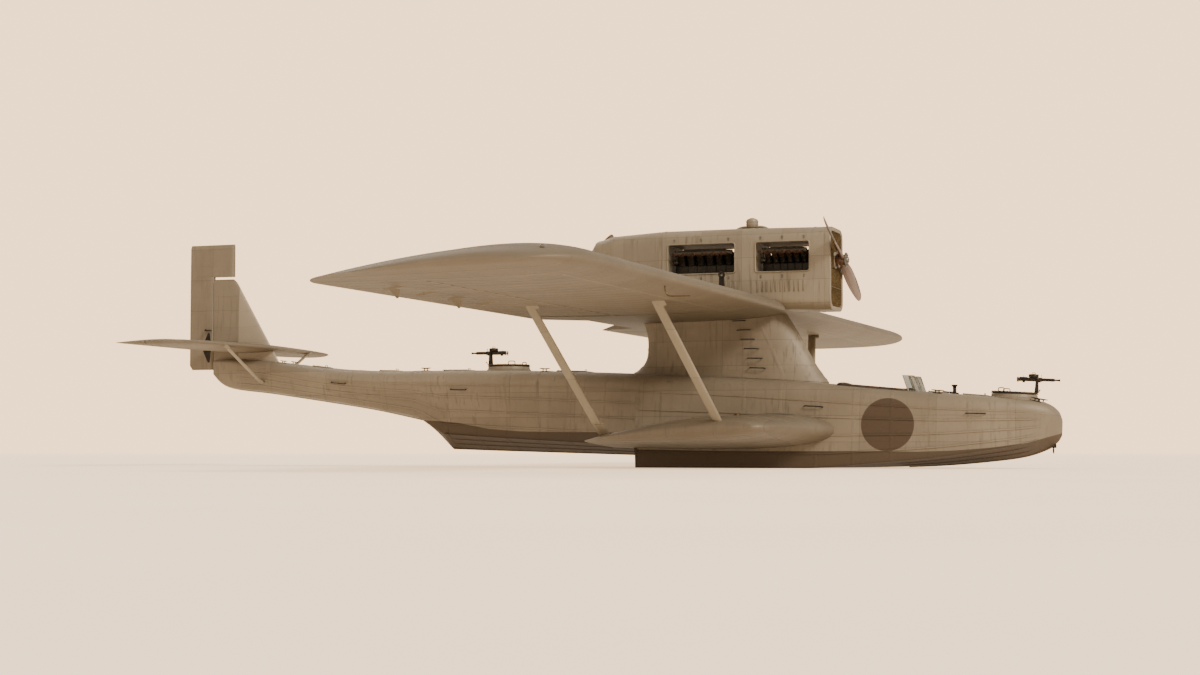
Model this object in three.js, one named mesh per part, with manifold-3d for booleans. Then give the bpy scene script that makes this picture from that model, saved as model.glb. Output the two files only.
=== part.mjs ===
// A flying boat of the 1920s: one long metal hull with two steps, stub sponsons at its sides, a
// parasol wing on a streamlined pylon, and two engines back to back in a nacelle on top of the wing.
// It stands on the flat planing bottom between its main step and its bow.
// Millimetres, +Z up, +X towards the bow, +Y to port. The origin is on the floor, below the middle
// of the length and the span. Places along the hull are measured forward from the main step.
import * as THREE from "three";
import { mergeVertices } from "three/addons/utils/BufferGeometryUtils.js";
import Module from "manifold-3d";

const wasm = await Module();
wasm.setup();

// Driving dimensions
const LENGTH = 17250; // bow to rudder's trailing edge
const SPAN = 22500;
const BOW_X = 7410; // main step to bow
const STEP_X = LENGTH / 2 - BOW_X; // the main step, seen from the origin
const STERN_X = BOW_X - LENGTH; // rudder's trailing edge
const FLOOR_Z = 170; // the flat bottom, seen from the level that the tables' heights count from
const SEAM = 0.4; // gap left where two fixed pieces meet
const SWING_GAP = 14; // gap between a moving surface and what carries it

const WING = { chord: 4250, thick: 0.108, camber: 0.02, incidence: 2.8, leadX: 2600, leadZ: 3045 };
const CENTRE_HALF = 2400; // half width of the wing's centre section
const CUTOUT = { outer: 1760, inner: 1230, depth: 800 }; // notch for the rear propeller
const TIP = { reach: 1050, lead: 800, trail: 1100, thin: 0.45 }; // how far the wing tip's corners round off
const AILERON = { hinge: 0.78, from: 6300, to: 10400 };

const TAIL = { leadX: -7850, trailX: -9720, half: 3100, z: 2500, thick: 175, hingeX: -9020, sweep: 400 };
const FIN = { rootLeadX: -7800, topLeadX: -8810, rootZ: 2200, topZ: 3900, thick: 140 };
const RUDDER = { hingeX: -9340, bottomZ: 2090, topZ: 4600, hornLeadX: -8830, hornZ: 3950, half: 62 };

const SPONSON = { root: 900, tip: 3300, incidence: 4 };
const SHAFT_Z = 3900; // both propellers' axis
const PROP_RADIUS = 1600;
const NACELLE_FRONT = 3460;
const NACELLE_REAR = -1180;

// Small vector and solid helpers

const rad = THREE.MathUtils.degToRad;
const mix = (a, b, t) => a + (b - a) * t;

// A closed geometry as a solid, with its faces turned outwards.
function solid(geometry) {
  const bare = geometry.index ? geometry.toNonIndexed() : geometry.clone();
  for (const name of Object.keys(bare.attributes)) {
    if (name !== "position") bare.deleteAttribute(name);
  }
  const merged = mergeVertices(bare, 1e-3);
  const vertProperties = merged.attributes.position.array;
  const triVerts = new Uint32Array(merged.index.array);
  const volume = signedVolume(vertProperties, triVerts);
  if (volume < 0) {
    for (let i = 0; i < triVerts.length; i += 3) {
      [triVerts[i + 1], triVerts[i + 2]] = [triVerts[i + 2], triVerts[i + 1]];
    }
  }
  return new wasm.Manifold(new wasm.Mesh({ numProp: 3, vertProperties, triVerts }));
}

// Six times the volume that a triangle list encloses: the sum of corner triple products.
function signedVolume(points, triangles) {
  const [a, b, c] = [new THREE.Vector3(), new THREE.Vector3(), new THREE.Vector3()];
  let sum = 0;
  for (let i = 0; i < triangles.length; i += 3) {
    a.fromArray(points, triangles[i] * 3);
    b.fromArray(points, triangles[i + 1] * 3);
    c.fromArray(points, triangles[i + 2] * 3);
    sum += a.dot(b.cross(c));
  }
  return sum;
}

function geometryOf(body) {
  const { vertProperties, triVerts, numProp, numVert } = body.getMesh();
  const positions = new Float32Array(numVert * 3);
  for (let i = 0; i < numVert; i++) {
    positions.set(vertProperties.subarray(i * numProp, i * numProp + 3), i * 3);
  }
  return new THREE.BufferGeometry()
    .setAttribute("position", new THREE.BufferAttribute(positions, 3))
    .setIndex(new THREE.BufferAttribute(triVerts, 1))
    .toNonIndexed();
}

const join = (...bodies) => bodies.reduce((a, b) => a.add(b));

// The largest of a body's separate pieces.
const biggest = (body) => body.decompose().sort((a, b) => b.volume() - a.volume())[0];

// A body cut back from its neighbour, by one seam in each of the named directions.
const MOVES = {
  up: [0, 0, 1],
  down: [0, 0, -1],
  port: [0, 1, 0],
  starboard: [0, -1, 0],
  ahead: [1, 0, 0],
  aft: [-1, 0, 0],
};
const moved = (body, name) => body.translate(...MOVES[name].map((v) => v * SEAM));
const seam = (body, neighbour, ...names) =>
  names.reduce((left, name) => left.subtract(moved(neighbour, name)), body);

function block(x0, x1, y0, y1, z0, z1) {
  const box = new THREE.BoxGeometry(x1 - x0, y1 - y0, z1 - z0);
  return solid(box.translate((x0 + x1) / 2, (y0 + y1) / 2, (z0 + z1) / 2));
}

// A round bar between two points.
function rod(from, to, radius, sides = 12, endRadius = radius) {
  const a = new THREE.Vector3(...from);
  const b = new THREE.Vector3(...to);
  const bar = new THREE.CylinderGeometry(endRadius, radius, a.distanceTo(b), sides);
  const along = b.clone().sub(a).normalize();
  bar.applyQuaternion(new THREE.Quaternion().setFromUnitVectors(new THREE.Vector3(0, 1, 0), along));
  return solid(bar.translate(...a.add(b).multiplyScalar(0.5).toArray()));
}

// A profile of [radius, height] points turned about the upright axis.
function turned(profile, sides = 24) {
  const points = profile.map(([r, z]) => new THREE.Vector2(r, z));
  return solid(new THREE.LatheGeometry(points, sides).rotateX(Math.PI / 2));
}

// An outline of [a, b] points drawn along one axis: "y" takes them as x and z, "z" as x and y.
function prism(outline, axis, from, to) {
  const flat = new THREE.Shape(outline.map(([a, b]) => new THREE.Vector2(a, b)));
  const drawn = new THREE.ExtrudeGeometry(flat, { depth: to - from, bevelEnabled: false });
  if (axis === "y") drawn.translate(0, 0, -to).rotateX(Math.PI / 2);
  else drawn.translate(0, 0, from);
  return solid(drawn);
}

// An edge of [x, y] points and its mirror image on the other side, as one outline.
const bothSides = (edge) => [...edge, ...[...edge].reverse().map(([x, y]) => [x, -y])];

// The triangles that close a ring, wound as the ring is.
function capOf(ring) {
  const normal = new THREE.Vector3();
  ring.forEach((p, i) => {
    const q = ring[(i + 1) % ring.length];
    normal.add(new THREE.Vector3(...p).cross(new THREE.Vector3(...q)));
  });
  const size = normal.toArray().map(Math.abs);
  const dropped = size.indexOf(Math.max(...size));
  const flat = ring.map((p) => new THREE.Vector2(...p.filter((_, axis) => axis !== dropped)));
  const ringTurn = Math.sign(THREE.ShapeUtils.area(flat));
  return THREE.ShapeUtils.triangulateShape(flat, []).map((t) =>
    Math.sign(THREE.ShapeUtils.area(t.map((i) => flat[i]))) === ringTurn ? t : [t[0], t[2], t[1]],
  );
}

// A closed skin over rings of equal length, with both ends capped.
function loft(rings) {
  const count = rings[0].length;
  const last = (rings.length - 1) * count;
  const index = [];
  for (let s = 0; s < rings.length - 1; s++) {
    for (let i = 0; i < count; i++) {
      const [a, b] = [s * count + i, s * count + ((i + 1) % count)];
      index.push(a, b, b + count, a, b + count, a + count);
    }
  }
  for (const [a, b, c] of capOf(rings[0])) index.push(a, c, b);
  for (const [a, b, c] of capOf(rings.at(-1))) index.push(last + a, last + b, last + c);
  const skin = new THREE.BufferGeometry();
  skin.setAttribute("position", new THREE.Float32BufferAttribute(rings.flat(2), 3));
  return solid(skin.setIndex(index));
}

// Values between the rows of a table, on a smooth curve through them. The first column leads.
function smoothRows(rows, steps) {
  const made = [];
  rows.slice(0, -1).forEach((row, k) => {
    const before = rows[Math.max(k - 1, 0)];
    const after = rows[k + 1];
    const beyond = rows[Math.min(k + 2, rows.length - 1)];
    for (let s = 0; s < steps; s++) {
      const t = s / steps;
      made.push(row.map((v, c) => {
        const slope0 = (after[c] - before[c]) / 2;
        const slope1 = (beyond[c] - v) / 2;
        const rise = after[c] - v;
        const second = 3 * rise - 2 * slope0 - slope1;
        const third = slope0 + slope1 - 2 * rise;
        return v + slope0 * t + second * t * t + third * t ** 3;
      }));
    }
  });
  return [...made, rows.at(-1)];
}

// Aerofoil sections, in chords: half thickness and camber at a share s of the chord.

const halfThick = (t, s) =>
  5 * t * (0.2969 * Math.sqrt(s) - 0.126 * s - 0.3516 * s ** 2 + 0.2843 * s ** 3 - 0.1015 * s ** 4);
const camberAt = (m, s) =>
  s < 0.4 ? (m / 0.16) * (0.8 * s - s * s) : (m / 0.36) * (0.2 + 0.8 * s - s * s);

// Ring of [aft, up] points from the trailing edge over the top to the nose and back underneath.
function foil(chord, thick, camber = 0, steps = 9) {
  const shares = Array.from({ length: steps + 1 }, (_, k) => (1 - Math.cos((Math.PI * k) / steps)) / 2);
  const at = (s, side) => [s * chord, (camberAt(camber, s) + side * halfThick(thick, s)) * chord];
  const over = [...shares].reverse().map((s) => at(s, 1));
  return [...over, ...shares.slice(1).map((s) => at(s, -1))];
}

// The part of a foil behind its hinge, with a round nose on the hinge axis.
function flapFoil(chord, thick, camber, hinge, steps = 4) {
  const shares = Array.from({ length: steps + 1 }, (_, k) => mix(hinge, 1, k / steps));
  const at = (s, side) => [s * chord, (camberAt(camber, s) + side * halfThick(thick, s)) * chord];
  const nose = halfThick(thick, hinge) * chord;
  const centre = camberAt(camber, hinge) * chord;
  const round = [1, 2, 3, 4, 5].map((k) => {
    const turn = (Math.PI * k) / 6;
    return [hinge * chord - nose * Math.sin(turn), centre - nose * Math.cos(turn)];
  });
  const over = [...shares].reverse().map((s) => at(s, 1));
  return [...over, ...round.reverse(), ...shares.map((s) => at(s, -1))];
}

// Outline of the space a flap swings in: round in front of the hinge and open behind it.
function flapSpace(chord, thick, camber, hinge) {
  const reach = halfThick(thick, hinge) * chord + SWING_GAP;
  const [aft, up] = [hinge * chord, camberAt(camber, hinge) * chord];
  const round = Array.from({ length: 9 }, (_, k) => {
    const turn = (Math.PI * k) / 8;
    return [aft - reach * Math.sin(turn), up - reach * Math.cos(turn)];
  });
  return [...round, [chord * 1.2, up + reach], [chord * 1.2, up - reach]];
}

// Materials

const paint = (colour, roughness = 0.55, metalness = 0.35) =>
  new THREE.MeshStandardMaterial({ color: colour, roughness, metalness });
const FINISH = {
  hull: paint(0x8a7f6c),
  wing: paint(0x7d705b),
  tail: paint(0x6b5f4c),
  strut: paint(0x8d8470),
  cowling: paint(0x857a66),
  iron: paint(0x2c2722, 0.6, 0.7),
  radiator: paint(0x4a3a28, 0.45, 0.8),
  timber: paint(0x5d3d22, 0.4, 0.0),
  leather: paint(0x4a2f1c, 0.7, 0.0),
  glass: paint(0xbcc4bd, 0.1, 0),
};
FINISH.glass.transparent = true;
FINISH.glass.opacity = 0.35;

const boat = new THREE.Group();
const step = new THREE.Group(); // every place below counts from a point under the main step
step.position.set(STEP_X, 0, -FLOOR_Z);
boat.add(step);

function place(name, body, finish) {
  const mesh = new THREE.Mesh(geometryOf(body), FINISH[finish]);
  mesh.name = name;
  step.add(mesh);
}

const SIDES = [["port", 1], ["starboard", -1]];

// Hull: sections from a keel, two chines and a deck with round edges

// Columns: x, keel z, chine half width, chine z, deck half width, deck z, radius of the deck's edges
const FOREBODY = [
  [0, FLOOR_Z, 1110, FLOOR_Z, 930, 1890, 230],
  [1700, FLOOR_Z, 1110, FLOOR_Z, 930, 1800, 230],
  [3200, FLOOR_Z, 1080, FLOOR_Z, 925, 1690, 230],
  [4300, 185, 1020, 255, 895, 1590, 220],
  [5300, 220, 930, 350, 845, 1500, 210],
  [6100, 285, 800, 465, 765, 1435, 190],
  [6750, 370, 600, 575, 620, 1375, 170],
  [7130, 490, 380, 690, 450, 1310, 150],
  [7330, 615, 200, 780, 270, 1180, 110],
  [BOW_X, 740, 60, 850, 90, 1020, 50],
];
const AFTERBODY = [
  [-4050, 515, 430, 790, 800, 2005, 200],
  [-3000, 480, 720, 725, 850, 1995, 210],
  [-1600, 440, 960, 650, 900, 1955, 220],
  [-12, 395, 1100, 570, 930, 1891, 230],
];
const BOOM = [
  [-9290, 2000, 40, 2010, 45, 2270, 30],
  [-8900, 1735, 110, 1755, 180, 2300, 80],
  [-7900, 1600, 260, 1640, 350, 2235, 130],
  [-6650, 1420, 430, 1470, 550, 2090, 180],
  [-5600, 1255, 520, 1315, 690, 2020, 190],
  [-4560, 1040, 560, 1130, 775, 2008, 200],
];

function hullRing([x, keel, chineHalf, chineZ, deckHalf, deckZ, edge]) {
  const crown = 0.035 * deckHalf;
  const corner = [0, 1, 2, 3].map((k) => {
    const turn = (Math.PI / 2) * (k / 3);
    return [deckHalf - edge * (1 - Math.cos(turn)), deckZ - crown - edge * (1 - Math.sin(turn))];
  });
  const half = [[chineHalf, chineZ], ...corner];
  const left = half.map(([y, z]) => [x, y, z]);
  const right = [...half].reverse().map(([y, z]) => [x, -y, z]);
  return [[x, 0, keel], ...left, [x, 0, deckZ], ...right];
}

const COCKPIT = { front: 4800, back: 3620, half: 620, floor: 720 };
const BOW_RING = { x: 6600, tilt: 3, well: 340, floor: 700, facing: 1 };
const DORSAL_RING = { x: -2900, tilt: 0, well: 340, floor: 950, facing: -1 };
const COAMING = { inner: 340, outer: 395, flare: 25, rise: 70, sunk: 90 };

// Height of the deck's centreline at a place along the hull.
function deckZ(x) {
  const rows = [...BOOM, ...AFTERBODY, ...FOREBODY];
  const k = Math.max(0, rows.findIndex((row) => row[0] > x) - 1);
  return mix(rows[k][5], rows[k + 1][5], (x - rows[k][0]) / (rows[k + 1][0] - rows[k][0]));
}

// A round collar that a gunner stands in, on the deck and square to it.
function coaming(ring) {
  const { inner, outer, flare, rise, sunk } = COAMING;
  const profile = [[inner, -sunk], [outer + flare, -sunk], [outer, rise], [inner, rise], [inner, -sunk]];
  return turned(profile, 32).rotate(0, ring.tilt, 0).translate(ring.x, 0, deckZ(ring.x));
}

function well(ring) {
  const depth = deckZ(ring.x) - ring.floor;
  const hole = turned([[0, -depth], [ring.well, -depth], [ring.well, 300], [0, 300]], 32);
  return hole.rotate(0, ring.tilt, 0).translate(ring.x, 0, deckZ(ring.x));
}

const hullRows = [...smoothRows(BOOM, 2), ...smoothRows(AFTERBODY, 3), ...smoothRows(FOREBODY, 3)];
const hullSkin = loft(hullRows.map(hullRing));
const { front: cockpitFront, back: cockpitBack, half: cockpitHalf, floor: cockpitFloor } = COCKPIT;
const cockpitHole = block(cockpitBack, cockpitFront, -cockpitHalf, cockpitHalf, cockpitFloor, 2400);

// Tail surfaces

// Columns: share of the half span, share of the whole sweep, how far the trailing edge has drawn in
const TAIL_STATIONS = [
  [0, 0, 0],
  [0.55, 0.42, 0],
  [0.84, 0.72, 0],
  [0.95, 1, 60],
  [1, 1.6, 260],
];
function tailRing(side, [share, swept, drawn]) {
  const lead = TAIL.leadX - swept * TAIL.sweep;
  const chord = lead - TAIL.trailX - drawn;
  const thick = (TAIL.thick / chord) * mix(1, 0.55, share ** 2);
  return foil(chord, thick).map(([aft, up]) => [lead - aft, side * share * TAIL.half, TAIL.z + up]);
}

const tailEnds = (side) => TAIL_STATIONS.slice(1).map((row) => tailRing(side, row));
const wholeTail = loft([...tailEnds(-1).reverse(), tailRing(1, TAIL_STATIONS[0]), ...tailEnds(1)]);
const tailHingeX = TAIL.hingeX;
const tailNose = 76; // radius of the elevator's round nose

function hingeSpace(reach) {
  const round = Array.from({ length: 9 }, (_, k) => {
    const turn = (Math.PI * k) / 8;
    return [tailHingeX + reach * Math.sin(turn), TAIL.z - reach * Math.cos(turn)];
  });
  return [...round, [tailHingeX - 1500, TAIL.z + reach], [tailHingeX - 1500, TAIL.z - reach]];
}

const acrossTail = (outline) => prism(outline, "y", -TAIL.half - 50, TAIL.half + 50);
const tailplane = wholeTail.subtract(acrossTail(hingeSpace(tailNose + SWING_GAP)));

// The elevator's two halves clear the rudder, and one tube through the fin joins them.
const RUDDER_ROOM = [
  [tailHingeX + 200, 95],
  [RUDDER.hingeX + 60, 110],
  [STERN_X - 200, 420],
];
const elevatorHalves = wholeTail
  .intersect(acrossTail(hingeSpace(tailNose)))
  .subtract(prism(bothSides(RUDDER_ROOM), "z", 2000, 3000));
const TUBE = { radius: 32, half: 300 };
function alongHinge(half, radius) {
  return rod([tailHingeX, -half, TAIL.z], [tailHingeX, half, TAIL.z], radius, 16);
}

const elevator = elevatorHalves.add(alongHinge(TUBE.half, TUBE.radius));

// Upright sections from the fin's root to its top: the nose line slopes back.
function finRing(z, leadX, trailX, thick) {
  const chord = leadX - trailX;
  return foil(chord, thick / chord, 0, 7).map(([aft, side]) => [leadX - aft, side, z]);
}

const finTrailX = RUDDER.hingeX - RUDDER.half;
const finBlank = loft([
  finRing(FIN.rootZ, FIN.rootLeadX, finTrailX - 420, FIN.thick),
  finRing(FIN.topZ - 50, mix(FIN.rootLeadX, FIN.topLeadX, 0.97), finTrailX - 420, FIN.thick * 0.8),
  finRing(FIN.topZ, FIN.topLeadX - 40, finTrailX - 420, FIN.thick * 0.6),
]);
const rudderSpace = join(
  rod([RUDDER.hingeX, 0, 1500], [RUDDER.hingeX, 0, 5000], RUDDER.half + SWING_GAP, 24),
  block(RUDDER.hingeX - 900, RUDDER.hingeX, -400, 400, 1500, 5000),
);
const tubeHole = alongHinge(TUBE.half + 100, TUBE.radius + 10);
const elevatorRoom = prism(hingeSpace(tailNose + SWING_GAP), "y", -TAIL.half, TAIL.half)
  .subtract(block(-12000, 0, -82, 82, 0, 6000));
const fin = seam(finBlank, tailplane, "up", "down", "ahead", "aft")
  .subtract(rudderSpace)
  .subtract(tubeHole)
  .subtract(elevatorRoom)
  .subtract(block(-12000, -9290 - SEAM, -400, 400, 0, 2250));

// The rudder is as thick as the fin at its hinge, and its horn reaches forward over the fin's top.
function rudderRing(z, leadX, trailX, half) {
  const nose = [0, 1, 2, 3, 4, 5, 6].map((k) => {
    const turn = (Math.PI * k) / 6;
    return [leadX - half + half * Math.sin(turn), half * Math.cos(turn), z];
  });
  return [...nose, [trailX, -5, z], [trailX, 5, z]];
}

const rudderBlade = loft([
  rudderRing(RUDDER.bottomZ, RUDDER.hingeX + RUDDER.half, STERN_X + 60, RUDDER.half * 0.8),
  rudderRing(RUDDER.bottomZ + 90, RUDDER.hingeX + RUDDER.half, STERN_X, RUDDER.half),
  rudderRing(RUDDER.topZ, RUDDER.hingeX + RUDDER.half, STERN_X, RUDDER.half * 0.8),
]);
const horn = loft([
  rudderRing(RUDDER.hornZ, RUDDER.hornLeadX, STERN_X, RUDDER.half),
  rudderRing(RUDDER.topZ - 60, RUDDER.hornLeadX, STERN_X, RUDDER.half * 0.8),
  rudderRing(RUDDER.topZ, RUDDER.hornLeadX - 50, STERN_X + 20, RUDDER.half * 0.5),
]);
const rudder = rudderBlade.subtract(block(-12000, 0, -400, 400, RUDDER.hornZ + 10, 6000)).add(horn);

const hullWithCoamings = join(hullSkin, coaming(BOW_RING), coaming(DORSAL_RING));
const hull = seam(hullWithCoamings, tailplane, "up", "down", "ahead", "aft", "port", "starboard")
  .subtract(well(BOW_RING))
  .subtract(well(DORSAL_RING))
  .subtract(cockpitHole)
  .subtract(elevatorRoom)
  .subtract(rudderSpace);
place("hull", hull, "hull");
place("tailplane", tailplane, "tail");
place("elevator", elevator, "tail");
place("fin", biggest(seam(fin, hull, "up", "aft", "port", "starboard")), "tail");
place("rudder", rudder, "tail");

// Wing

const [wingCos, wingSin] = [Math.cos(rad(WING.incidence)), Math.sin(rad(WING.incidence))];
const wingPoint = ([aft, up], y) => [
  WING.leadX - aft * wingCos - up * wingSin,
  y,
  WING.leadZ - aft * wingSin + up * wingCos,
];
const wingFoil = foil(WING.chord, WING.thick, WING.camber, 11);

const cutoutBackX = WING.leadX - WING.chord * wingCos;
const cutoutEdge = [
  [cutoutBackX + CUTOUT.depth, CUTOUT.inner],
  [cutoutBackX, CUTOUT.outer],
  [cutoutBackX - 300, CUTOUT.outer],
];
const centreRing = (y) => wingFoil.map((p) => wingPoint(p, y));
const cutout = prism(bothSides(cutoutEdge), "z", 2300, 3700);
const wingCentre = loft([centreRing(-CENTRE_HALF), centreRing(CENTRE_HALF)]).subtract(cutout);
place("wing_centre", wingCentre, "wing");

// Towards the tip the chord shortens from both ends on quarter ellipses, and the section thins.
function tipRing(y) {
  const start = SPAN / 2 - TIP.reach;
  const share = Math.min(1, Math.max(0, (y - start) / (SPAN / 2 - start)));
  const inset = 1 - Math.sqrt(1 - share * share);
  const [fromLead, fromTrail] = [inset * TIP.lead, inset * TIP.trail];
  const chord = WING.chord - fromLead - fromTrail;
  const thin = mix(1, TIP.thin, share * share);
  return foil(chord, WING.thick * thin, WING.camber, 11).map(([aft, up]) => [aft + fromLead, up]);
}

const FROM_TIP = [TIP.reach, 640, 320, 110, 0];
const OUTER_STATIONS = [CENTRE_HALF + SEAM, ...FROM_TIP.map((inward) => SPAN / 2 - inward)];
const outerWing = (side) => loft(OUTER_STATIONS.map((y) => tipRing(y).map((p) => wingPoint(p, side * y))));

// An aft-and-up outline of the wing's section as a bar along the span.
const alongSpan = (outline, y0, y1) => loft([y0, y1].map((y) => outline.map((p) => wingPoint(p, y))));
const aileronSpace = flapSpace(WING.chord, WING.thick, WING.camber, AILERON.hinge);
const aileronFoil = flapFoil(WING.chord, WING.thick, WING.camber, AILERON.hinge);
const wings = {};
for (const [side, sign] of SIDES) {
  const room = alongSpan(aileronSpace, sign * (AILERON.from - SWING_GAP), sign * (AILERON.to + SWING_GAP));
  wings[side] = outerWing(sign).subtract(room);
  place(`wing_${side}`, wings[side], "wing");
  place(`aileron_${side}`, alongSpan(aileronFoil, sign * AILERON.from, sign * AILERON.to), "wing");
}

// Sponsons, struts and pylon

// Columns: y, leading x, chord, top z at the nose, thickness in chords
const SPONSON_STATIONS = [
  [SPONSON.root, 3650, 4150, 830, 0.15],
  [2600, 3150, 3480, 860, 0.125],
  [3120, 2960, 3200, 870, 0.11],
  [SPONSON.tip, 2760, 2850, 870, 0.07],
];
const [sponsonCos, sponsonSin] = [Math.cos(rad(SPONSON.incidence)), Math.sin(rad(SPONSON.incidence))];
const sponsons = {};
for (const [side, sign] of SIDES) {
  const rings = SPONSON_STATIONS.map(([y, lead, chord, z, thick]) =>
    foil(chord, thick, 0.02, 8).map(([aft, up]) => [
      lead - aft * sponsonCos - up * sponsonSin,
      sign * y,
      z - aft * sponsonSin + up * sponsonCos,
    ]),
  );
  sponsons[side] = biggest(seam(loft(rings), hull, side, "up", "down", "aft"));
  place(`sponson_${side}`, sponsons[side], "hull");
}

// A streamlined bar from the sponson's top to the wing's underside, its section along the boat.
const STRUT = { chord: 165, thick: 0.36 };
// Columns: name, foot x, head x
const STRUTS = [
  ["front", 2250, 1720],
  ["rear", 80, -450],
];
const STRUT_FOOT = { y: 2960, z: 760 };
const STRUT_HEAD = { y: 5360, z: 3060 };
for (const [side, sign] of SIDES) {
  for (const [name, footX, headX] of STRUTS) {
    const foot = new THREE.Vector3(footX, sign * STRUT_FOOT.y, STRUT_FOOT.z);
    const head = new THREE.Vector3(headX, sign * STRUT_HEAD.y, STRUT_HEAD.z);
    const across = head.clone().sub(foot).cross(new THREE.Vector3(1, 0, 0)).normalize();
    const section = foil(STRUT.chord, STRUT.thick, 0, 5);
    const ringAt = (p) => section.map(([aft, side]) => [
      p.x + STRUT.chord * 0.35 - aft,
      p.y + across.y * side,
      p.z + across.z * side,
    ]);
    const bar = seam(seam(loft([ringAt(foot), ringAt(head)]), wings[side], "down"), sponsons[side], "up");
    place(`strut_${name}_${side}`, biggest(bar), "strut");
  }
}

// Level sections of the pylon from the deck to the wing: wide at both ends, with a hollowed back edge.
// Columns: share of the height, front x, back x, half width
const PYLON = [
  [0, 3400, -760, 560],
  [0.12, 3290, -420, 520],
  [0.3, 3080, -170, 480],
  [0.55, 2860, -110, 455],
  [0.8, 2640, -150, 450],
  [1, 2440, -260, 460],
];
const pylonRings = PYLON.map(([share, frontX, backX, half]) => {
  const sides = 20;
  return Array.from({ length: sides }, (_, k) => {
    const turn = (2 * Math.PI * k) / sides;
    const along = (1 + Math.cos(turn)) / 2;
    const x = mix(backX, frontX, along);
    const y = half * Math.sin(turn) * mix(0.62, 1, along); // narrower behind than in front
    const top = WING.leadZ - (WING.leadX - x) * Math.tan(rad(WING.incidence)) + 40;
    return [x, y, mix(deckZ(x) - 160, top, share)];
  });
});
const pylon = seam(seam(loft(pylonRings), hull, "up"), wingCentre, "down");
place("pylon", biggest(pylon), "hull");

// Nacelle: a long box with round edges on top of the wing, open at both engines

// Columns: x, half width, bottom z, top z, radius of the edges
const NACELLE = [
  [NACELLE_REAR, 190, 3560, 4230, 150],
  [-1080, 270, 3420, 4370, 190],
  [-700, 380, 3230, 4450, 200],
  [300, 470, 3120, 4500, 200],
  [1900, 500, 3040, 4500, 200],
  [3200, 500, 2990, 4480, 190],
];
function boxRing([x, half, bottom, top, edge]) {
  const [y0, z0, z1] = [half - edge, bottom + edge, top - edge];
  const corners = [[y0, z1, 0], [-y0, z1, 1], [-y0, z0, 2], [y0, z0, 3]];
  return corners.flatMap(([y, z, quarter]) =>
    [0, 1, 2, 3].map((k) => {
      const turn = (Math.PI / 2) * (quarter + k / 3);
      return [x, y + edge * Math.cos(turn), z + edge * Math.sin(turn)];
    }),
  );
}

// Columns: name, back x, front x of the opening that shows the engine
const BAYS = [
  ["rear", 420, 1700],
  ["front", 2080, 3080],
];
const BAY = { low: 3680, high: 4230 };
const RADIATOR = { back: 3200, depth: 55, frame: 70, shutters: 9, pitch: 98, thick: 14 };
const SHAFT = { radius: 55, hole: 68 };
let nacelle = seam(loft(NACELLE.map(boxRing)), wingCentre, "up", "down", "ahead", "aft");
for (const [, back, front] of BAYS) {
  nacelle = nacelle.subtract(block(back, front, -700, 700, BAY.low, BAY.high));
}
const shaftHole = (x0, x1) => rod([x0, 0, SHAFT_Z], [x1, 0, SHAFT_Z], SHAFT.hole, 20);
nacelle = biggest(nacelle).subtract(shaftHole(-1300, -1040));
place("nacelle", nacelle, "cowling");

// The radiator fills the nacelle's front: a frame, a sunk core and upright shutters.
function radiatorBox(inset, x0, x1) {
  const [, half, low, top, edge] = NACELLE.at(-1);
  const ring = (x) => boxRing([x, half - inset, low + inset, top - inset, edge - inset * 0.6]);
  return loft([ring(x0), ring(x1)]);
}

const coreX = NACELLE_FRONT - RADIATOR.depth;
const shutters = Array.from({ length: RADIATOR.shutters }, (_, k) => {
  const y = (k - (RADIATOR.shutters - 1) / 2) * RADIATOR.pitch - RADIATOR.thick / 2;
  return block(coreX - 20, NACELLE_FRONT - 12, y, y + RADIATOR.thick, 3020, 4450);
});
const opening = radiatorBox(RADIATOR.frame, coreX, NACELLE_FRONT + 50);
const frontPlate = radiatorBox(0, RADIATOR.back + SEAM, NACELLE_FRONT).subtract(opening);
const boss = rod([NACELLE_FRONT - 120, 0, SHAFT_Z], [NACELLE_FRONT, 0, SHAFT_Z], 150, 24);
const frontHole = shaftHole(NACELLE_FRONT - 160, NACELLE_FRONT + 40);
place("radiator", join(frontPlate, ...shutters, boss).subtract(frontHole), "radiator");

// Water header on top, between the engines. Columns: radius, height
const HEADER = [
  [0, -40],
  [70, -40],
  [70, 40],
  [105, 65],
  [110, 165],
  [85, 205],
  [0, 220],
];
const HEADER_SEAT = [1890, 0, 4500];
const header = turned(HEADER, 20).translate(...HEADER_SEAT);
place("header_tank", header.subtract(nacelle.translate(0, 0, SEAM)), "cowling");

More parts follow.
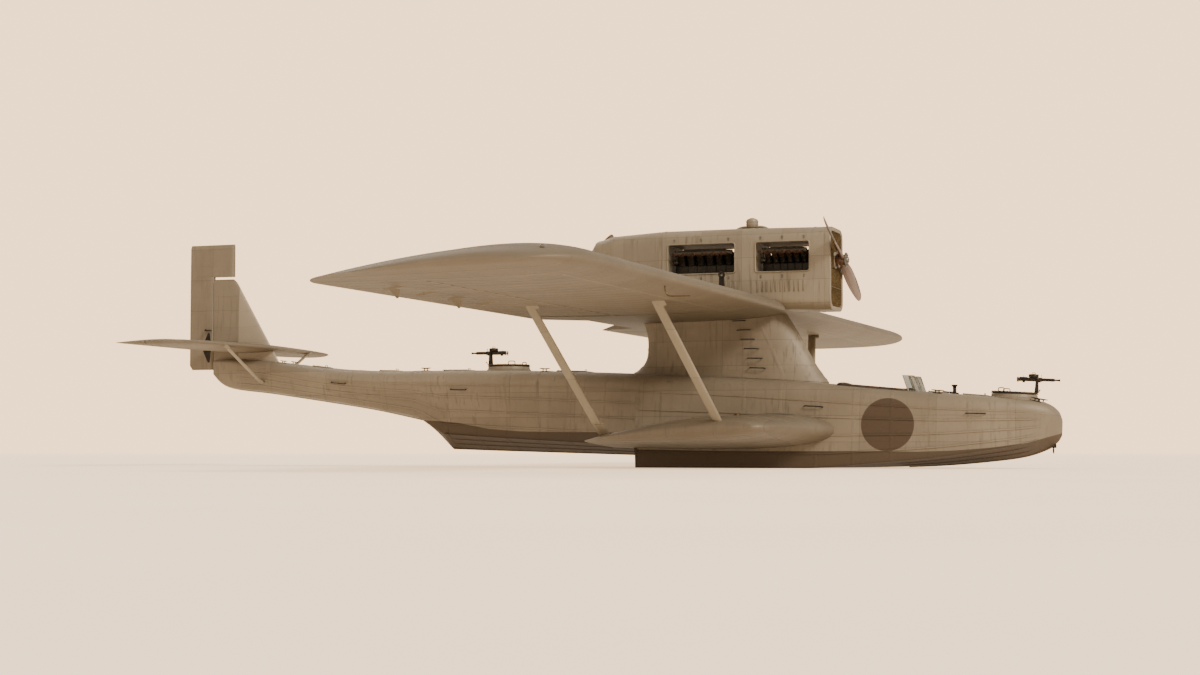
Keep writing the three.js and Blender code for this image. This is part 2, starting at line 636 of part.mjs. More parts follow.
// Engines: a crankcase, two leaning banks of six cylinders, their covers and exhaust stubs
const CRANKCASE = { end: 60, half: 210, height: 190 };
const BANK = { ends: 190, lean: 30, y: 95, z: 120, reach: 330, cylinders: 6, bore: 0.42, cover: 62 };
const STUB = { reach: 250, aft: 55, y: 545, rise: 40, radius: 30 };
function engine(back, front) {
  const { end, half, height } = CRANKCASE;
  const middle = (back + front) / 2;
  const pitch = (front - back - BANK.ends) / BANK.cylinders;
  const pieces = [block(back + end, front - end, -half, half, BAY.low + SEAM, BAY.low + height)];
  for (const [, sign] of SIDES) {
    const [out, up] = [Math.sin(rad(BANK.lean)) * sign, Math.cos(rad(BANK.lean))];
    const along = (x, reach) => [x, out * reach + sign * BANK.y, BAY.low + BANK.z + up * reach];
    for (let k = 0; k < BANK.cylinders; k++) {
      const x = middle + (k - (BANK.cylinders - 1) / 2) * pitch;
      pieces.push(rod(along(x, 0), along(x, BANK.reach), pitch * BANK.bore, 12));
      const port = along(x, STUB.reach);
      pieces.push(rod(port, [x - STUB.aft, sign * STUB.y, port[2] + STUB.rise], STUB.radius, 10));
    }
    const coverHalf = pitch * (BANK.cylinders / 2 - 0.1);
    const ends = [middle - coverHalf, middle + coverHalf].map((x) => along(x, BANK.reach));
    pieces.push(rod(...ends, BANK.cover, 10));
  }
  return join(...pieces);
}

for (const [name, back, front] of BAYS) {
  place(`engine_${name}`, engine(back, front), "iron");
}

// Propellers: two wooden blades on a round hub

// Columns: radius, chord, thickness in chords, pitch in degrees
const BLADE = [
  [60, 130, 0.6, 60],
  [260, 170, 0.42, 48],
  [520, 225, 0.22, 34],
  [880, 250, 0.14, 24],
  [1230, 225, 0.1, 18],
  [1480, 165, 0.08, 15],
  [PROP_RADIUS, 70, 0.07, 14],
];
// Columns: radius, height above the seat. The shaft's end comes first, then both flanges.
const HUB = [
  [0, -70],
  [SHAFT.radius, -70],
  [SHAFT.radius, 20],
  [135, 20],
  [135, 50],
  [95, 60],
  [95, 165],
  [135, 175],
  [135, 200],
  [50, 215],
  [0, 225],
];
function propeller(facing) {
  const blade = loft(BLADE.map(([radius, chord, thick, pitch]) =>
    foil(chord, thick, 0.03, 6).map(([aft, up]) => {
      const across = aft - chord * 0.42;
      const [c, s] = [Math.cos(rad(pitch)), Math.sin(rad(pitch))];
      return [facing * (112 - across * s + up * c), across * c + up * s, radius];
    }),
  ));
  const hub = turned(HUB, 24).rotate(0, 90 * facing, 0);
  return join(blade, blade.rotate(180, 0, 0), hub);
}

// Columns: name, x of the hub's seat, facing, angle at rest in degrees
const PROPELLERS = [
  ["front", NACELLE_FRONT, 1, 68],
  ["rear", NACELLE_REAR, -1, -62],
];
for (const [name, seatX, facing, rest] of PROPELLERS) {
  place(`propeller_${name}`, propeller(facing).rotate(rest, 0, 0).translate(seatX, 0, SHAFT_Z), "timber");
}

// Gun rings: a turning rail on each coaming, and a gun between two tall ears on the rail

const RAIL = { inner: 350, outer: 402, low: 76, high: 112 };
const GUN = { postX: 376, pivotZ: 340 };
// The two upright ears that carry a gun: each wide at its foot and narrow beside the pivot
const EAR = { foot: 30, head: 14, above: 16, thick: 14, y: 40 };
function ringFrame(ring, body) {
  return body.rotate(0, ring.tilt, ring.facing > 0 ? 0 : 180).translate(ring.x, 0, deckZ(ring.x));
}

function gunRail() {
  const { inner, outer, low, high } = RAIL;
  const rail = turned([[inner, low], [outer, low], [outer, high], [inner, high], [inner, low]], 32);
  const side = [
    [GUN.postX - EAR.foot, low + 10],
    [GUN.postX + EAR.foot, low + 10],
    [GUN.postX + EAR.head, GUN.pivotZ + EAR.above],
    [GUN.postX - EAR.head, GUN.pivotZ + EAR.above],
  ];
  const ears = [EAR.y, -EAR.y].map((y) => prism(side, "y", y - EAR.thick / 2, y + EAR.thick / 2));
  const saddle = block(GUN.postX - EAR.foot, GUN.postX + EAR.foot, -47, 47, low + 10, high + 3);
  return join(rail, saddle, ...ears);
}

// Barrel along +X from its pivot, with a jacket, a flat drum on top and a spade grip behind.
function gun() {
  const body = block(-300, 90, -27, 27, -38, 34);
  const jacket = rod([80, 0, 0], [300, 0, 0], 30, 12);
  const barrel = rod([290, 0, 0], [395, 0, 0], 15, 10);
  const drum = rod([-60, 0, 30], [-60, 0, 92], 88, 16);
  const handles = [45, -45].map((y) => rod([-340, y, -10], [-285, y, -10], 11, 8));
  const grip = join(rod([-290, -60, -10], [-290, 60, -10], 12, 8), ...handles);
  const sight = block(55, 75, -6, 6, 20, 74);
  return join(body, jacket, barrel, drum, grip, sight);
}

for (const [name, ring] of [["bow", BOW_RING], ["dorsal", DORSAL_RING]]) {
  place(`gun_ring_${name}`, ringFrame(ring, gunRail()), "iron");
  place(`gun_${name}`, ringFrame(ring, gun().translate(GUN.postX, 0, GUN.pivotZ)), "iron");
}

// Cockpit: two seats, two wheels on columns, an instrument board and two windscreens

// In these tables x counts from the seat's middle and z from the cockpit's floor.
const SEAT = { x: 3960, spacing: 300, half: 225, back: -200, front: 240, height: 330, backrest: 820 };
const ARM = { front: 160, thick: 36, low: 300, high: 470 };
const COLUMN = { footX: 520, headX: 470, headZ: 560, radius: 24, shoe: 60, shoeHeight: 40 };
const WHEEL = { x: 440, z: 590, radius: 165, grip: 13, spoke: 9, lean: 25 };
const HUB_ENDS = [[480, 555], [425, 597]];

function seat(y) {
  const { x, half, back } = SEAT;
  const board = (x0, x1, y0, y1, low, high) =>
    block(x + x0, x + x1, y + y0, y + y1, cockpitFloor + low, cockpitFloor + high);
  const base = board(back, SEAT.front, -half, half, SEAM, SEAT.height);
  const rest = board(back - 50, back + 10, -half, half, SEAM, SEAT.backrest);
  const arms = [half - ARM.thick, -half].map((inner) =>
    board(back, ARM.front, inner, inner + ARM.thick, ARM.low, ARM.high),
  );
  return join(base, rest, ...arms);
}

// A wheel on its column. The wheel's top leans forward.
function controlWheel(y) {
  const at = (x, side, z) => [SEAT.x + x, y + side, cockpitFloor + z];
  const { footX, headX, headZ, shoe } = COLUMN;
  const column = rod(at(footX, 0, SEAM + 2), at(headX, 0, headZ), COLUMN.radius, 10);
  const [shoeX, shoeY, shoeZ] = at(footX, 0, SEAM);
  const shoeTop = cockpitFloor + COLUMN.shoeHeight;
  const foot = block(shoeX - shoe, shoeX + shoe, shoeY - shoe, shoeY + shoe, shoeZ, shoeTop);
  const torus = new THREE.TorusGeometry(WHEEL.radius, WHEEL.grip, 8, 24);
  torus.rotateY(Math.PI / 2 + rad(WHEEL.lean)).translate(...at(WHEEL.x, 0, WHEEL.z));
  const spokes = [0, 60, 120].map((turn) => {
    const across = Math.cos(rad(turn)) * WHEEL.radius;
    const rise = Math.sin(rad(turn)) * WHEEL.radius;
    const [aheadX, upZ] = [rise * Math.sin(rad(WHEEL.lean)), rise * Math.cos(rad(WHEEL.lean))];
    const ends = [1, -1].map((end) => at(WHEEL.x + end * aheadX, end * across, WHEEL.z + end * upZ));
    return rod(...ends, WHEEL.spoke, 6);
  });
  const hub = rod(...HUB_ENDS.map(([x, z]) => at(x, 0, z)), 34, 12);
  return join(column, foot, solid(torus), hub, ...spokes);
}

for (const [side, sign] of SIDES) {
  place(`seat_${side}`, seat(sign * SEAT.spacing), "leather");
  place(`control_wheel_${side}`, controlWheel(sign * SEAT.spacing), "timber");
}

const BOARD = { x: 4745, half: cockpitHalf - SEAM, low: 1140, high: 1470 };
const board = block(BOARD.x, cockpitFront - SEAM, -BOARD.half, BOARD.half, BOARD.low, BOARD.high);
place("instrument_board", board, "timber");

// Each windscreen has three flat panes in a frame that leans back from the deck.
const SCREEN = { x: 4990, corner: 140, outer: 280, back: 130, sunk: 60, rise: 270, lean: 110 };
const SCREEN_WALL = { frame: 16, bar: 20, glass: 6 };
function screenPlate(y0, inset, wall) {
  const foot = [
    [SCREEN.x - SCREEN.back, -SCREEN.outer],
    [SCREEN.x, -SCREEN.corner],
    [SCREEN.x, SCREEN.corner],
    [SCREEN.x - SCREEN.back, SCREEN.outer],
  ];
  const low = deckZ(SCREEN.x) - SCREEN.sunk + inset;
  const high = deckZ(SCREEN.x) + SCREEN.rise - inset;
  return foot.slice(0, -1).map((a, k) => {
    const b = foot[k + 1];
    const [dx, dy] = [b[0] - a[0], b[1] - a[1]];
    const long = Math.hypot(dx, dy);
    const start = [a[0] + (dx / long) * inset, a[1] + (dy / long) * inset];
    const end = [b[0] - (dx / long) * inset, b[1] - (dy / long) * inset];
    const thick = [(-dy / long) * wall / 2, (dx / long) * wall / 2];
    const ring = (z) => [[start, 1], [end, 1], [end, -1], [start, -1]].map(([p, turn]) => [
      p[0] + thick[0] * turn - SCREEN.lean * ((z - low) / (high - low)),
      p[1] + thick[1] * turn + y0,
      z,
    ]);
    return loft([ring(low), ring(high)]);
  });
}

for (const [side, sign] of SIDES) {
  const y = sign * SEAT.spacing;
  const frame = screenPlate(y, 0, SCREEN_WALL.frame);
  const holes = screenPlate(y, SCREEN_WALL.bar, SCREEN_WALL.frame * 4);
  const panes = screenPlate(y, SCREEN_WALL.bar + 1, SCREEN_WALL.glass);
  const foot = hull.translate(0, 0, SEAM);
  const rim = join(...frame).subtract(join(...holes)).subtract(foot);
  place(`windscreen_frame_${side}`, biggest(rim), "iron");
  ["outer", "middle", "inner"].forEach((name, k) => {
    const pane = panes[sign > 0 ? 2 - k : k].subtract(foot);
    place(`pane_${name}_${side}`, biggest(pane), "glass");
  });
}

// Mooring gear and hoisting pads

// Columns: radius, height
const BOLLARD = [
  [0, -30],
  [70, -30],
  [70, 14],
  [34, 22],
  [30, 120],
  [52, 140],
  [52, 160],
  [0, 160],
];
const BOLLARD_X = 5560;
const bollard = turned(BOLLARD, 20).translate(BOLLARD_X, 0, deckZ(BOLLARD_X));
place("bow_bollard", bollard.subtract(hull.translate(0, 0, SEAM)), "iron");

const HOIST_PAD = { x: 1580, y: 900, along: 80, across: 60, low: 3200, high: 3560 };
const HOIST_EYE = { z: 3620, radius: 60, half: 30, holeZ: 3630, hole: 26 };
for (const [side, sign] of SIDES) {
  const { x, along, across, low, high } = HOIST_PAD;
  const y = sign * HOIST_PAD.y;
  const pad = block(x - along, x + along, y - across, y + across, low, high);
  const { z, radius, half, holeZ, hole } = HOIST_EYE;
  const eye = rod([x, y - half, z], [x, y + half, z], radius, 16);
  const eyeHole = rod([x, y - half * 2, holeZ], [x, y + half * 2, holeZ], hole, 12);
  const whole = join(pad, eye.subtract(eyeHole)).subtract(wingCentre.translate(0, 0, SEAM));
  place(`hoist_eye_${side}`, biggest(whole), "iron");
}

// Tailplane struts from the boom's side to the tailplane's underside
const TAIL_STRUT = { x: -8050, footY: 180, footZ: 1760, headY: 1750, headZ: TAIL.z + 10, radius: 26 };
for (const [side, sign] of SIDES) {
  const { x, footY, footZ, headY, headZ, radius } = TAIL_STRUT;
  const bar = rod([x, sign * footY, footZ], [x, sign * headY, headZ], radius, 10)
    .subtract(hull.translate(0, sign * SEAM, 0))
    .subtract(tailplane.translate(0, 0, -SEAM));
  place(`tail_strut_${side}`, biggest(bar), "strut");
}

export default boat;
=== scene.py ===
# %% [markdown]
# A metal flying boat of the 1920s, dressed for its portrait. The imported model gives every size,
# place and joint, in metres, with +X towards the bow, +Y to port and +Z up. It could be shown as it
# comes, but its solids are faceted and bare, so this lesson lays the plating, ribs, rivets, engines
# and cockpit over them as surfaces that numpy works out.

# %% Load the frame and keep its box
import math

import bmesh
import bpy
import numpy as np
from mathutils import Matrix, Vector


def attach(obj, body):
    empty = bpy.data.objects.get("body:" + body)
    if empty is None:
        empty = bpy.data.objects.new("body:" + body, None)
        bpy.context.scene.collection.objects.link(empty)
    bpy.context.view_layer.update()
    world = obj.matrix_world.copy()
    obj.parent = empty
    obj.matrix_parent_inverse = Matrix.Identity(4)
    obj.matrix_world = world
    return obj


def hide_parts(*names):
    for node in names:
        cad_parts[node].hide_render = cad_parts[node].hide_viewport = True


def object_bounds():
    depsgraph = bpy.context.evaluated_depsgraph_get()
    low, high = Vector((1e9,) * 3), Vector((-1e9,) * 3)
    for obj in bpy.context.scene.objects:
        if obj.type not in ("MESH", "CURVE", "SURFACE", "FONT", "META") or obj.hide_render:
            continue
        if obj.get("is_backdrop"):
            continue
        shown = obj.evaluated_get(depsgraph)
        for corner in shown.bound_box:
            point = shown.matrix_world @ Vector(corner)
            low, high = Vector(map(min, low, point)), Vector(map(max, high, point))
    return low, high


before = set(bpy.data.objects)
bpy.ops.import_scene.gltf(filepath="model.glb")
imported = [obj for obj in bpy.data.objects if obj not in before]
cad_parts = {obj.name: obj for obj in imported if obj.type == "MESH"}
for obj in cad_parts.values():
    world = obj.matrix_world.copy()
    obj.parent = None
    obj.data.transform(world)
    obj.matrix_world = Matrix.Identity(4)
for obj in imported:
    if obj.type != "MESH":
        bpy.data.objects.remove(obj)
cad_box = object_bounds()
STEP = np.array([1.215, 0.0, -0.170])  # tables count from here, below the main step
AHEAD, PORT, UP = np.eye(3)
SIDES = (("port", 1), ("starboard", -1))
print("nodes", len(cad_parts), "box", [list(map(float, c)) for c in cad_box])

# %% [markdown]
# The picture is taken from starboard, a little ahead of the beam and from low down. A standing boat
# can't be seen from below the floor, so the camera sits just above it, far off with a long lens.
# Closer in, a short lens would blow up the near wing tip.

# %% Place the camera
CAMERA = {"turn": 19.65, "distance": 38.0, "height": 0.35, "lens": 61.0, "aim": (0.15, 0.0, 2.42)}


def place_camera(turn, distance, height, lens, aim):
    """A level circle round the aim: the camera stands at a turn ahead of the starboard beam."""
    angle = math.radians(turn)
    data = bpy.data.cameras.new("camera")
    data.lens = lens
    camera = bpy.data.objects.new("camera", data)
    bpy.context.scene.collection.objects.link(camera)
    camera.location = (
        aim[0] + distance * math.sin(angle),
        aim[1] - distance * math.cos(angle),
        height,
    )
    away = Vector(aim) - camera.location
    camera.rotation_euler = away.to_track_quat("-Z", "Y").to_euler()
    bpy.context.scene.camera = camera
    return camera


camera = place_camera(**CAMERA)
print("camera at", [round(v, 2) for v in camera.location])

# %% [markdown]
# Node trees come next, because the floor already needs one. A tree could be wired by hand in the
# editor. In code, one short function that makes a node and feeds its sockets keeps each material
# readable: a socket gets a value, or another node's output.

# %% Helpers for node trees
def feed(tree, socket, value):
    """Links an output to a socket, or writes a plain value into it."""
    if isinstance(value, bpy.types.NodeSocket):
        tree.links.new(value, socket)
    else:
        socket.default_value = value


def add(tree, kind, inputs=(), **settings):
    """Makes a node, applies its settings, and feeds its sockets by name or number."""
    made = tree.nodes.new("ShaderNode" + kind)
    for name, value in settings.items():
        setattr(made, name, value)
    for name, value in dict(inputs).items():
        feed(tree, made.inputs[name], value)
    return made


def calc(tree, operation, *values):
    """A Math node over one to three values or outputs."""
    return add(tree, "Math", enumerate(values), operation=operation).outputs[0]


def times(tree, first, second):
    """The product of two values or outputs."""
    return calc(tree, "MULTIPLY", first, second)


def plus(tree, first, second):
    """The sum of two values or outputs."""
    return calc(tree, "ADD", first, second)


def vector(tree, operation, *values):
    """A Vector Math node over one or two vectors or outputs."""
    return add(tree, "VectorMath", enumerate(values), operation=operation).outputs[0]


def blend(tree, share, first, second):
    """A colour between two, by a share from 0 to 1."""
    return add(tree, "Mix", {0: share, 6: first, 7: second}, data_type="RGBA").outputs[2]


def noise_at(tree, place, scale, detail, **more):
    """Soft noise from 0 to 1, some cells to a metre, with finer detail in it."""
    return add(tree, "TexNoise", {"Vector": place, "Scale": scale, "Detail": detail, **more}).outputs["Fac"]


def ramp(tree, value, low, high, to_low=0.0, to_high=1.0):
    """A value's range from low to high, stretched smoothly to a new one."""
    made = add(tree, "MapRange", {0: value, 1: low, 2: high, 3: to_low, 4: to_high})
    made.interpolation_type = "SMOOTHSTEP"
    return made.outputs[0]


def colour(red, green, blue):
    """A picture's 0 to 255 colour as the linear one that a shader takes."""
    share = np.array([red, green, blue]) / 255
    linear = np.where(share <= 0.04045, share / 12.92, ((share + 0.055) / 1.055) ** 2.4)
    return (*map(float, linear), 1.0)


print("a mid grey is", round(colour(128, 128, 128)[0], 3), "in linear light")

# %% [markdown]
# The studio is a pale floor that fades into the world's colour far out, so no horizon cuts the
# picture. A wall behind the object would do it for one view only. Light comes from a broad soft sun
# above the bow's starboard side, with a pale fill all round, so undersides stay darker than decks.

# %% Floor, world and lights
PAPER = colour(226, 211, 192)
BACKDROP = (3.0, 2.0, 1.15, 1.0)  # the paper's light as the camera sees it, brighter than what it gives


def full_turn(steps):
    """Equal turns round a circle, in radians, from 0 up to the last before it closes."""
    return np.linspace(0, 2 * np.pi, steps, endpoint=False)


def floor_sheet(radius, around=96, rings=12):
    """Rings of points: the radius grows with the square of the ring's share, from the middle out."""
    share = np.linspace(0, 1, rings)[1:, None] ** 2
    turn = full_turn(around)[None]
    points = np.stack([radius * share * np.cos(turn), radius * share * np.sin(turn), 0 * share * turn], -1)
    ids = np.arange(points.shape[0] * around).reshape(-1, around)
    right = np.roll(ids, -1, 1)
    quads = np.stack([ids[:-1], ids[1:], right[1:], right[:-1]], -1).reshape(-1, 4)
    mesh = bpy.data.meshes.new("floor")
    mesh.from_pydata(points.reshape(-1, 3).tolist(), [], [*quads.tolist(), ids[0].tolist()])
    return mesh


def floor_paint():
    """Matt paper near the boat, and plain light of the world's colour further out."""
    made = bpy.data.materials.new("floor_paper")
    made.use_nodes = True
    tree = made.node_tree
    tree.nodes.clear()
    place = add(tree, "TexCoord").outputs["Object"]
    far = add(tree, "VectorMath", {0: place}, operation="LENGTH").outputs["Value"]
    grain = noise_at(tree, place, 0.35, 4.0)
    tone = blend(tree, ramp(tree, grain, 0.3, 0.7), colour(236, 222, 203), colour(240, 227, 208))
    looked_at = add(tree, "LightPath").outputs["Is Camera Ray"]
    tint = blend(tree, looked_at, PAPER, BACKDROP)
    matt = add(tree, "BsdfPrincipled", {"Base Color": tone, "Roughness": 0.85, "Emission Color": tint,
                                        "Emission Strength": ramp(tree, looked_at, 0, 1, 0.58, 0.42)})
    light = add(tree, "Emission", {"Color": tint, "Strength": 1.0})
    share = ramp(tree, far, 30.0, 130.0)
    mixed = add(tree, "MixShader", {0: share, 1: matt.outputs[0], 2: light.outputs[0]})
    add(tree, "OutputMaterial", {"Surface": mixed.outputs[0]})
    return made


floor = bpy.data.objects.new("floor", floor_sheet(900.0))
bpy.context.scene.collection.objects.link(floor)
floor.data.materials.append(floor_paint())
floor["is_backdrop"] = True

world = bpy.data.worlds.new("studio")
bpy.context.scene.world = world
world.use_nodes = True
air = world.node_tree
light = air.nodes["Background"]
light.inputs["Color"].default_value = PAPER
light.inputs["Strength"].default_value = 1.0
seen = add(air, "Background", {"Color": BACKDROP, "Strength": 1.0})
looked_at = add(air, "LightPath").outputs["Is Camera Ray"]
picked = add(air, "MixShader", {0: looked_at, 1: light.outputs[0], 2: seen.outputs[0]})
air.links.new(picked.outputs[0], air.nodes["World Output"].inputs["Surface"])


def lamp(name, kind, strength, place, aim=(0, 0, 2), tint=(1.0, 0.96, 0.9), **settings):
    """A lamp at a place, turned towards its aim."""
    data = bpy.data.lights.new(name, kind)
    data.energy = strength
    data.color = tint
    for key, value in settings.items():
        setattr(data, key, value)
    made = bpy.data.objects.new(name, data)
    made.location = place
    made.rotation_euler = (Vector(aim) - Vector(place)).to_track_quat("-Z", "Y").to_euler()
    bpy.context.scene.collection.objects.link(made)


lamp("key", "SUN", 2.6, (27, -14, 22), angle=math.radians(16))
lamp("rim", "SUN", 0.6, (-20, 18, 22), angle=math.radians(30))
lamp("fill", "SUN", 0.3, (-6, -24, 7), angle=math.radians(60))
print("lamps", len(bpy.data.lights))

# %% [markdown]
# Every piece here is a grid: rows of points that run round a section, one row after the other along
# the piece. A modeller could push vertices by hand, but a grid that comes from a formula keeps its
# curve at any fineness. One helper closes such a grid, one turns its faces outwards, and one makes
# the object and lets it ride on its body.

# %% Closed skins over grids of points
def facing_out(points, faces):
    """Turns all faces round where the volume they enclose, summed from corner products, is negative."""
    volume = 0.0
    for group in faces:
        fan = group[:, [0]]
        for k in range(1, group.shape[1] - 1):
            a, b, c = (points[i] for i in (fan[:, 0], group[:, k], group[:, k + 1]))
            volume += np.einsum("ij,ij->", a, np.cross(b, c))
    return points, [group if volume > 0 else group[:, ::-1] for group in faces]


def skin(rings, looped=False):
    """Quads over a (rows, columns, 3) grid whose columns run round; the end rows are capped, or joined."""
    rings = np.asarray(rings, float)
    ids = np.arange(rings.shape[0] * rings.shape[1]).reshape(rings.shape[:2])
    side = np.roll(ids, -1, axis=1)
    low, high = (ids, np.roll(ids, -1, axis=0)) if looped else (ids[:-1], ids[1:])
    side_low, side_high = (side, np.roll(side, -1, axis=0)) if looped else (side[:-1], side[1:])
    faces = [np.stack([low, side_low, side_high, high], -1).reshape(-1, 4)]
    if not looped:
        faces += [ids[:1, ::-1], ids[-1:]]
    return facing_out(rings.reshape(-1, 3), faces)


def copies(patch, origins, axes):
    """A patch repeated at k origins (k, 3), its own x, y and z turned to the k sets of axes (k, 3, 3)."""
    points, faces = patch
    origins, axes = np.atleast_2d(origins), np.broadcast_to(axes, (len(np.atleast_2d(origins)), 3, 3))
    placed = origins[:, None] + np.einsum("pi,kij->kpj", points, axes)
    shift = (np.arange(len(origins)) * len(points))[:, None, None]
    return placed.reshape(-1, 3), [(group[None] + shift).reshape(-1, group.shape[1]) for group in faces]


def mesh_of(name, patches):
    """One mesh of several patches, each patch a pair of points and groups of faces."""
    points, faces, start = [], [], 0
    for part, groups in patches:
        points.append(part)
        for group in groups:
            faces += (group + start).tolist()
        start += len(part)
    mesh = bpy.data.meshes.new(name)
    mesh.from_pydata(np.concatenate(points).tolist(), [], faces)
    return mesh


def tidy(mesh, sharp, merge=2e-5):
    """Merges doubles, which closes poles, and shades smooth across edges flatter than sharp degrees."""
    work = bmesh.new()
    work.from_mesh(mesh)
    bmesh.ops.remove_doubles(work, verts=work.verts, dist=merge)
    bmesh.ops.dissolve_degenerate(work, edges=work.edges, dist=merge / 2)
    work.to_mesh(mesh)
    work.free()
    mesh.shade_smooth()
    mesh.set_sharp_from_angle(angle=math.radians(sharp))


SLOT_OF = {}  # each finish's name, and the frame's slot that it stands for
unreported = []  # the pieces made since the last report


def piece(name, patches, paint, body="airframe", stands_for=(), sharp=32, slot=None):
    """A finished object: its mesh, its finish, the body it rides on, and the CAD nodes it stands for."""
    mesh = mesh_of(name, patches) if isinstance(patches, list) else patches
    tidy(mesh, sharp)
    made = bpy.data.objects.new(name, mesh)
    bpy.context.scene.collection.objects.link(made)
    mesh.materials.clear()
    mesh.materials.append(paint)
    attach(made, body)
    slot or SLOT_OF[paint.name]
    if stands_for:
        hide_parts(*stands_for)
    if paint == hull_paint:
        mark_band(mesh)
    unreported.append(made)
    return made


def report(title):
    """Prints how many pieces were made since the last report, and their faces."""
    faces = sum(len(made.data.polygons) for made in unreported)
    print(f"{title}: {len(unreported)} pieces, {faces} faces")
    unreported.clear()


# %% [markdown]
# Small parts repeat a few shapes: a bar along a path, a strip that hugs a surface, a turned knob and
# a block with rounded edges. Plain primitives would look like stand-ins up close. These four take
# their sections and roundings as numbers, so a lug, a pipe or a strap is one line each.

# %% Bars, strips, turned parts and rounded blocks
def circle(radius, sides=10):
    """Points at equal turns on a circle, as a (sides, 2) section."""
    turn = full_turn(sides)
    return radius * np.stack([np.cos(turn), np.sin(turn)], -1)


def from_step(x, y, z):
    """Points (..., 3) from three coordinates or arrays of them, counted from the step."""
    return np.stack(np.broadcast_arrays(x, y, z), -1) + STEP


def unit(vectors):
    """Vectors brought to length one."""
    return vectors / np.maximum(np.linalg.norm(vectors, axis=-1, keepdims=True), 1e-12)


def bar(path, section, upright=UP, scale=1.0, looped=False):
    """A section carried along a path: its first coordinate runs sideways, square to the path and upright."""
    path = np.asarray(path, float)
    if looped:
        along = unit(np.roll(path, -1, 0) - np.roll(path, 1, 0))
    else:
        along = unit(np.gradient(path, axis=0))
    side = unit(np.cross(along, upright))
    top = np.cross(side, along)
    scale = np.broadcast_to(np.asarray(scale, float), len(path))[:, None, None]
    rings = path[:, None] + scale * (side[:, None] * section[None, :, :1] + top[:, None]
                                     * section[None, :, 1:])
    return skin(rings, looped)


def rod(start, end, radius, sides=10, upright=None, end_radius=None):
    """A round bar between two points, narrowing to end_radius, with its rims rounded off."""
    start, end = np.asarray(start, float), np.asarray(end, float)
    along = unit(end - start)
    upright = upright if upright is not None else (AHEAD if abs(along[2]) > 0.8 else UP)
    ease = min(0.12 * radius, 0.2 * np.linalg.norm(end - start))
    path = np.stack([start, start + along * ease, end - along * ease, end])
    last = end_radius if end_radius is not None else radius
    return bar(path, circle(1.0, sides), upright, [radius * 0.88, radius, last, last * 0.88])


def rounded_rectangle(low, high, corner, steps, lift=0.0):
    """Quarter circles at a rectangle's corners, joined: (..., 4 * steps, 2), lifted off it by lift."""
    turn = np.linspace(0, np.pi / 2, steps)
    arcs = []
    for quarter, (sign_u, sign_v) in enumerate([(1, 1), (-1, 1), (-1, -1), (1, -1)]):
        u = high[0] if sign_u > 0 else low[0]
        v = high[1] if sign_v > 0 else low[1]
        around = turn + quarter * np.pi / 2
        arcs.append(np.stack([u - sign_u * corner + (corner + lift) * np.cos(around),
                              v - sign_v * corner + (corner + lift) * np.sin(around)], -1))
    return np.concatenate(arcs, axis=-2)


def laid_strip(left, right, outward, height, sunk=0.002):
    """A strip between two lines of points on a surface: it stands out by height and is sunk a little."""
    outward = np.broadcast_to(outward, left.shape)
    lift, drop = outward * height, -outward * sunk
    inner_left, inner_right = left + (right - left) * 0.12, right + (left - right) * 0.12
    rings = np.stack([left + drop, left + lift * 0.55, inner_left + lift, inner_right + lift,
                      right + lift * 0.55, right + drop], 1)
    return skin(rings)


def turned(profile, origin=(0, 0, 0), axis=UP, sides=20, hollow=False):
    """A profile of (radius, height) points turned about an axis: from it and back, or closed round a hole."""
    axis = unit(np.asarray(axis, float))
    side = unit(np.cross(axis, AHEAD if abs(axis[0]) < 0.8 else PORT))
    front = np.cross(axis, side)
    profile = np.asarray(profile, float)
    turn = full_turn(sides)[:, None]
    spoke = side * np.cos(turn) + front * np.sin(turn)
    rings = np.asarray(origin, float) + profile[:, 0, None, None] * spoke + profile[:, 1, None, None] * axis
    return skin(rings.swapaxes(0, 1), looped=True) if hollow else skin(rings)


def rounded_block(low, high, edge, steps=2, axes=np.eye(3), origin=(0, 0, 0)):
    """A sphere of radius edge, split into eight and moved to a box's corners, with flat sides between."""
    low, high = np.asarray(low, float), np.asarray(high, float)
    quarter = np.linspace(0, np.pi / 2, steps + 1)
    turn = np.concatenate([quarter + k * np.pi / 2 for k in range(4)])
    tilt = np.concatenate([quarter - np.pi / 2, quarter])[:, None]
    ball = np.stack([np.cos(tilt) * np.cos(turn), np.cos(tilt) * np.sin(turn), np.sin(tilt) + 0 * turn], -1)
    sign_x = np.repeat([1, -1, -1, 1], steps + 1)
    sign_y = np.repeat([1, 1, -1, -1], steps + 1)
    sign_z = np.repeat([-1, 1], steps + 1)[:, None]
    half = (high - low) / 2 - edge
    corner = np.stack(np.broadcast_arrays(sign_x * half[0], sign_y * half[1],
                                          sign_z * half[2] + 0 * turn), -1)
    rings = (low + high) / 2 + corner + edge * ball
    return skin(np.asarray(origin, float) + rings @ np.asarray(axes, float))


def dome(radius, height, sides=6):
    """A rivet's head: a wide ring under a narrow one, both capped."""
    rings = np.stack([np.c_[circle(radius, sides), np.full(sides, -0.4 * height)],
                      np.c_[circle(radius * 0.55, sides), np.full(sides, height)]])
    return skin(rings)


def axes_on(outward, along):
    """Axes (k, 3, 3) with z along a surface's normal and x near a given direction."""
    outward = unit(np.asarray(outward, float))
    side = unit(np.cross(outward, np.broadcast_to(along, outward.shape)))
    return np.stack([np.cross(side, outward), side, outward], 1)


print("a rounded block has", len(rounded_block([0, 0, 0], [1, 1, 1], 0.1)[0]), "points")

# %% [markdown]
# Old paint on a metal boat is never one colour. Each plate took the brush a little differently, rain
# draws streaks down the sides, and salt and hands rub it thin. These effects go on many materials,
# so each is a node group with named sockets, built once. They could be painted on a picture, but
# worked out from places on the boat they stay sharp at any distance.

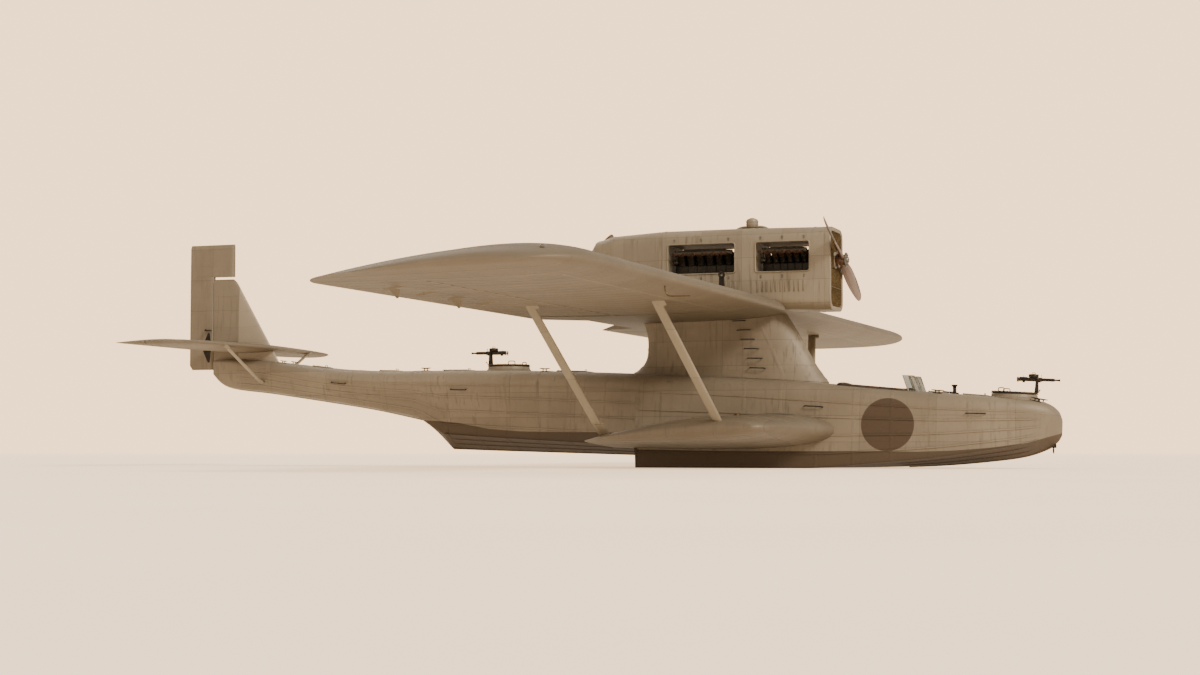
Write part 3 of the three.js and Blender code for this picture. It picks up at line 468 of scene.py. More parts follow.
# %% Node groups: weather, plates, rivets and worn paint
def group(name, inputs, outputs):
    """An empty node group: sockets are (label, kind, default), and its two end nodes are returned."""
    made = bpy.data.node_groups.new(name, "ShaderNodeTree")
    for label, kind, value in inputs:
        socket = made.interface.new_socket(label, in_out="INPUT", socket_type="NodeSocket" + kind)
        socket.default_value = value
    for label, kind in outputs:
        made.interface.new_socket(label, in_out="OUTPUT", socket_type="NodeSocket" + kind)
    return made, made.nodes.new("NodeGroupInput").outputs, made.nodes.new("NodeGroupOutput").inputs


def use(tree, source, **sockets):
    """Places a node group in a tree; socket names take underscores for spaces."""
    made = tree.nodes.new("ShaderNodeGroup")
    made.node_tree = source
    for name, value in sockets.items():
        feed(tree, made.inputs[name.replace("_", " ")], value)
    return made.outputs


def make_weather():
    """Clouds are wide soft noise, streaks the same noise drawn out along Z, grain a fine one."""
    made, given, out = group(
        "weather",
        [("Vector", "Vector", (0, 0, 0)), ("Size", "Float", 1.0)],
        [("Cloud", "Float"), ("Streak", "Float"), ("Grain", "Float")],
    )
    sized = add(made, "VectorMath", {0: given["Vector"], 3: given["Size"]}, operation="SCALE").outputs[0]
    cloud = noise_at(made, sized, 1.1, 5.0, Roughness=0.6)
    drawn = add(made, "Mapping", {"Vector": sized, "Scale": (16.0, 16.0, 1.6)}).outputs[0]
    streak = noise_at(made, drawn, 1.0, 2.0)
    grain = noise_at(made, sized, 60.0, 3.0)
    for label, value, low, high in (("Cloud", cloud, 0.32, 0.68), ("Streak", streak, 0.5, 0.8),
                                    ("Grain", grain, 0.3, 0.7)):
        made.links.new(ramp(made, value, low, high), out[label])
    return made


def make_plates():
    """A tone for each plate from its whole-number place, and a groove along the plates' borders."""
    made, given, out = group(
        "plates",
        [("Vector", "Vector", (0, 0, 0)), ("Plate", "Vector", (1, 1, 1)), ("Shift", "Vector", (0, 0, 0))],
        [("Tone", "Float"), ("Groove", "Float")],
    )
    moved = vector(made, "ADD", given["Vector"], given["Shift"])
    counted = vector(made, "DIVIDE", moved, given["Plate"])
    whole = vector(made, "FLOOR", counted)
    tone = add(made, "TexWhiteNoise", {"Vector": whole}, noise_dimensions="3D").outputs["Value"]
    rest = vector(made, "FRACTION", counted)
    from_edge = vector(made, "SUBTRACT", rest, (0.5, 0.5, 0.5))
    apart = vector(made, "ABSOLUTE", from_edge)
    inward = vector(made, "SUBTRACT", (0.5, 0.5, 0.5), apart)
    metres = vector(made, "MULTIPLY", inward, given["Plate"])
    parts = add(made, "SeparateXYZ", {0: metres}).outputs
    nearest = calc(made, "MINIMUM", calc(made, "MINIMUM", parts[0], parts[1]), parts[2])
    made.links.new(tone, out["Tone"])
    made.links.new(ramp(made, nearest, 0.001, 0.005, 1.0, 0.0), out["Groove"])
    return made


def make_rivets():
    """Domes on a lattice: the distance to the nearest crossing of two evenly spaced families of lines."""
    made, given, out = group(
        "rivets",
        [("U", "Float", 0.0), ("V", "Float", 0.0), ("Pitch U", "Float", 0.05), ("Pitch V", "Float", 0.5),
         ("Radius", "Float", 0.006)],
        [("Dome", "Float")],
    )
    offsets = []
    for label in ("U", "V"):
        counted = calc(made, "DIVIDE", given[label], given["Pitch " + label])
        rest = calc(made, "SUBTRACT", calc(made, "FRACT", counted), 0.5)
        offsets.append(times(made, rest, given["Pitch " + label]))
    squares = [times(made, value, value) for value in offsets]
    apart = calc(made, "SQRT", plus(made, *squares))
    share = calc(made, "DIVIDE", apart, given["Radius"])
    made.links.new(ramp(made, share, 0.35, 1.0, 1.0, 0.0), out["Dome"])
    return made


WEATHER, PLATES, RIVETS = make_weather(), make_plates(), make_rivets()


def make_worn_paint():
    """Paint lightened plate by plate, dirtied in streaks and clouds, and rubbed off where grain is high."""
    made, given, out = group(
        "worn_paint",
        [("Vector", "Vector", (0, 0, 0)), ("Paint", "Color", (0.3, 0.3, 0.3, 1)),
         ("Faded", "Color", (0.4, 0.4, 0.4, 1)), ("Dirt", "Color", (0.1, 0.1, 0.1, 1)),
         ("Bare", "Color", (0.5, 0.5, 0.5, 1)), ("Plate", "Vector", (1, 1, 1)),
         ("Shift", "Vector", (0, 0, 0)), ("Streaks", "Float", 0.4), ("Wear", "Float", 0.2),
         ("Gloss", "Float", 0.5)],
        [("Color", "Color"), ("Roughness", "Float"), ("Height", "Float")],
    )
    air = use(made, WEATHER, Vector=given["Vector"])
    level = calc(made, "ABSOLUTE",
                 add(made, "SeparateXYZ", {0: add(made, "TexCoord").outputs["Normal"]}).outputs[2])
    upright = ramp(made, level, 0.35, 0.8, 1.0, 0.12)
    plate = use(made, PLATES, Vector=given["Vector"], Plate=given["Plate"], Shift=given["Shift"])
    fade = plus(made, times(made, plate["Tone"], 0.5), times(made, air["Cloud"], 0.5))
    tone = blend(made, fade, given["Paint"], given["Faded"])
    dirt = times(made, times(made, air["Streak"], given["Streaks"]), air["Cloud"])
    dirt = times(made, dirt, upright)
    tone = blend(made, dirt, tone, given["Dirt"])
    tone = blend(made, times(made, plate["Groove"], 0.45), tone, given["Dirt"])
    rubbed = ramp(made, times(made, air["Grain"], air["Cloud"]), 0.62, 0.86)
    tone = blend(made, times(made, rubbed, given["Wear"]), tone, given["Bare"])
    rough = plus(made, given["Gloss"], times(made, plus(made, dirt, air["Grain"]), 0.14))
    height = calc(made, "SUBTRACT", times(made, air["Grain"], 0.08), plate["Groove"])
    made.links.new(tone, out["Color"])
    made.links.new(rough, out["Roughness"])
    made.links.new(height, out["Height"])
    return made


WORN_PAINT = make_worn_paint()
print("node groups", [g.name for g in bpy.data.node_groups])

# %% [markdown]
# The boat's own paints follow the picture's warm greys: a lighter hull with a dark bottom band, a
# slightly darker wing, and metal cowlings streaked by oil. The band's upper edge is a curve along the
# hull that no box of coordinates can give, so the hull's mesh carries its distance to that edge as an
# attribute. The plain disc on the side is a simple distance in the X and Z of the boat.

# %% Painted finishes
BARE_METAL = colour(158, 148, 130)
GRIME = colour(64, 53, 39)
DISC = {"x": 5.765, "z": 0.76, "radius": 0.46}


def shader_start(name, slot):
    """A material for a slot, with its tree, its Principled shader and its Object coordinates."""
    made = bpy.data.materials.new(name)
    SLOT_OF[made.name] = slot
    made.use_nodes = True
    tree = made.node_tree
    place = add(tree, "TexCoord").outputs["Object"]
    return made, tree, tree.nodes["Principled BSDF"], place


def dress(tree, shader, relief, metres, **sockets):
    """Feeds a shader's sockets, whose names take underscores for spaces, and a relief of some metres."""
    for name, value in sockets.items():
        feed(tree, shader.inputs[name.replace("_", " ")], value)
    made = add(tree, "Bump", {"Height": relief, "Distance": metres, "Strength": 0.6})
    tree.links.new(made.outputs[0], shader.inputs["Normal"])


def band_and_disc(tree, place, tone):
    """Dark paint below the band's edge, with a soft border, and a dark disc on both sides."""
    below = add(tree, "Attribute", attribute_name="band").outputs["Fac"]
    tone = blend(tree, ramp(tree, below, -0.006, 0.006, 1.0, 0.0), tone, colour(82, 66, 47))
    parts = add(tree, "SeparateXYZ", {0: place}).outputs
    gaps = [calc(tree, "SUBTRACT", parts[0], DISC["x"]), calc(tree, "SUBTRACT", parts[2], DISC["z"])]
    apart = calc(tree, "SQRT", plus(tree, *[times(tree, gap, gap) for gap in gaps]))
    inside = ramp(tree, apart, DISC["radius"] - 0.006, DISC["radius"] + 0.006, 1.0, 0.0)
    outer = ramp(tree, calc(tree, "ABSOLUTE", parts[1]), 0.4, 0.5)
    return blend(tree, times(tree, inside, outer), tone, colour(80, 63, 45))


def rivet_rows(rows):
    """Extra height for a paint: rows of rivets on (axis, axis, pitch, row pitch) lattices."""
    def extra(tree, place, tone, height):
        parts = add(tree, "SeparateXYZ", {0: place}).outputs
        for u, v, pitch, apart in rows:
            found = use(tree, RIVETS, U=parts[u], V=parts[v], Pitch_U=pitch, Pitch_V=apart)["Dome"]
            height = plus(tree, height, times(tree, found, 1.6))
        return tone, height
    return extra


def painted(name, paint, faded, plate, shift=(0, 25, 0), streaks=0.5, wear=0.5, gloss=0.5, extra=None,
            slot=None):
    """A worn paint in a material of its own, with extra marks from a function where given."""
    made, tree, shader, place = shader_start(name, slot or name)
    coat = use(tree, WORN_PAINT, Vector=place, Paint=colour(*paint), Faded=colour(*faded), Dirt=GRIME,
               Bare=BARE_METAL, Plate=plate, Shift=shift, Streaks=streaks, Wear=wear, Gloss=gloss)
    tone, height = coat["Color"], coat["Height"]
    if extra:
        tone, height = extra(tree, place, tone, height)
    dress(tree, shader, height, 0.0025, Base_Color=tone, Roughness=coat["Roughness"], Metallic=0.25)
    return made


hull_paint = painted("hull_paint", (125, 111, 91), (144, 129, 107), (1.32, 50, 0.46), streaks=0.5, wear=0.2,
                     extra=lambda tree, place, tone, height: (band_and_disc(tree, place, tone), height))
deck_paint = painted("deck_paint", (118, 106, 88), (136, 123, 103), (1.32, 0.7, 50), shift=(0, 0, 25),
                     slot="hull_paint")
wing_paint = painted("wing_paint", (112, 99, 80), (124, 110, 90), (50, 0.82, 50), shift=(25, 0.205, 25),
                     streaks=0.1, wear=0.1, extra=rivet_rows([(0, 1, 0.055, 0.41)]))
tape_paint = painted("tape_paint", (122, 109, 89), (134, 120, 99), (50, 0.41, 50), shift=(25, 0, 25),
                     streaks=0.1, wear=0.1, extra=rivet_rows([(0, 1, 0.02, 0.41)]), slot="wing_paint")
tail_paint = painted("tail_paint", (110, 96, 76), (129, 114, 92), (0.7, 0.9, 50), shift=(0, 0, 25),
                     streaks=0.3, wear=0.1)


def lighter_fin_front(tree, place, tone, height):
    """The fin's front part in a lighter tone, up to an upright line."""
    ahead = add(tree, "SeparateXYZ", {0: place}).outputs[0]
    return blend(tree, ramp(tree, ahead, FIN_BREAK - 0.004, FIN_BREAK + 0.004, 0.0, 0.75), tone,
                 colour(168, 151, 128)), height


FIN_BREAK = -7.485
fin_paint = painted("fin_paint", (122, 108, 88), (140, 125, 103), (0.9, 50, 0.62), streaks=0.4, wear=0.1,
                    extra=lighter_fin_front, slot="tail_paint")
sponson_paint = painted("sponson_paint", (108, 95, 77), (125, 112, 92), (0.83, 0.6, 50), shift=(0, 0, 25),
                        streaks=0.3, wear=0.3, extra=rivet_rows([(0, 1, 0.05, 0.3), (1, 0, 0.05, 0.415)]),
                        slot="hull_paint")
strut_paint = painted("strut_paint", (140, 126, 104), (156, 142, 119), (50, 50, 0.75), shift=(25, 25, 0))
cowling_paint = painted("cowling_paint", (136, 122, 101), (158, 143, 120), (0.76, 50, 0.42), streaks=0.8,
                        wear=0.3, gloss=0.42, extra=rivet_rows([(0, 2, 0.04, 0.42)]))
print("paints", len(bpy.data.materials) - 1)

# %% [markdown]
# The rest of the finishes are the things between the paint: oiled iron, tarnished brass, rust-brown
# exhausts, laminated wood, leather, dull sheet metal inside the cockpit, rubber and glass. Each gets
# what gives it away up close, such as the glue lines of a propeller or the creases of hide. A single
# colour would do from afar, but the same boat is also looked at from a step away.

# %% Metal, wood, leather and glass
def plain_finish(name, slot, tones, scale, metallic, rough, height=0.0006, stretch=(1, 1, 1)):
    """Two tones mixed by noise that may be drawn out along an axis, with the same noise as relief."""
    made, tree, shader, place = shader_start(name, slot)
    drawn = add(tree, "Mapping", {"Vector": place, "Scale": stretch}).outputs[0]
    noise = noise_at(tree, drawn, scale, 6.0, Roughness=0.62)
    patch = use(tree, WEATHER, Vector=place, Size=2.5)["Cloud"]
    share = times(tree, ramp(tree, noise, 0.34, 0.66), plus(tree, times(tree, patch, 0.6), 0.4))
    dress(tree, shader, noise, height, Base_Color=blend(tree, share, colour(*tones[0]), colour(*tones[1])),
          Roughness=ramp(tree, noise, 0.2, 0.8, rough - 0.08, rough + 0.12), Metallic=metallic)
    return made


dark_iron = plain_finish("dark_iron", "dark_iron", [(38, 34, 29), (74, 66, 55)], 38.0, 0.75, 0.48)
steel = plain_finish("steel", "dark_iron", [(112, 106, 96), (146, 139, 126)], 55.0, 0.9, 0.36,
                     stretch=(1, 1, 4))
brass = plain_finish("brass", "radiator_brass", [(82, 66, 42), (124, 102, 68)], 30.0, 0.85, 0.42)
exhaust_iron = plain_finish("exhaust_iron", "dark_iron", [(58, 40, 28), (104, 72, 48)],
                            26.0, 0.6, 0.72, 0.0015)
sheet_metal = plain_finish("sheet_metal", "cowling_paint", [(98, 92, 80), (128, 121, 106)], 9.0, 0.6, 0.5,
                           stretch=(1, 1, 3))
rubber = plain_finish("rubber", "seat_leather", [(24, 22, 20), (44, 40, 35)], 60.0, 0.0, 0.82)
board_wood = plain_finish("board_wood", "varnished_wood", [(74, 50, 30), (112, 80, 48)], 5.0, 0.0, 0.45,
                          0.0004, stretch=(9, 1, 9))
webbing = plain_finish("webbing", "seat_leather", [(132, 118, 88), (160, 146, 112)],
                       240.0, 0.0, 0.9, 0.0008)


def laminated_wood(name):
    """Layers of wood across the blade: bands by distance from the hub's face, each with a distorted grain."""
    made, tree, shader, place = shader_start(name, "varnished_wood")
    parts = add(tree, "SeparateXYZ", {0: place}).outputs
    layer = calc(tree, "FLOOR", calc(tree, "DIVIDE", parts[0], 0.019))
    shade = add(tree, "TexWhiteNoise", {"W": layer}, noise_dimensions="1D").outputs["Value"]
    grain = noise_at(tree, place, 9.0, 8.0, Distortion=1.5)
    share = plus(tree, times(tree, shade, 0.55), times(tree, grain, 0.45))
    dress(tree, shader, grain, 0.0004,
          Base_Color=blend(tree, share, colour(62, 38, 22), colour(122, 82, 48)),
          Roughness=ramp(tree, grain, 0.3, 0.7, 0.26, 0.42), Coat_Weight=0.35)
    return made


def hide(name, tones):
    """Leather: small cells for the grain, long noise for creases, and lighter worn patches."""
    made, tree, shader, place = shader_start(name, "seat_leather")
    cells = add(tree, "TexVoronoi", {"Vector": place, "Scale": 220.0}).outputs["Distance"]
    crease = noise_at(tree, place, 14.0, 7.0, Distortion=0.8)
    worn = use(tree, WEATHER, Vector=place, Size=6.0)["Cloud"]
    tone = blend(tree, times(tree, worn, crease), colour(*tones[0]), colour(*tones[1]))
    height = plus(tree, times(tree, cells, 0.5), ramp(tree, crease, 0.45, 0.55))
    dress(tree, shader, height, 0.0012, Base_Color=tone, Roughness=ramp(tree, worn, 0.0, 1.0, 0.62, 0.44))
    return made


def clear_pane(name):
    """Clear glass with a little dust: a plain transmitting shader whose roughness alone varies."""
    made, tree, shader, place = shader_start(name, "clear_glass")
    dust = use(tree, WEATHER, Vector=place, Size=5.0)["Cloud"]
    tree.links.new(ramp(tree, dust, 0.0, 1.0, 0.02, 0.12), shader.inputs["Roughness"])
    tree.links.new(blend(tree, dust, colour(226, 230, 224), colour(206, 206, 194)),
                   shader.inputs["Base Color"])
    shader.inputs["Transmission Weight"].default_value = 1.0
    shader.inputs["IOR"].default_value = 1.45
    return made


propeller_wood = laminated_wood("propeller_wood")
seat_hide = hide("seat_hide", [(66, 42, 26), (118, 82, 54)])
rim_hide = hide("rim_hide", [(44, 32, 24), (84, 62, 44)])
glass = clear_pane("glass")
print("materials", len(bpy.data.materials))

# %% [markdown]
# The hull is plated over frames. Its shape is a table of sections, from a sharp stern to a blunt bow,
# with two steps in the bottom. Each section runs from the keel to the chine, up the side, round the
# deck's edge and in to the middle. Between the rows every number follows one cubic curve, so a few
# rows give a long smooth body. A box with bevels would lose the sheer and the hollow of the bow.

# %% The hull's lines
# Columns, in metres from the step: x, keel z, chine half width, chine z, deck half width, deck z, edge radius
BOOM = [
    [-9.290, 2.000, 0.040, 2.010, 0.045, 2.270, 0.030],
    [-8.900, 1.735, 0.110, 1.755, 0.180, 2.300, 0.080],
    [-7.900, 1.600, 0.260, 1.640, 0.350, 2.235, 0.130],
    [-6.650, 1.420, 0.430, 1.470, 0.550, 2.090, 0.180],
    [-5.600, 1.255, 0.520, 1.315, 0.690, 2.020, 0.190],
    [-4.560, 1.040, 0.560, 1.130, 0.775, 2.008, 0.200],
]
AFTERBODY = [
    [-4.050, 0.515, 0.430, 0.790, 0.800, 2.005, 0.200],
    [-3.000, 0.480, 0.720, 0.725, 0.850, 1.995, 0.210],
    [-1.600, 0.440, 0.960, 0.650, 0.900, 1.955, 0.220],
    [-0.012, 0.395, 1.100, 0.570, 0.930, 1.891, 0.230],
]
FOREBODY = [
    [0.000, 0.170, 1.110, 0.170, 0.930, 1.890, 0.230],
    [1.700, 0.170, 1.110, 0.170, 0.930, 1.800, 0.230],
    [3.200, 0.170, 1.080, 0.170, 0.925, 1.690, 0.230],
    [4.300, 0.185, 1.020, 0.255, 0.895, 1.590, 0.220],
    [5.300, 0.220, 0.930, 0.350, 0.845, 1.500, 0.210],
    [6.100, 0.285, 0.800, 0.465, 0.765, 1.435, 0.190],
    [6.750, 0.370, 0.600, 0.575, 0.620, 1.375, 0.170],
    [7.130, 0.490, 0.380, 0.690, 0.450, 1.310, 0.150],
    [7.330, 0.615, 0.200, 0.780, 0.270, 1.180, 0.110],
    [7.410, 0.740, 0.060, 0.850, 0.090, 1.020, 0.050],
]
CROWN = 0.035  # how far the deck's middle rises, in deck half widths


def smooth_rows(rows, steps):
    """A cubic through a table's rows: each row's slope is half the difference of its two neighbours."""
    rows = np.asarray(rows, float)
    k = np.arange(len(rows))
    slope = (rows[np.minimum(k + 1, k[-1])] - rows[np.maximum(k - 1, 0)]) / 2
    t = np.linspace(0, 1, steps, endpoint=False)[None, :, None]
    here, there, rise = rows[:-1, None], slope[1:, None], (rows[1:] - rows[:-1])[:, None]
    lean = slope[:-1, None]
    between = here + lean * t + (3 * rise - 2 * lean - there) * t**2 + (lean + there - 2 * rise) * t**3
    return np.vstack([between.reshape(-1, rows.shape[1]), rows[-1]])


def read_off(table, at, *columns):
    """A table's columns at places in its first one, straight between its rows."""
    return [np.interp(at, table[:, 0], table[:, column]) for column in columns]


HULL_ROWS = np.vstack([smooth_rows(part, 8) for part in (BOOM, AFTERBODY, FOREBODY)])


def hull_rows_at(x):
    """The table's numbers at places along the hull, taken from the smooth rows."""
    x = np.atleast_1d(np.asarray(x, float))
    return np.stack([x, *read_off(HULL_ROWS, x, *range(1, 7))], -1)


FLAT_STEPS, EDGE_STEPS = 8, 6  # of each straight side, and of the deck's round edge


def half_section(rows):
    """(rows, points, 3) from keel to deck: straight bottom and side, quarter circle, then a low crown."""
    keel, chine, chine_z, deck, deck_z, edge = (rows[:, c, None] for c in range(1, 7))
    share = np.linspace(0, 1, FLAT_STEPS + 1)[:-1]
    turn = np.linspace(0, np.pi / 2, EDGE_STEPS + 1)
    inward = np.linspace(1, 0, FLAT_STEPS + 1)[1:]
    shoulder = deck_z - CROWN * deck - edge
    y = [chine * share, chine + (deck - chine) * share, deck - edge * (1 - np.cos(turn)),
         (deck - edge) * inward]
    z = [keel + (chine_z - keel) * share, chine_z + (shoulder - chine_z) * share,
         shoulder + edge * np.sin(turn), deck_z - CROWN * deck * inward**2]
    y, z = np.hstack(y), np.hstack(z)
    return from_step(rows[:, :1], y, z)


def whole_section(rows):
    """The half section and its mirror, as rings that run from the keel up the port side and down again."""
    half = half_section(rows)
    return np.concatenate([half, half[:, -2:0:-1] * (1, -1, 1)], axis=1)


def side_line(x, share, sign):
    """Points on the hull's side at a share of the way from chine to shoulder, with outward normals."""
    rows = hull_rows_at(x)
    chine, chine_z, deck, deck_z, edge = (rows[:, c] for c in range(2, 7))
    shoulder = deck_z - CROWN * deck - edge
    y, z = chine + (deck - chine) * share, chine_z + (shoulder - chine_z) * share
    points = from_step(rows[:, 0], sign * y, z)
    outward = unit(np.stack([0 * y, sign * (shoulder - chine_z), chine - deck], -1))
    return points, outward


def bottom_line(x, share, sign):
    """Points on the bottom at a share of the way from keel to chine, with outward normals."""
    rows = hull_rows_at(x)
    keel, chine, chine_z = (rows[:, c] for c in range(1, 4))
    points = from_step(rows[:, 0], sign * chine * share, keel + (chine_z - keel) * share)
    outward = unit(np.stack([0 * chine, sign * (chine_z - keel), -chine], -1))
    return points, outward


def deck_height(x):
    """Height of the deck's middle above the floor, at places measured from the step."""
    return read_off(HULL_ROWS, x, 5)[0] + STEP[2]


print("hull rows", HULL_ROWS.shape, "deck at the bow ring", round(float(deck_height(6.6)), 3))

# %% [markdown]
# The skin itself is one closed surface over the sections. The cockpit, both gunners' wells and the
# hollow in front of the rudder are cut out of it by exact booleans, because a cut keeps the plating's
# curve where a hand-made hole would bend it. What comes out is a plain mesh again, and its
# distance to the paint band's edge is written to every vertex for the paint to read.

# %% Skin the hull and cut its openings
COCKPIT = {"front": 4.800, "back": 3.620, "half": 0.620, "floor": 0.720}
WELL = {"radius": 0.340, "inner": 0.340, "outer": 0.395, "rise": 0.070}
RINGS = {  # name: x from the step, tilt in degrees, floor of the well, way that the gun faces
    "bow": {"x": 6.600, "tilt": 3.0, "floor": 0.700, "facing": 1},
    "dorsal": {"x": -2.900, "tilt": 0.0, "floor": 0.950, "facing": -1},
}
RUDDER_HINGE_X, RUDDER_ROOM = -9.340, 0.076  # its place, and the radius kept free round it
BAND = np.array([  # x and z of the dark band's upper edge, from the step
    [-9.40, -1.0], [-4.62, -1.0], [-4.60, 1.06], [-4.19, 1.04], [-3.70, 1.00], [-3.00, 0.88], [-2.30, 0.83],
    [-0.90, 0.81], [-0.02, 0.80], [0.00, 0.50], [1.70, 0.47], [4.41, 0.47], [5.05, 0.46], [5.67, 0.48],
    [6.30, 0.53], [6.89, 0.61], [7.36, 0.76], [7.45, 0.80],
])


def mark_band(mesh):
    """Writes each vertex's height above the paint band's edge, in metres, to the band attribute."""
    places = np.empty(len(mesh.vertices) * 3, np.float32)
    mesh.vertices.foreach_get("co", places)
    places = places.reshape(-1, 3) - STEP
    above = places[:, 2] - np.interp(places[:, 0], BAND[:, 0], BAND[:, 1])
    mesh.attributes.new("band", "FLOAT", "POINT").data.foreach_set("value", above.astype(np.float32))


def carve(mesh, cutters, operation="DIFFERENCE"):
    """A mesh with closed patches cut away from it, or kept where they overlap, by exact booleans."""
    body = bpy.data.objects.new("body", mesh)
    bpy.context.scene.collection.objects.link(body)
    tools = []
    for cutter in cutters:
        tool = bpy.data.objects.new("tool", mesh_of("tool", [cutter]))
        bpy.context.scene.collection.objects.link(tool)
        tidy(tool.data, 30)
        change = body.modifiers.new("cut", "BOOLEAN")
        change.solver, change.operation, change.object = "EXACT", operation, tool
        tools.append(tool)
    result = bpy.data.meshes.new_from_object(body.evaluated_get(bpy.context.evaluated_depsgraph_get()))
    for done in (body, *tools):
        bpy.data.objects.remove(done)
    return result


def closed_mesh(name, patches):
    """A mesh of patches with its doubles merged, ready to be carved."""
    mesh = mesh_of(name, patches)
    tidy(mesh, 30)
    return mesh


def ring_axes(ring):
    """The ring's own axes: x to where its gun points at rest, z square to the deck."""
    tilt = math.radians(ring["tilt"])
    ahead = np.array([math.cos(tilt), 0, -math.sin(tilt)]) * ring["facing"]
    up = np.array([math.sin(tilt), 0, math.cos(tilt)])
    return np.stack([ahead, np.cross(up, ahead), up])


def ring_place(ring, points):
    """Points from a ring's own axes, counted from the deck's middle, to the boat's."""
    centre = np.array([ring["x"] + STEP[0], 0, float(deck_height(ring["x"]))])
    return centre + np.asarray(points, float) @ ring_axes(ring)


def corner_block(low, high):
    """A plain box as a patch, for cutting; given from the step."""
    return rounded_block(np.array(low) + STEP, np.array(high) + STEP, 1e-4, 1)


def well_cutter(ring):
    """A round hole from above the deck down to the well's floor."""
    depth = float(deck_height(ring["x"])) - STEP[2] - ring["floor"]
    origin, up = ring_place(ring, [0, 0, 0]), ring_axes(ring)[2]
    return turned([[0.001, -depth], [WELL["radius"], -depth], [WELL["radius"], 0.3],
                   [0.001, 0.3]], origin, up, 48)


cutters = [well_cutter(ring) for ring in RINGS.values()]
cutters.append(corner_block([COCKPIT["back"], -COCKPIT["half"], COCKPIT["floor"]],
                            [COCKPIT["front"], COCKPIT["half"], 2.4]))
cutters.append(turned([[0.001, 1.5], [RUDDER_ROOM, 1.5], [RUDDER_ROOM, 3.0], [0.001, 3.0]],
                      STEP + [RUDDER_HINGE_X, 0, 0], UP, 32))
hull_mesh = carve(closed_mesh("hull_skin", [skin(whole_section(HULL_ROWS))]), cutters)
piece("hull_skin", hull_mesh, hull_paint, stands_for=["hull"], sharp=24)
report("hull skin")

# %% [markdown]
# Hulls of this kind wear their stiffeners outside. Straps cover the joints of the plates at every
# other frame, ribs run along the sides from bow to stern, rails guard the chines, and rows of round
# heads hold all of it. Painted lines would vanish in a low light, so the straps and ribs are strips
# laid on the skin's own formula, and the heads are one small dome copied to thousands of places.

# %% Straps, ribs and rails on the hull
STRAP_PITCH = 0.66
STRAPS_X = np.arange(-8.58, 7.2, STRAP_PITCH)
SIDE_SHARES = (0.2, 0.46, 0.72, 0.94)
BOTTOM_SHARES = (0.34, 0.68)
SHOULDER_END = 2 * FLAT_STEPS + EDGE_STEPS + 1  # points from the keel to the end of the deck's edge
FLAT_BOTTOM = (-0.1, 4.7)  # where nothing may stand out below the flat bottom
PYLON_FOOT = (-0.9, 3.5)


def strap(x, width, height, first, last, sign):
    """A strip across the hull between two points of the half section, at one place along it."""
    near, middle, far = half_section(hull_rows_at([x - width / 2, x, x + width / 2]))[:, first:last]
    along = unit(np.gradient(middle, axis=0))
    outward = unit(np.cross(AHEAD, along)) * (1, sign, 1) * -1
    return laid_strip(near * (1, sign, 1), far * (1, sign, 1), outward, height)


def on_deck(x):
    """Whether the deck is whole at x: no cockpit, well or pylon is cut or stands there."""
    wells = [abs(x - ring["x"]) < 0.48 for ring in RINGS.values()]
    return not (COCKPIT["back"] - 0.1 < x < COCKPIT["front"] + 0.1 or any(wells)
                or PYLON_FOOT[0] < x < PYLON_FOOT[1])


strap_patches = []
for x in STRAPS_X:
    last = SHOULDER_END + (FLAT_STEPS if on_deck(x) else 0)
    first = FLAT_STEPS if FLAT_BOTTOM[0] < x < FLAT_BOTTOM[1] else 1
    strap_patches += [strap(x, 0.062, 0.003, first, last, sign) for sign in (1, -1)]
piece("hull_straps", strap_patches, hull_paint, sharp=40)


def rib(line, x, share, sign, width, height):
    """A rib along the hull: a strip round one of the skin's long lines, half its width to each side."""
    (low, outward), (high, _) = (line(x, share + step, sign) for step in (-0.01, 0.01))
    across = unit(high - low)
    middle = (low + high) / 2
    fade = np.clip(np.minimum(x - x[0], x[-1] - x) / 0.22, 0.04, 1)[:, None]
    across = across * width / 2 * (0.3 + 0.7 * fade)
    return laid_strip(middle - across, middle + across, outward, height * fade)


SIDE_RUN = np.linspace(-8.7, 7.18, 190)
BOW_RUN = np.linspace(4.62, 6.95, 40)
AFTER_RUN = np.linspace(-4.02, -0.06, 40)
ribs = [rib(side_line, SIDE_RUN, share, sign, 0.032, 0.013) for share in SIDE_SHARES[:3]
        for sign in (1, -1)]
ribs += [rib(side_line, SIDE_RUN, SIDE_SHARES[3], sign, 0.022, 0.009) for sign in (1, -1)]
ribs += [rib(bottom_line, run, share, sign, 0.030, 0.012)
         for run in (BOW_RUN, AFTER_RUN) for share in BOTTOM_SHARES for sign in (1, -1)]
piece("hull_ribs", ribs, hull_paint, sharp=40)

ANGLE = np.array([[-0.012, -0.004], [0.024, -0.004], [0.024, 0.004], [-0.002, 0.008],
                  [-0.004, 0.034], [-0.012, 0.034]])
rails = []
for run in (np.linspace(0.02, 7.05, 120), np.linspace(-4.03, -0.04, 50)):
    for sign in (1, -1):
        chine = side_line(run, 0.0, sign)[0] + np.array([0, sign * 0.002, 0.005])
        rails.append(bar(chine, ANGLE * (-sign, 1)))
KEEL_STRIP = np.array([[-0.03, 0.01], [-0.014, -0.012], [0.014, -0.012], [0.03, 0.01]])
for run in (np.linspace(4.75, 7.28, 60), np.linspace(-4.03, -0.04, 30), np.linspace(-9.2, -4.7, 50)):
    rails.append(bar(bottom_line(run, 0.0, 1)[0], KEEL_STRIP))
piece("hull_rails", rails, hull_paint, sharp=40)
report("straps, ribs and rails")

# %% [markdown]
# The wing is one aerofoil from tip to tip, its middle plated in metal and its outer parts covered in
# fabric over ribs. Doped fabric sinks a few millimetres between ribs, and that sag is what the eye
# reads as cloth, so it is in the surface and not only in its shading. The section is the usual
# four-digit one: a half thickness and a camber line, each a short formula in the share of the chord.

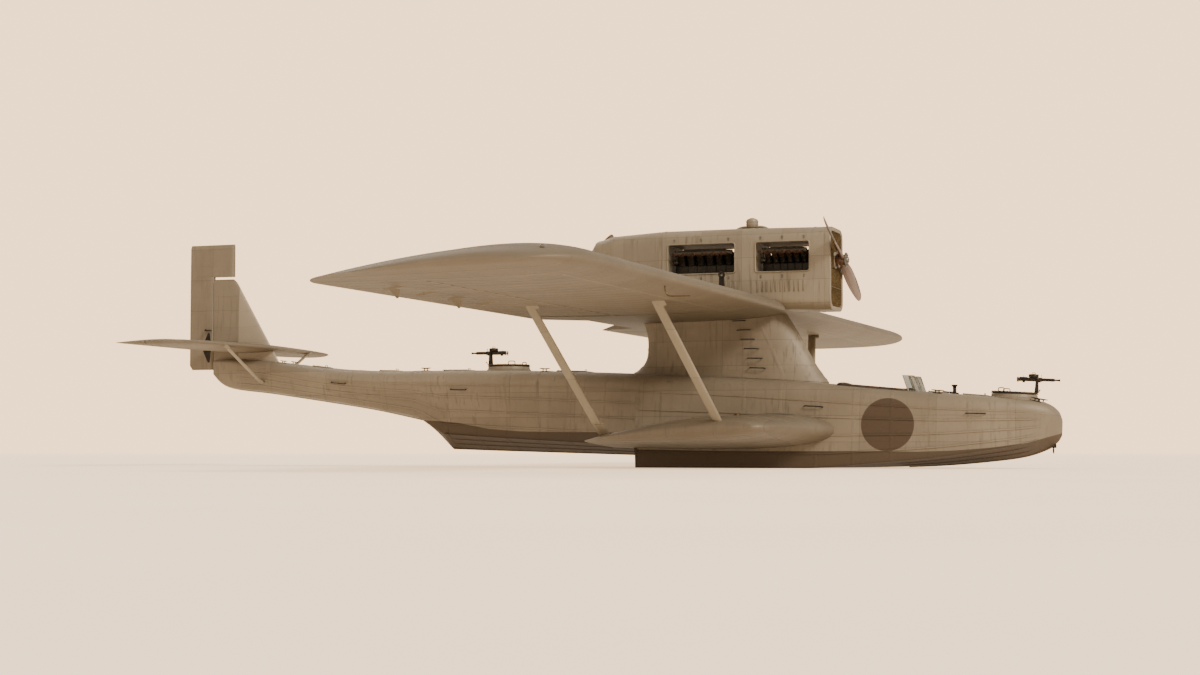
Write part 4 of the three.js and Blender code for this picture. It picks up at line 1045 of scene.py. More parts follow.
# %% The wing's surface
WING = {"chord": 4.250, "thick": 0.108, "camber": 0.02, "incidence": 2.8, "lead_x": 2.600, "lead_z": 3.045}
HALF_SPAN, CENTRE_HALF, SEAM = 11.250, 2.400, 0.0004
TIP = {"width": 1.050, "lead": 0.800, "trail": 1.100, "thin": 0.45, "round": 0.12}
AILERON = {"hinge": 0.78, "from": 6.300, "to": 10.400, "gap": 0.014}
RIB_PITCH, FABRIC_SAG = 0.41, 0.006


def half_thick(thick, share):
    """Half the section's thickness, in chords, at a share of the chord."""
    curve = (0.2969 * np.sqrt(share) - 0.126 * share - 0.3516 * share**2 + 0.2843 * share**3
             - 0.1015 * share**4)
    return 5 * thick * curve


def camber_line(camber, share):
    """The height of the section's middle line, in chords: two parabolas that meet at 0.4 of the chord."""
    front, back = (0.8 * share - share**2) / 0.16, (0.2 + 0.8 * share - share**2) / 0.36
    return camber * np.where(share < 0.4, front, back)


def foil_shares(steps):
    """Shares of the chord round a section, from the trailing edge over the top and back, with their sides."""
    share = (1 - np.cos(np.pi * np.arange(steps + 1) / steps)) / 2
    return np.concatenate([share[::-1], share[1:]]), np.concatenate([np.ones(steps + 1), -np.ones(steps)])


def sag_at(along, share):
    """How deep fabric sinks: a squared sine between ribs, fading at the nose and the trailing edge."""
    window = np.clip((share - 0.12) / 0.06, 0, 1) * np.clip((0.985 - share) / 0.05, 0, 1)
    return FABRIC_SAG * window * np.sin(np.pi * (along / RIB_PITCH - 0.5)) ** 2


def tip_insets(y):
    """Chord drawn in from both ends on quarter ellipses towards the tip, and how thin the section gets."""
    share = np.clip((np.abs(y) - (HALF_SPAN - TIP["width"])) / TIP["width"], 0, 1)
    inset = 1 - np.sqrt(1 - share**2)
    edge = np.clip((share - 1 + TIP["round"]) / TIP["round"], 0, 1)
    thin = (1 + (TIP["thin"] - 1) * share**2) * np.sqrt(1 - 0.98 * edge**2)
    return inset * TIP["lead"], inset * TIP["trail"], thin


def wing_place(aft, up, y):
    """A point of the section, aft of and above the leading edge, at a place along the span."""
    angle = math.radians(WING["incidence"])
    x = WING["lead_x"] - aft * math.cos(angle) - up * math.sin(angle)
    z = WING["lead_z"] - aft * math.sin(angle) + up * math.cos(angle)
    return from_step(x, y, z)


def wing_point(share, side, y, sag=1.0):
    """The wing's surface at a share of the chord, over (side 1) or under it (-1)."""
    from_lead, from_trail, thin = tip_insets(y)
    chord = WING["chord"] - from_lead - from_trail
    up = (camber_line(WING["camber"], share) + side * half_thick(WING["thick"] * thin, share)) * chord
    up = up - side * sag * thin * sag_at(y, share)
    return wing_place(from_lead + share * chord, up, y)


WING_UP = wing_place(0.0, 1.0, 0.0) - wing_place(0.0, 0.0, 0.0)
AILERON_NOSE = half_thick(WING["thick"], AILERON["hinge"]) * WING["chord"]
AILERON_AXIS = (AILERON["hinge"] * WING["chord"],
                camber_line(WING["camber"], AILERON["hinge"]) * WING["chord"])


def wing_skin(stations, sag):
    """Section rings at stations along the span."""
    share, side = foil_shares(34)
    return skin(wing_point(share[None], side[None], np.asarray(stations)[:, None], sag))


def span_bar(outline, start, end):
    """An outline of aft and up points, drawn along the span."""
    outline = np.asarray(outline, float)
    return skin(np.stack([wing_place(outline[:, 0], outline[:, 1], y) for y in (start, end)]))


def aileron_room(sign):
    """The space an aileron swings in: a half circle before the hinge, open behind it."""
    reach = AILERON_NOSE + AILERON["gap"]
    turn = np.linspace(0, np.pi, 17)
    aft, up = AILERON_AXIS
    outline = np.c_[aft - reach * np.sin(turn), up - reach * np.cos(turn)].tolist()
    outline += [[WING["chord"] * 1.2, up + reach], [WING["chord"] * 1.2, up - reach]]
    return span_bar(outline, sign * (AILERON["from"] - AILERON["gap"]),
                    sign * (AILERON["to"] + AILERON["gap"]))


def notch_cutter():
    """The notch for the rear propeller: a wedge through the trailing edge, wider at the back."""
    back = WING["lead_x"] - WING["chord"] * math.cos(math.radians(WING["incidence"]))
    half = [[back + 0.800, 1.230], [back, 1.760], [back - 0.300, 1.760]]
    outline = np.array(half + [[x, -y] for x, y in half[::-1]])
    return skin(np.stack([from_step(*outline.T, z) for z in (2.3, 3.7)]))


OUTER_STATIONS = np.concatenate([
    [CENTRE_HALF + SEAM], np.arange(2.47, HALF_SPAN - TIP["width"], RIB_PITCH / 6),
    HALF_SPAN - TIP["width"] * (1 - np.sin(np.linspace(0, np.pi / 2, 22))),
])
centre_mesh = carve(closed_mesh("wing_centre_skin",
                                [wing_skin(np.linspace(-CENTRE_HALF, CENTRE_HALF, 9), 0.0)]),
                    [notch_cutter()])
piece("wing_centre_skin", centre_mesh, wing_paint, stands_for=["wing_centre"])
for name, sign in SIDES:
    mesh = carve(closed_mesh("wing_skin_" + name, [wing_skin(sign * OUTER_STATIONS, 1.0)]),
                 [aileron_room(sign)])
    piece("wing_skin_" + name, mesh, wing_paint, stands_for=["wing_" + name])


def aileron_skin(sign):
    """The section behind the hinge, with a half circle for its nose, in rings along the span."""
    y = sign * np.concatenate([[AILERON["from"]],
                               np.arange(AILERON["from"] + 0.04, AILERON["to"], RIB_PITCH / 6),
                               [AILERON["to"]]])[:, None]
    share = np.linspace(1, AILERON["hinge"], 12)
    turn = np.linspace(0, np.pi, 15)[1:-1]
    over, under = (wing_point(part[None], side, y) for part, side in ((share, 1), (share[::-1], -1)))
    aft, up = AILERON_AXIS
    nose = wing_place(aft - AILERON_NOSE * np.sin(turn), up + AILERON_NOSE * np.cos(turn), y)
    return skin(np.concatenate([over, nose, under], axis=1))


for name, sign in SIDES:
    body = "aileron_" + name
    piece("aileron_skin_" + name, [aileron_skin(sign)], wing_paint, body, [body])
report("wing")

# %% [markdown]
# Tapes cover the ribs' stitching, and metal strips cover the seams over the two spars and the joint of
# each outer wing. They follow the wing's own formula at a small lift. The ailerons hang on brackets
# and are moved by a horn each, so those are small plates with pins at the hinge line.

# %% Tapes, seams and aileron fittings
RIBS_Y = (np.arange(6, 27) + 0.5) * RIB_PITCH
CHORD_RUN = np.linspace(0.035, 0.985, 44)


def rib_tape(y, share, side, width=0.034, height=0.0022):
    """A strip along the chord over one rib."""
    low, high = (wing_point(share, side, y + half, 0.0) for half in (-width / 2, width / 2))
    return laid_strip(low, high, WING_UP * side, height, 0.001)


def spar_strip(share, side, y0, y1, width=0.05, height=0.0025, steps=60):
    """A strip along the span over a spar."""
    y = np.linspace(y0, y1, steps)
    low, high = (wing_point(share + half / WING["chord"], side, y, 0.0) for half in (-width / 2, width / 2))
    return laid_strip(low, high, WING_UP * side, height, 0.007)


for name, sign in SIDES:
    fixed, moving = [], []
    for y in RIBS_Y:
        flapped = AILERON["from"] < y < AILERON["to"]
        for side in (1, -1):
            fixed.append(rib_tape(sign * y, CHORD_RUN * (0.755 if flapped else 1.0), side))
            if flapped:
                moving.append(rib_tape(sign * y, np.linspace(0.80, 0.985, 10), side))
    for side in (1, -1):
        fixed.append(spar_strip(0.135, side, sign * 2.44, sign * 10.2))
        fixed.append(spar_strip(0.60, side, sign * 2.44, sign * 10.2))
        fixed.append(rib_tape(sign * CENTRE_HALF, CHORD_RUN, side, 0.10, 0.004))
    piece("wing_tapes_" + name, fixed, tape_paint, sharp=45)
    body = "aileron_" + name
    piece("aileron_tapes_" + name, moving, tape_paint, body, sharp=45)

    fittings, horn, aft = [], [], AILERON_AXIS[0]
    for y in (6.7, 7.8, 8.9, 10.0):
        plate = [[aft - 0.36, -0.115], [aft - 0.10, -0.150], [aft + 0.01, -0.145],
                 [aft + 0.02, -0.120], [aft - 0.10, -0.105]]
        fittings.append(span_bar(plate, sign * (y - 0.006), sign * (y + 0.006)))
    for y in (7.25, 9.45):
        plate = [[aft + 0.02, -0.09], [aft + 0.05, -0.22], [aft + 0.08, -0.22],
                 [aft + 0.20, -0.06]]
        horn.append(span_bar(plate, sign * (y - 0.005), sign * (y + 0.005)))
        pin = wing_place(aft + 0.066, -0.205, sign * y)
        horn.append(rod(pin - PORT * 0.02, pin + PORT * 0.02, 0.011, upright=UP))
    piece("aileron_brackets_" + name, fittings, strut_paint)
    piece("aileron_horns_" + name, horn, strut_paint, body)
report("tapes and fittings")

# %% [markdown]
# The sponsons are short thick wings on the waterline. They keep the boat upright afloat and carry
# the wing struts. They are lofted from four sections as the model is, with more points round the
# nose and a tip whose last few centimetres round off. The struts are streamlined bars with forked
# ends, which a plain bar pushed into the wing wouldn't show.

# %% Sponsons and struts
SPONSON = {"incidence": 4.0, "camber": 0.02}
# Columns: y, leading x, chord, z at the nose, thickness in chords
SPONSON_ROWS = np.array([
    [0.900, 3.650, 4.150, 0.830, 0.150],
    [2.600, 3.150, 3.480, 0.860, 0.125],
    [3.120, 2.960, 3.200, 0.870, 0.110],
    [3.300, 2.760, 2.850, 0.870, 0.070],
])
SPONSON_SMOOTH = smooth_rows(SPONSON_ROWS, 8)


def sponson_point(share, side, y):
    """The sponson's surface: the section's numbers are read from the table at a place along the span."""
    lead, chord, nose_z, thick = read_off(SPONSON_SMOOTH, np.abs(y), 1, 2, 3, 4)
    edge = np.clip((np.abs(y) - 3.225) / 0.075, 0, 1)
    up = (camber_line(SPONSON["camber"], share) + side * half_thick(thick, share)
          * np.sqrt(1 - 0.97 * edge**2)) * chord
    aft = share * chord
    angle = math.radians(SPONSON["incidence"])
    x = lead - aft * math.cos(angle) - up * math.sin(angle)
    z = nose_z - aft * math.sin(angle) + up * math.cos(angle)
    return from_step(x, y, z)


SPONSON_Y = np.concatenate([np.linspace(0.9, 2.6, 12), np.linspace(2.68, 3.12, 6),
                            3.3 - 0.18 * np.linspace(0.93, 0, 12) ** 2])
SPONSON_TILT = math.radians(SPONSON["incidence"])
SPONSON_UP = np.array([-math.sin(SPONSON_TILT), 0, math.cos(SPONSON_TILT)])


def sponson_strip(share, y0, y1, side, width, height=0.003):
    """A strip along the sponson's span at a share of its chord."""
    y = np.linspace(y0, y1, 30)
    low, high = (sponson_point(share + half / 3.6, side, y) for half in (-width / 2, width / 2))
    return laid_strip(low, high, SPONSON_UP * side, height)


def sponson_band(y, side, width, height=0.003, start=0.03):
    """A strip along the sponson's chord at a place along its span."""
    share = np.linspace(start, 0.985, 40)
    low, high = (sponson_point(share, side, y + half) for half in (-width / 2, width / 2))
    return laid_strip(low, high, SPONSON_UP * side, height)


for name, sign in SIDES:
    share, side = foil_shares(30)
    body = skin(sponson_point(share[None], side[None], sign * SPONSON_Y[:, None]))
    piece("sponson_skin_" + name, [body], sponson_paint, stands_for=["sponson_" + name])
    straps = [sponson_strip(part, sign * 1.0, sign * 3.1, side, 0.05) for part in (0.12, 0.37, 0.62)
              for side in (1, -1)]
    straps += [sponson_band(sign * y, side, 0.045) for y in (1.5, 2.1, 2.7, 3.1) for side in (1, -1)]
    piece("sponson_straps_" + name, straps, sponson_paint, sharp=40)


STRUTS = {"front": (2.250, 1.720), "rear": (0.080, -0.450)}  # name: x of the foot and of the head
STRUT_FOOT, STRUT_HEAD = {"y": 2.960, "z": 0.720}, {"y": 5.360, "z": 3.010}
STRUT_CHORD, STRUT_THICK = 0.165, 0.36


def foil_section(chord, thick, steps=14, pivot=0.35):
    """A symmetrical section as (sideways, aft) points, its pivot at zero."""
    share, side = foil_shares(steps)
    return np.stack([side * half_thick(thick, share) * chord, (share - pivot) * chord], -1)


def strut(foot, head, chord, thick):
    """A streamlined bar whose section keeps its chord along the boat, a little fuller at mid length."""
    run = np.linspace(0, 1, 13)[:, None]
    path = foot + (head - foot) * run
    across = unit(np.cross(head - foot, AHEAD))
    section = foil_section(chord, thick)
    size = (0.94 + 0.06 * np.sin(np.pi * run))[:, :, None]
    return skin(path[:, None] + size * (section[None, :, :1] * across - section[None, :, 1:] * AHEAD))


for name, sign in SIDES:
    for end, (foot_x, head_x) in STRUTS.items():
        foot = STEP + [foot_x, sign * STRUT_FOOT["y"], STRUT_FOOT["z"]]
        head = STEP + [head_x, sign * STRUT_HEAD["y"], STRUT_HEAD["z"]]
        along = unit(head - foot)
        cuffs = [bar([point, point + along * way * 0.34],
                     foil_section(STRUT_CHORD * 1.1, STRUT_THICK * 1.15)[::-1], AHEAD)
                 for point, way in ((foot, 1), (head, -1))]
        plates = []
        for point, way in ((foot, 1), (head, -1)):
            for part in (0.10, 0.20, 0.30):
                middle = point + along * way * (0.12 + part * 0.6)
                out = unit(np.cross(along, AHEAD)) * sign
                plates.append(rod(middle - out * 0.04, middle + out * 0.04, 0.012, 6, AHEAD))
        body = [strut(foot, head, STRUT_CHORD, STRUT_THICK), *cuffs, *plates]
        piece(f"strut_bar_{end}_{name}", body, strut_paint, stands_for=[f"strut_{end}_{name}"])
report("sponsons and struts")

# %% [markdown]
# The pylon lifts the wing off the deck and hides the struts and controls inside one streamlined
# tower. Its level sections are ovals that narrow towards the back. Six sections lead, with a cubic
# between them, so its back edge keeps the hollow sweep that flat panels would lose.

# %% The pylon
# Columns: share of the height, front x, back x, half width
PYLON_ROWS = np.array([
    [0.00, 3.400, -0.760, 0.560], [0.12, 3.290, -0.420, 0.520], [0.30, 3.080, -0.170, 0.480],
    [0.55, 2.860, -0.110, 0.455], [0.80, 2.640, -0.150, 0.450], [1.00, 2.440, -0.260, 0.460],
])
PYLON_SMOOTH = smooth_rows(PYLON_ROWS, 8)


def pylon_point(share, turn, lift=0.0):
    """The pylon's wall at a share of its height and a turn round it; 0 faces the bow, and pi aft."""
    front, back, half = read_off(PYLON_SMOOTH, share, 1, 2, 3)
    along = (1 + np.cos(turn)) / 2
    x = back + (front - back) * along + lift * np.cos(turn)
    y = half * np.sin(turn) * (0.62 + 0.38 * along) + lift * np.sin(turn)
    top = WING["lead_z"] - (WING["lead_x"] - x) * math.tan(math.radians(WING["incidence"])) + 0.04
    low = deck_height(x) - STEP[2] - 0.16
    return from_step(x, y, low + (top - low) * share)


ROUND = full_turn(72)
piece("pylon_skin", [skin(pylon_point(PYLON_SMOOTH[:, :1], ROUND[None]))], hull_paint, stands_for=["pylon"])


def pylon_hoop(share, width, lift):
    """A strap round the pylon at a share of its height: four rings, two on the wall and two lifted."""
    rows = [(share - width / 2, 0.0), (share - width / 2, lift), (share + width / 2, lift),
            (share + width / 2, 0.0)]
    rings = np.stack([pylon_point(part, ROUND, raised) for part, raised in rows], 1)
    return skin(rings, looped=True)


hoops = [pylon_hoop(share, 0.035, 0.004) for share in (0.22, 0.50, 0.78)]
hoops.append(pylon_hoop(0.135, 0.05, 0.010))
for turn in np.radians([0, 52, 90, 128, -52, -90, -128]):
    run = np.linspace(0.15, 0.985, 24)
    low, high = pylon_point(run, turn - 0.03, 0.0), pylon_point(run, turn + 0.03, 0.0)
    outward = unit(np.stack([np.cos(turn) + 0 * run, np.sin(turn) * 2.5 + 0 * run, 0 * run], -1))
    hoops.append(laid_strip(low, high, outward, 0.004))
piece("pylon_straps", hoops, hull_paint, sharp=40)
report("pylon")

# %% [markdown]
# The tail is a fin and rudder over a strutted tailplane, all ribs under fabric. Each is the same
# symmetrical section swept along its own span, with the same sag between ribs as the wing has. The
# moving parts have round noses on their hinge lines, so that no gap opens when they turn.

# %% Tail surfaces
TAIL = {"lead_x": -7.850, "trail_x": -9.720, "half": 3.100, "z": 2.500, "thick": 0.175, "hinge_x": -9.020,
        "sweep": 0.400, "nose": 0.076}
# Columns: share of the half span, share of the sweep, how far the trailing edge has drawn in
TAIL_ROWS = np.array([[0, 0, 0], [0.55, 0.42, 0], [0.84, 0.72, 0], [0.95, 1, 0.060], [1, 1.6, 0.260]])
TAIL_SMOOTH = smooth_rows(TAIL_ROWS, 8)
FIN = {"root_x": -7.800, "top_x": -8.810, "root_z": 2.200, "top_z": 3.900, "thick": 0.140, "behind": 0.482}
RUDDER = {"bottom": 2.090, "top": 4.600, "horn_x": -8.830, "horn_z": 3.950, "half": 0.062,
          "trail_x": -9.840, "rim": 0.06}
TAIL_PITCH = 0.31


def tail_sag(along, share, depth=0.004):
    """Sag between tail ribs, a squared sine that fades at the nose and the trailing edge."""
    window = np.clip((share - 0.1) / 0.08, 0, 1) * np.clip((0.985 - share) / 0.06, 0, 1)
    return depth * window * np.sin(np.pi * (along / TAIL_PITCH - 0.5)) ** 2


def tail_plan(part):
    """The tailplane's leading x and whole chord at a share of its half span."""
    swept, drawn = read_off(TAIL_SMOOTH, part, 1, 2)
    lead = TAIL["lead_x"] - swept * TAIL["sweep"]
    return lead, lead - TAIL["trail_x"] - drawn


def tail_point(share, side, y, sag=1.0):
    """The tailplane's surface at a share of its whole chord, elevator included."""
    part = np.abs(y) / TAIL["half"]
    lead, chord = tail_plan(part)
    edge = np.clip((part - 0.97) / 0.03, 0, 1)
    thick = (TAIL["thick"] / chord) * (1 - 0.45 * part**2) * np.sqrt(1 - 0.97 * edge**2)
    up = half_thick(thick, share) * chord - sag * tail_sag(y, share) * (1 - edge) * (1 - 0.6 * part**2)
    return from_step(lead - share * chord, y, TAIL["z"] + side * up)


def hinge_cutter(reach):
    """Everything behind a half circle round the tailplane's hinge line, as one bar along the span."""
    x, z = TAIL["hinge_x"], TAIL["z"]
    turn = np.linspace(0, np.pi, 17)
    outline = np.c_[x + reach * np.sin(turn), z - reach * np.cos(turn)].tolist()
    outline = np.array(outline + [[x - 1.5, z + reach], [x - 1.5, z - reach]])
    return skin(np.stack([from_step(outline[:, 0], y, outline[:, 1]) for y in (-3.2, 3.2)]))


def rudder_room():
    """The wedge between the elevator's halves that the rudder swings in."""
    edge = [[TAIL["hinge_x"] + 0.200, 0.095], [RUDDER_HINGE_X + 0.060, 0.110],
            [RUDDER["trail_x"] - 0.200, 0.420]]
    outline = np.array(edge + [[x, -y] for x, y in edge[::-1]])
    return skin(np.stack([from_step(*outline.T, z) for z in (2.0, 3.0)]))


tail_stations = TAIL["half"] * np.sin(np.linspace(-np.pi / 2, np.pi / 2, 25))
tail_stations = np.unique(np.concatenate([tail_stations, np.arange(-3.0, 3.01, TAIL_PITCH / 5)]).round(4))
share, side = foil_shares(30)
whole_tail = skin(tail_point(share[None], side[None], tail_stations[:, None]))
front = carve(closed_mesh("tailplane_skin", [whole_tail]), [hinge_cutter(TAIL["nose"] + 0.014)])
piece("tailplane_skin", front, tail_paint, stands_for=["tailplane"])
halves = carve(carve(closed_mesh("elevator_skin", [whole_tail]), [hinge_cutter(TAIL["nose"])],
                     "INTERSECT"), [rudder_room()])
piece("elevator_skin", halves, tail_paint, "elevator", ["elevator"])
hinge = STEP + [TAIL["hinge_x"], 0, TAIL["z"]]
piece("elevator_tube", [rod(hinge - PORT * 0.3, hinge + PORT * 0.3, 0.032, 18, AHEAD)], steel, "elevator")


def upright_section(z, lead, trail, half, share, side):
    """A level section of the fin at a height, between its leading and trailing x."""
    chord = lead - trail
    across = half_thick(2 * half / chord, share) * chord
    return from_step(lead - share * chord, side * across, z)


def fin_skin():
    """Level sections from root to top: the nose slopes back, and the top edge rounds off."""
    z = np.concatenate([np.arange(FIN["root_z"], FIN["top_z"] - 0.1, TAIL_PITCH / 5),
                        FIN["top_z"] - 0.1 * np.linspace(0.9, 0, 7) ** 2])
    z = z[:, None]
    part = (z - FIN["root_z"]) / (FIN["top_z"] - FIN["root_z"])
    edge = np.clip((z - FIN["top_z"] + 0.1) / 0.1, 0, 1)
    lead = FIN["root_x"] + (FIN["top_x"] - FIN["root_x"]) * part - 0.04 * edge**2
    half = FIN["thick"] / 2 * (1 - 0.2 * part) * np.sqrt(1 - 0.9 * edge**2)
    share, side = foil_shares(26)
    rings = upright_section(z, lead, RUDDER_HINGE_X - FIN["behind"], half, share[None], side[None])
    rings[..., 1] -= side * tail_sag(z, share[None], 0.003) * (half > 0.04)
    return skin(rings)


nose_turn = np.linspace(-np.pi / 2, np.pi / 2, 17)
room_x = np.r_[RUDDER_ROOM * np.cos(nose_turn), -0.9, -0.9]
room_y = np.r_[RUDDER_ROOM * np.sin(nose_turn), RUDDER_ROOM, -RUDDER_ROOM]
rudder_space = skin(np.stack([from_step(RUDDER_HINGE_X + room_x, room_y, z) for z in (1.5, 5.0)]))
tube_hole = rod(hinge - PORT * 0.4, hinge + PORT * 0.4, 0.042, 18, AHEAD)
fin_mesh = carve(closed_mesh("fin_skin", [fin_skin()]), [rudder_space, tube_hole])
piece("fin_skin", fin_mesh, fin_paint, stands_for=["fin"])


def rudder_blade(z_rows, lead, half):
    """Level sections: half circle at the nose, then flat sides that meet at a thin trailing edge."""
    turn = np.linspace(0, np.pi, 13)
    nose = np.stack([lead - half + half * np.sin(turn), half * np.cos(turn)], -1)
    share = np.linspace(0.08, 0.96, 9)
    rings = []
    for z, end, thin in z_rows:
        sag = tail_sag(z, share, 0.003)
        flat_x, flat_y = lead - half - share * (lead - half - end), half - (half - 0.005) * share - sag
        outline = np.concatenate([nose, np.c_[flat_x, -flat_y], [[end, -0.004], [end, 0.004]],
                                  np.c_[flat_x, flat_y][::-1]])
        rings.append(from_step(outline[:, 0], outline[:, 1] * thin, z))
    return skin(np.stack(rings))


blade_z = np.concatenate([[RUDDER["bottom"]],
                          np.arange(RUDDER["bottom"] + 0.03, RUDDER["horn_z"], TAIL_PITCH / 5),
                          [RUDDER["horn_z"] + 0.01]])
blade_rows = []
for z in blade_z:
    above = (z - RUDDER["bottom"]) / 0.09  # the lowest 9 cm round off
    blade_rows.append((z, RUDDER["trail_x"] + 0.06 * max(0, 1 - above), 0.8 + 0.2 * min(1, above)))


def horn_thin(z):
    """How thin the horn's sections are, as a share of the blade's: less towards the top."""
    return 1 - 0.2 * (z - RUDDER["horn_z"]) / 0.65


horn_z = np.concatenate([np.linspace(RUDDER["horn_z"], RUDDER["top"] - RUDDER["rim"], 9),
                         RUDDER["top"] - RUDDER["rim"] * np.linspace(0.8, 0, 5) ** 2])
horn_rows = []
for z in horn_z:
    into_rim = max(0, (z - RUDDER["top"] + RUDDER["rim"]) / RUDDER["rim"])
    horn_rows.append((z, RUDDER["trail_x"] + 0.02 * into_rim, horn_thin(z) - 0.45 * into_rim**2))
rudder_patches = [rudder_blade(blade_rows, RUDDER_HINGE_X + RUDDER["half"], RUDDER["half"]),
                  rudder_blade(horn_rows, RUDDER["horn_x"], RUDDER["half"])]
piece("rudder_skin", rudder_patches, fin_paint, "rudder", ["rudder"])
report("tail")

# %% [markdown]
# Both engines sit back to back in one long cowling on the wing. It is a box with round edges whose
# six sections swell from the pusher's shaft to the radiator. Open bays on both sides let the
# cylinders breathe and show them, so the bays are cut through and their sills get a rolled edge.

# %% The nacelle
# Columns: x, half width, bottom z, top z, radius of the edges
NACELLE_ROWS = np.array([
    [-1.180, 0.190, 3.560, 4.230, 0.150], [-1.080, 0.270, 3.420, 4.370, 0.190],
    [-0.700, 0.380, 3.230, 4.450, 0.200], [0.300, 0.470, 3.120, 4.500, 0.200],
    [1.900, 0.500, 3.040, 4.500, 0.200], [3.200, 0.500, 2.990, 4.480, 0.190],
])
BAYS = {"rear": (0.420, 1.700), "front": (2.080, 3.080)}
BAY_LOW, BAY_HIGH = 3.680, 4.230
SHAFT_Z = 3.900
NACELLE_FRONT, NACELLE_REAR = 3.460, -1.180


def nacelle_rows_at(x):
    """The nacelle's numbers at places along it; straight between rows, as its plates are."""
    return np.stack([x, *read_off(NACELLE_ROWS, x, 1, 2, 3, 4)], -1)


def nacelle_half(x):
    """Half the nacelle's width at places along it."""
    return read_off(NACELLE_ROWS, x, 1)[0]


def box_rings(rows, lift=0.0):
    """Rings of a box with quarter-circle edges: half width, bottom, top and radius from each row."""
    half, bottom, top, edge = (rows[:, c, None] for c in range(1, 5))
    outline = rounded_rectangle((-half, bottom), (half, top), edge, 9, lift)
    return from_step(rows[:, :1], outline[..., 0], outline[..., 1])


nacelle_x = np.concatenate([np.linspace(-1.18, -1.08, 5), np.linspace(-1.0, -0.7, 5),
                            np.linspace(-0.6, 3.2, 24)])
bay_cutters = [corner_block([back, -0.7, BAY_LOW], [front, 0.7, BAY_HIGH]) for back, front in BAYS.values()]
shaft_hole = rod(STEP + [-1.3, 0, SHAFT_Z], STEP + [-1.04, 0, SHAFT_Z], 0.068, 24)
nacelle_mesh = carve(closed_mesh("nacelle_skin", [skin(box_rings(nacelle_rows_at(nacelle_x)))]),
                     [*bay_cutters, shaft_hole])
piece("nacelle_skin", nacelle_mesh, cowling_paint, stands_for=["nacelle"])


def hoop(x, width, height):
    """A band round the nacelle at one place along it."""
    rows = nacelle_rows_at(np.array([x - width / 2, x - width / 2, x + width / 2, x + width / 2]))
    low, high = box_rings(rows), box_rings(rows, lift=height)
    return skin(np.stack([low[0], high[1], high[2], low[3]], 1), looped=True)


def bay_rim(back, front, sign):
    """A rolled edge round a bay's opening: a bar on a rounded rectangle just proud of the wall."""
    x, z = rounded_rectangle((back, BAY_LOW), (front, BAY_HIGH), 0.05, 6).T
    return bar(from_step(x, sign * (nacelle_half(x) + 0.004), z), circle(0.014, 8), PORT, looped=True)


BANDS_X = (-1.02, -0.70, 0.34, 1.78, 2.00, 3.15)
bands = [hoop(x, 0.045, 0.003) for x in BANDS_X]
rims = [bay_rim(back, front, sign) for back, front in BAYS.values() for sign in (1, -1)]
piece("nacelle_bands", bands + rims, cowling_paint, sharp=45)


def leaning(degrees):
    """Axes turned about the upright one."""
    c, s = math.cos(math.radians(degrees)), math.sin(math.radians(degrees))
    return np.array([[c, s, 0], [-s, c, 0], [0, 0, 1]])


def louvre(x, z, sign):
    """A pressed slot's hood: a small rounded block that leans out of the wall."""
    foot = STEP + [x, sign * (nacelle_half(x) + 0.002), z]
    return rounded_block([-0.028, -0.006, -0.10], [0.028, 0.006, 0.10], 0.005, 2, leaning(24 * sign), foot)


slots = [louvre(x, 3.42, sign) for x in np.arange(0.5, 3.05, 0.085) if not 1.72 < x < 2.06
         for sign in (1, -1)]
piece("nacelle_louvres", slots, cowling_paint)
report("nacelle")

# %% [markdown]
# Each engine is a vee of twelve water-cooled cylinders. What shows in the bay is the crankcase, two
# leaning rows of jackets with flanges, the long camshaft covers, exhaust stubs that bend out and
# aft, and the pipes between the rows. All are turned or swept shapes, placed by one loop.

# %% Engines
LEAN = math.radians(30)


def pipe(points, radius, sides=10, scale=None, upright=UP):
    """A tube on a smooth curve through points: each span is a cubic like the hull's rows."""
    path = smooth_rows(points, 6)
    size = 1.0
    if scale is not None:
        size = np.interp(np.linspace(0, 1, len(path)), np.linspace(0, 1, len(scale)), scale)
    return bar(path, circle(radius, sides), upright, size)


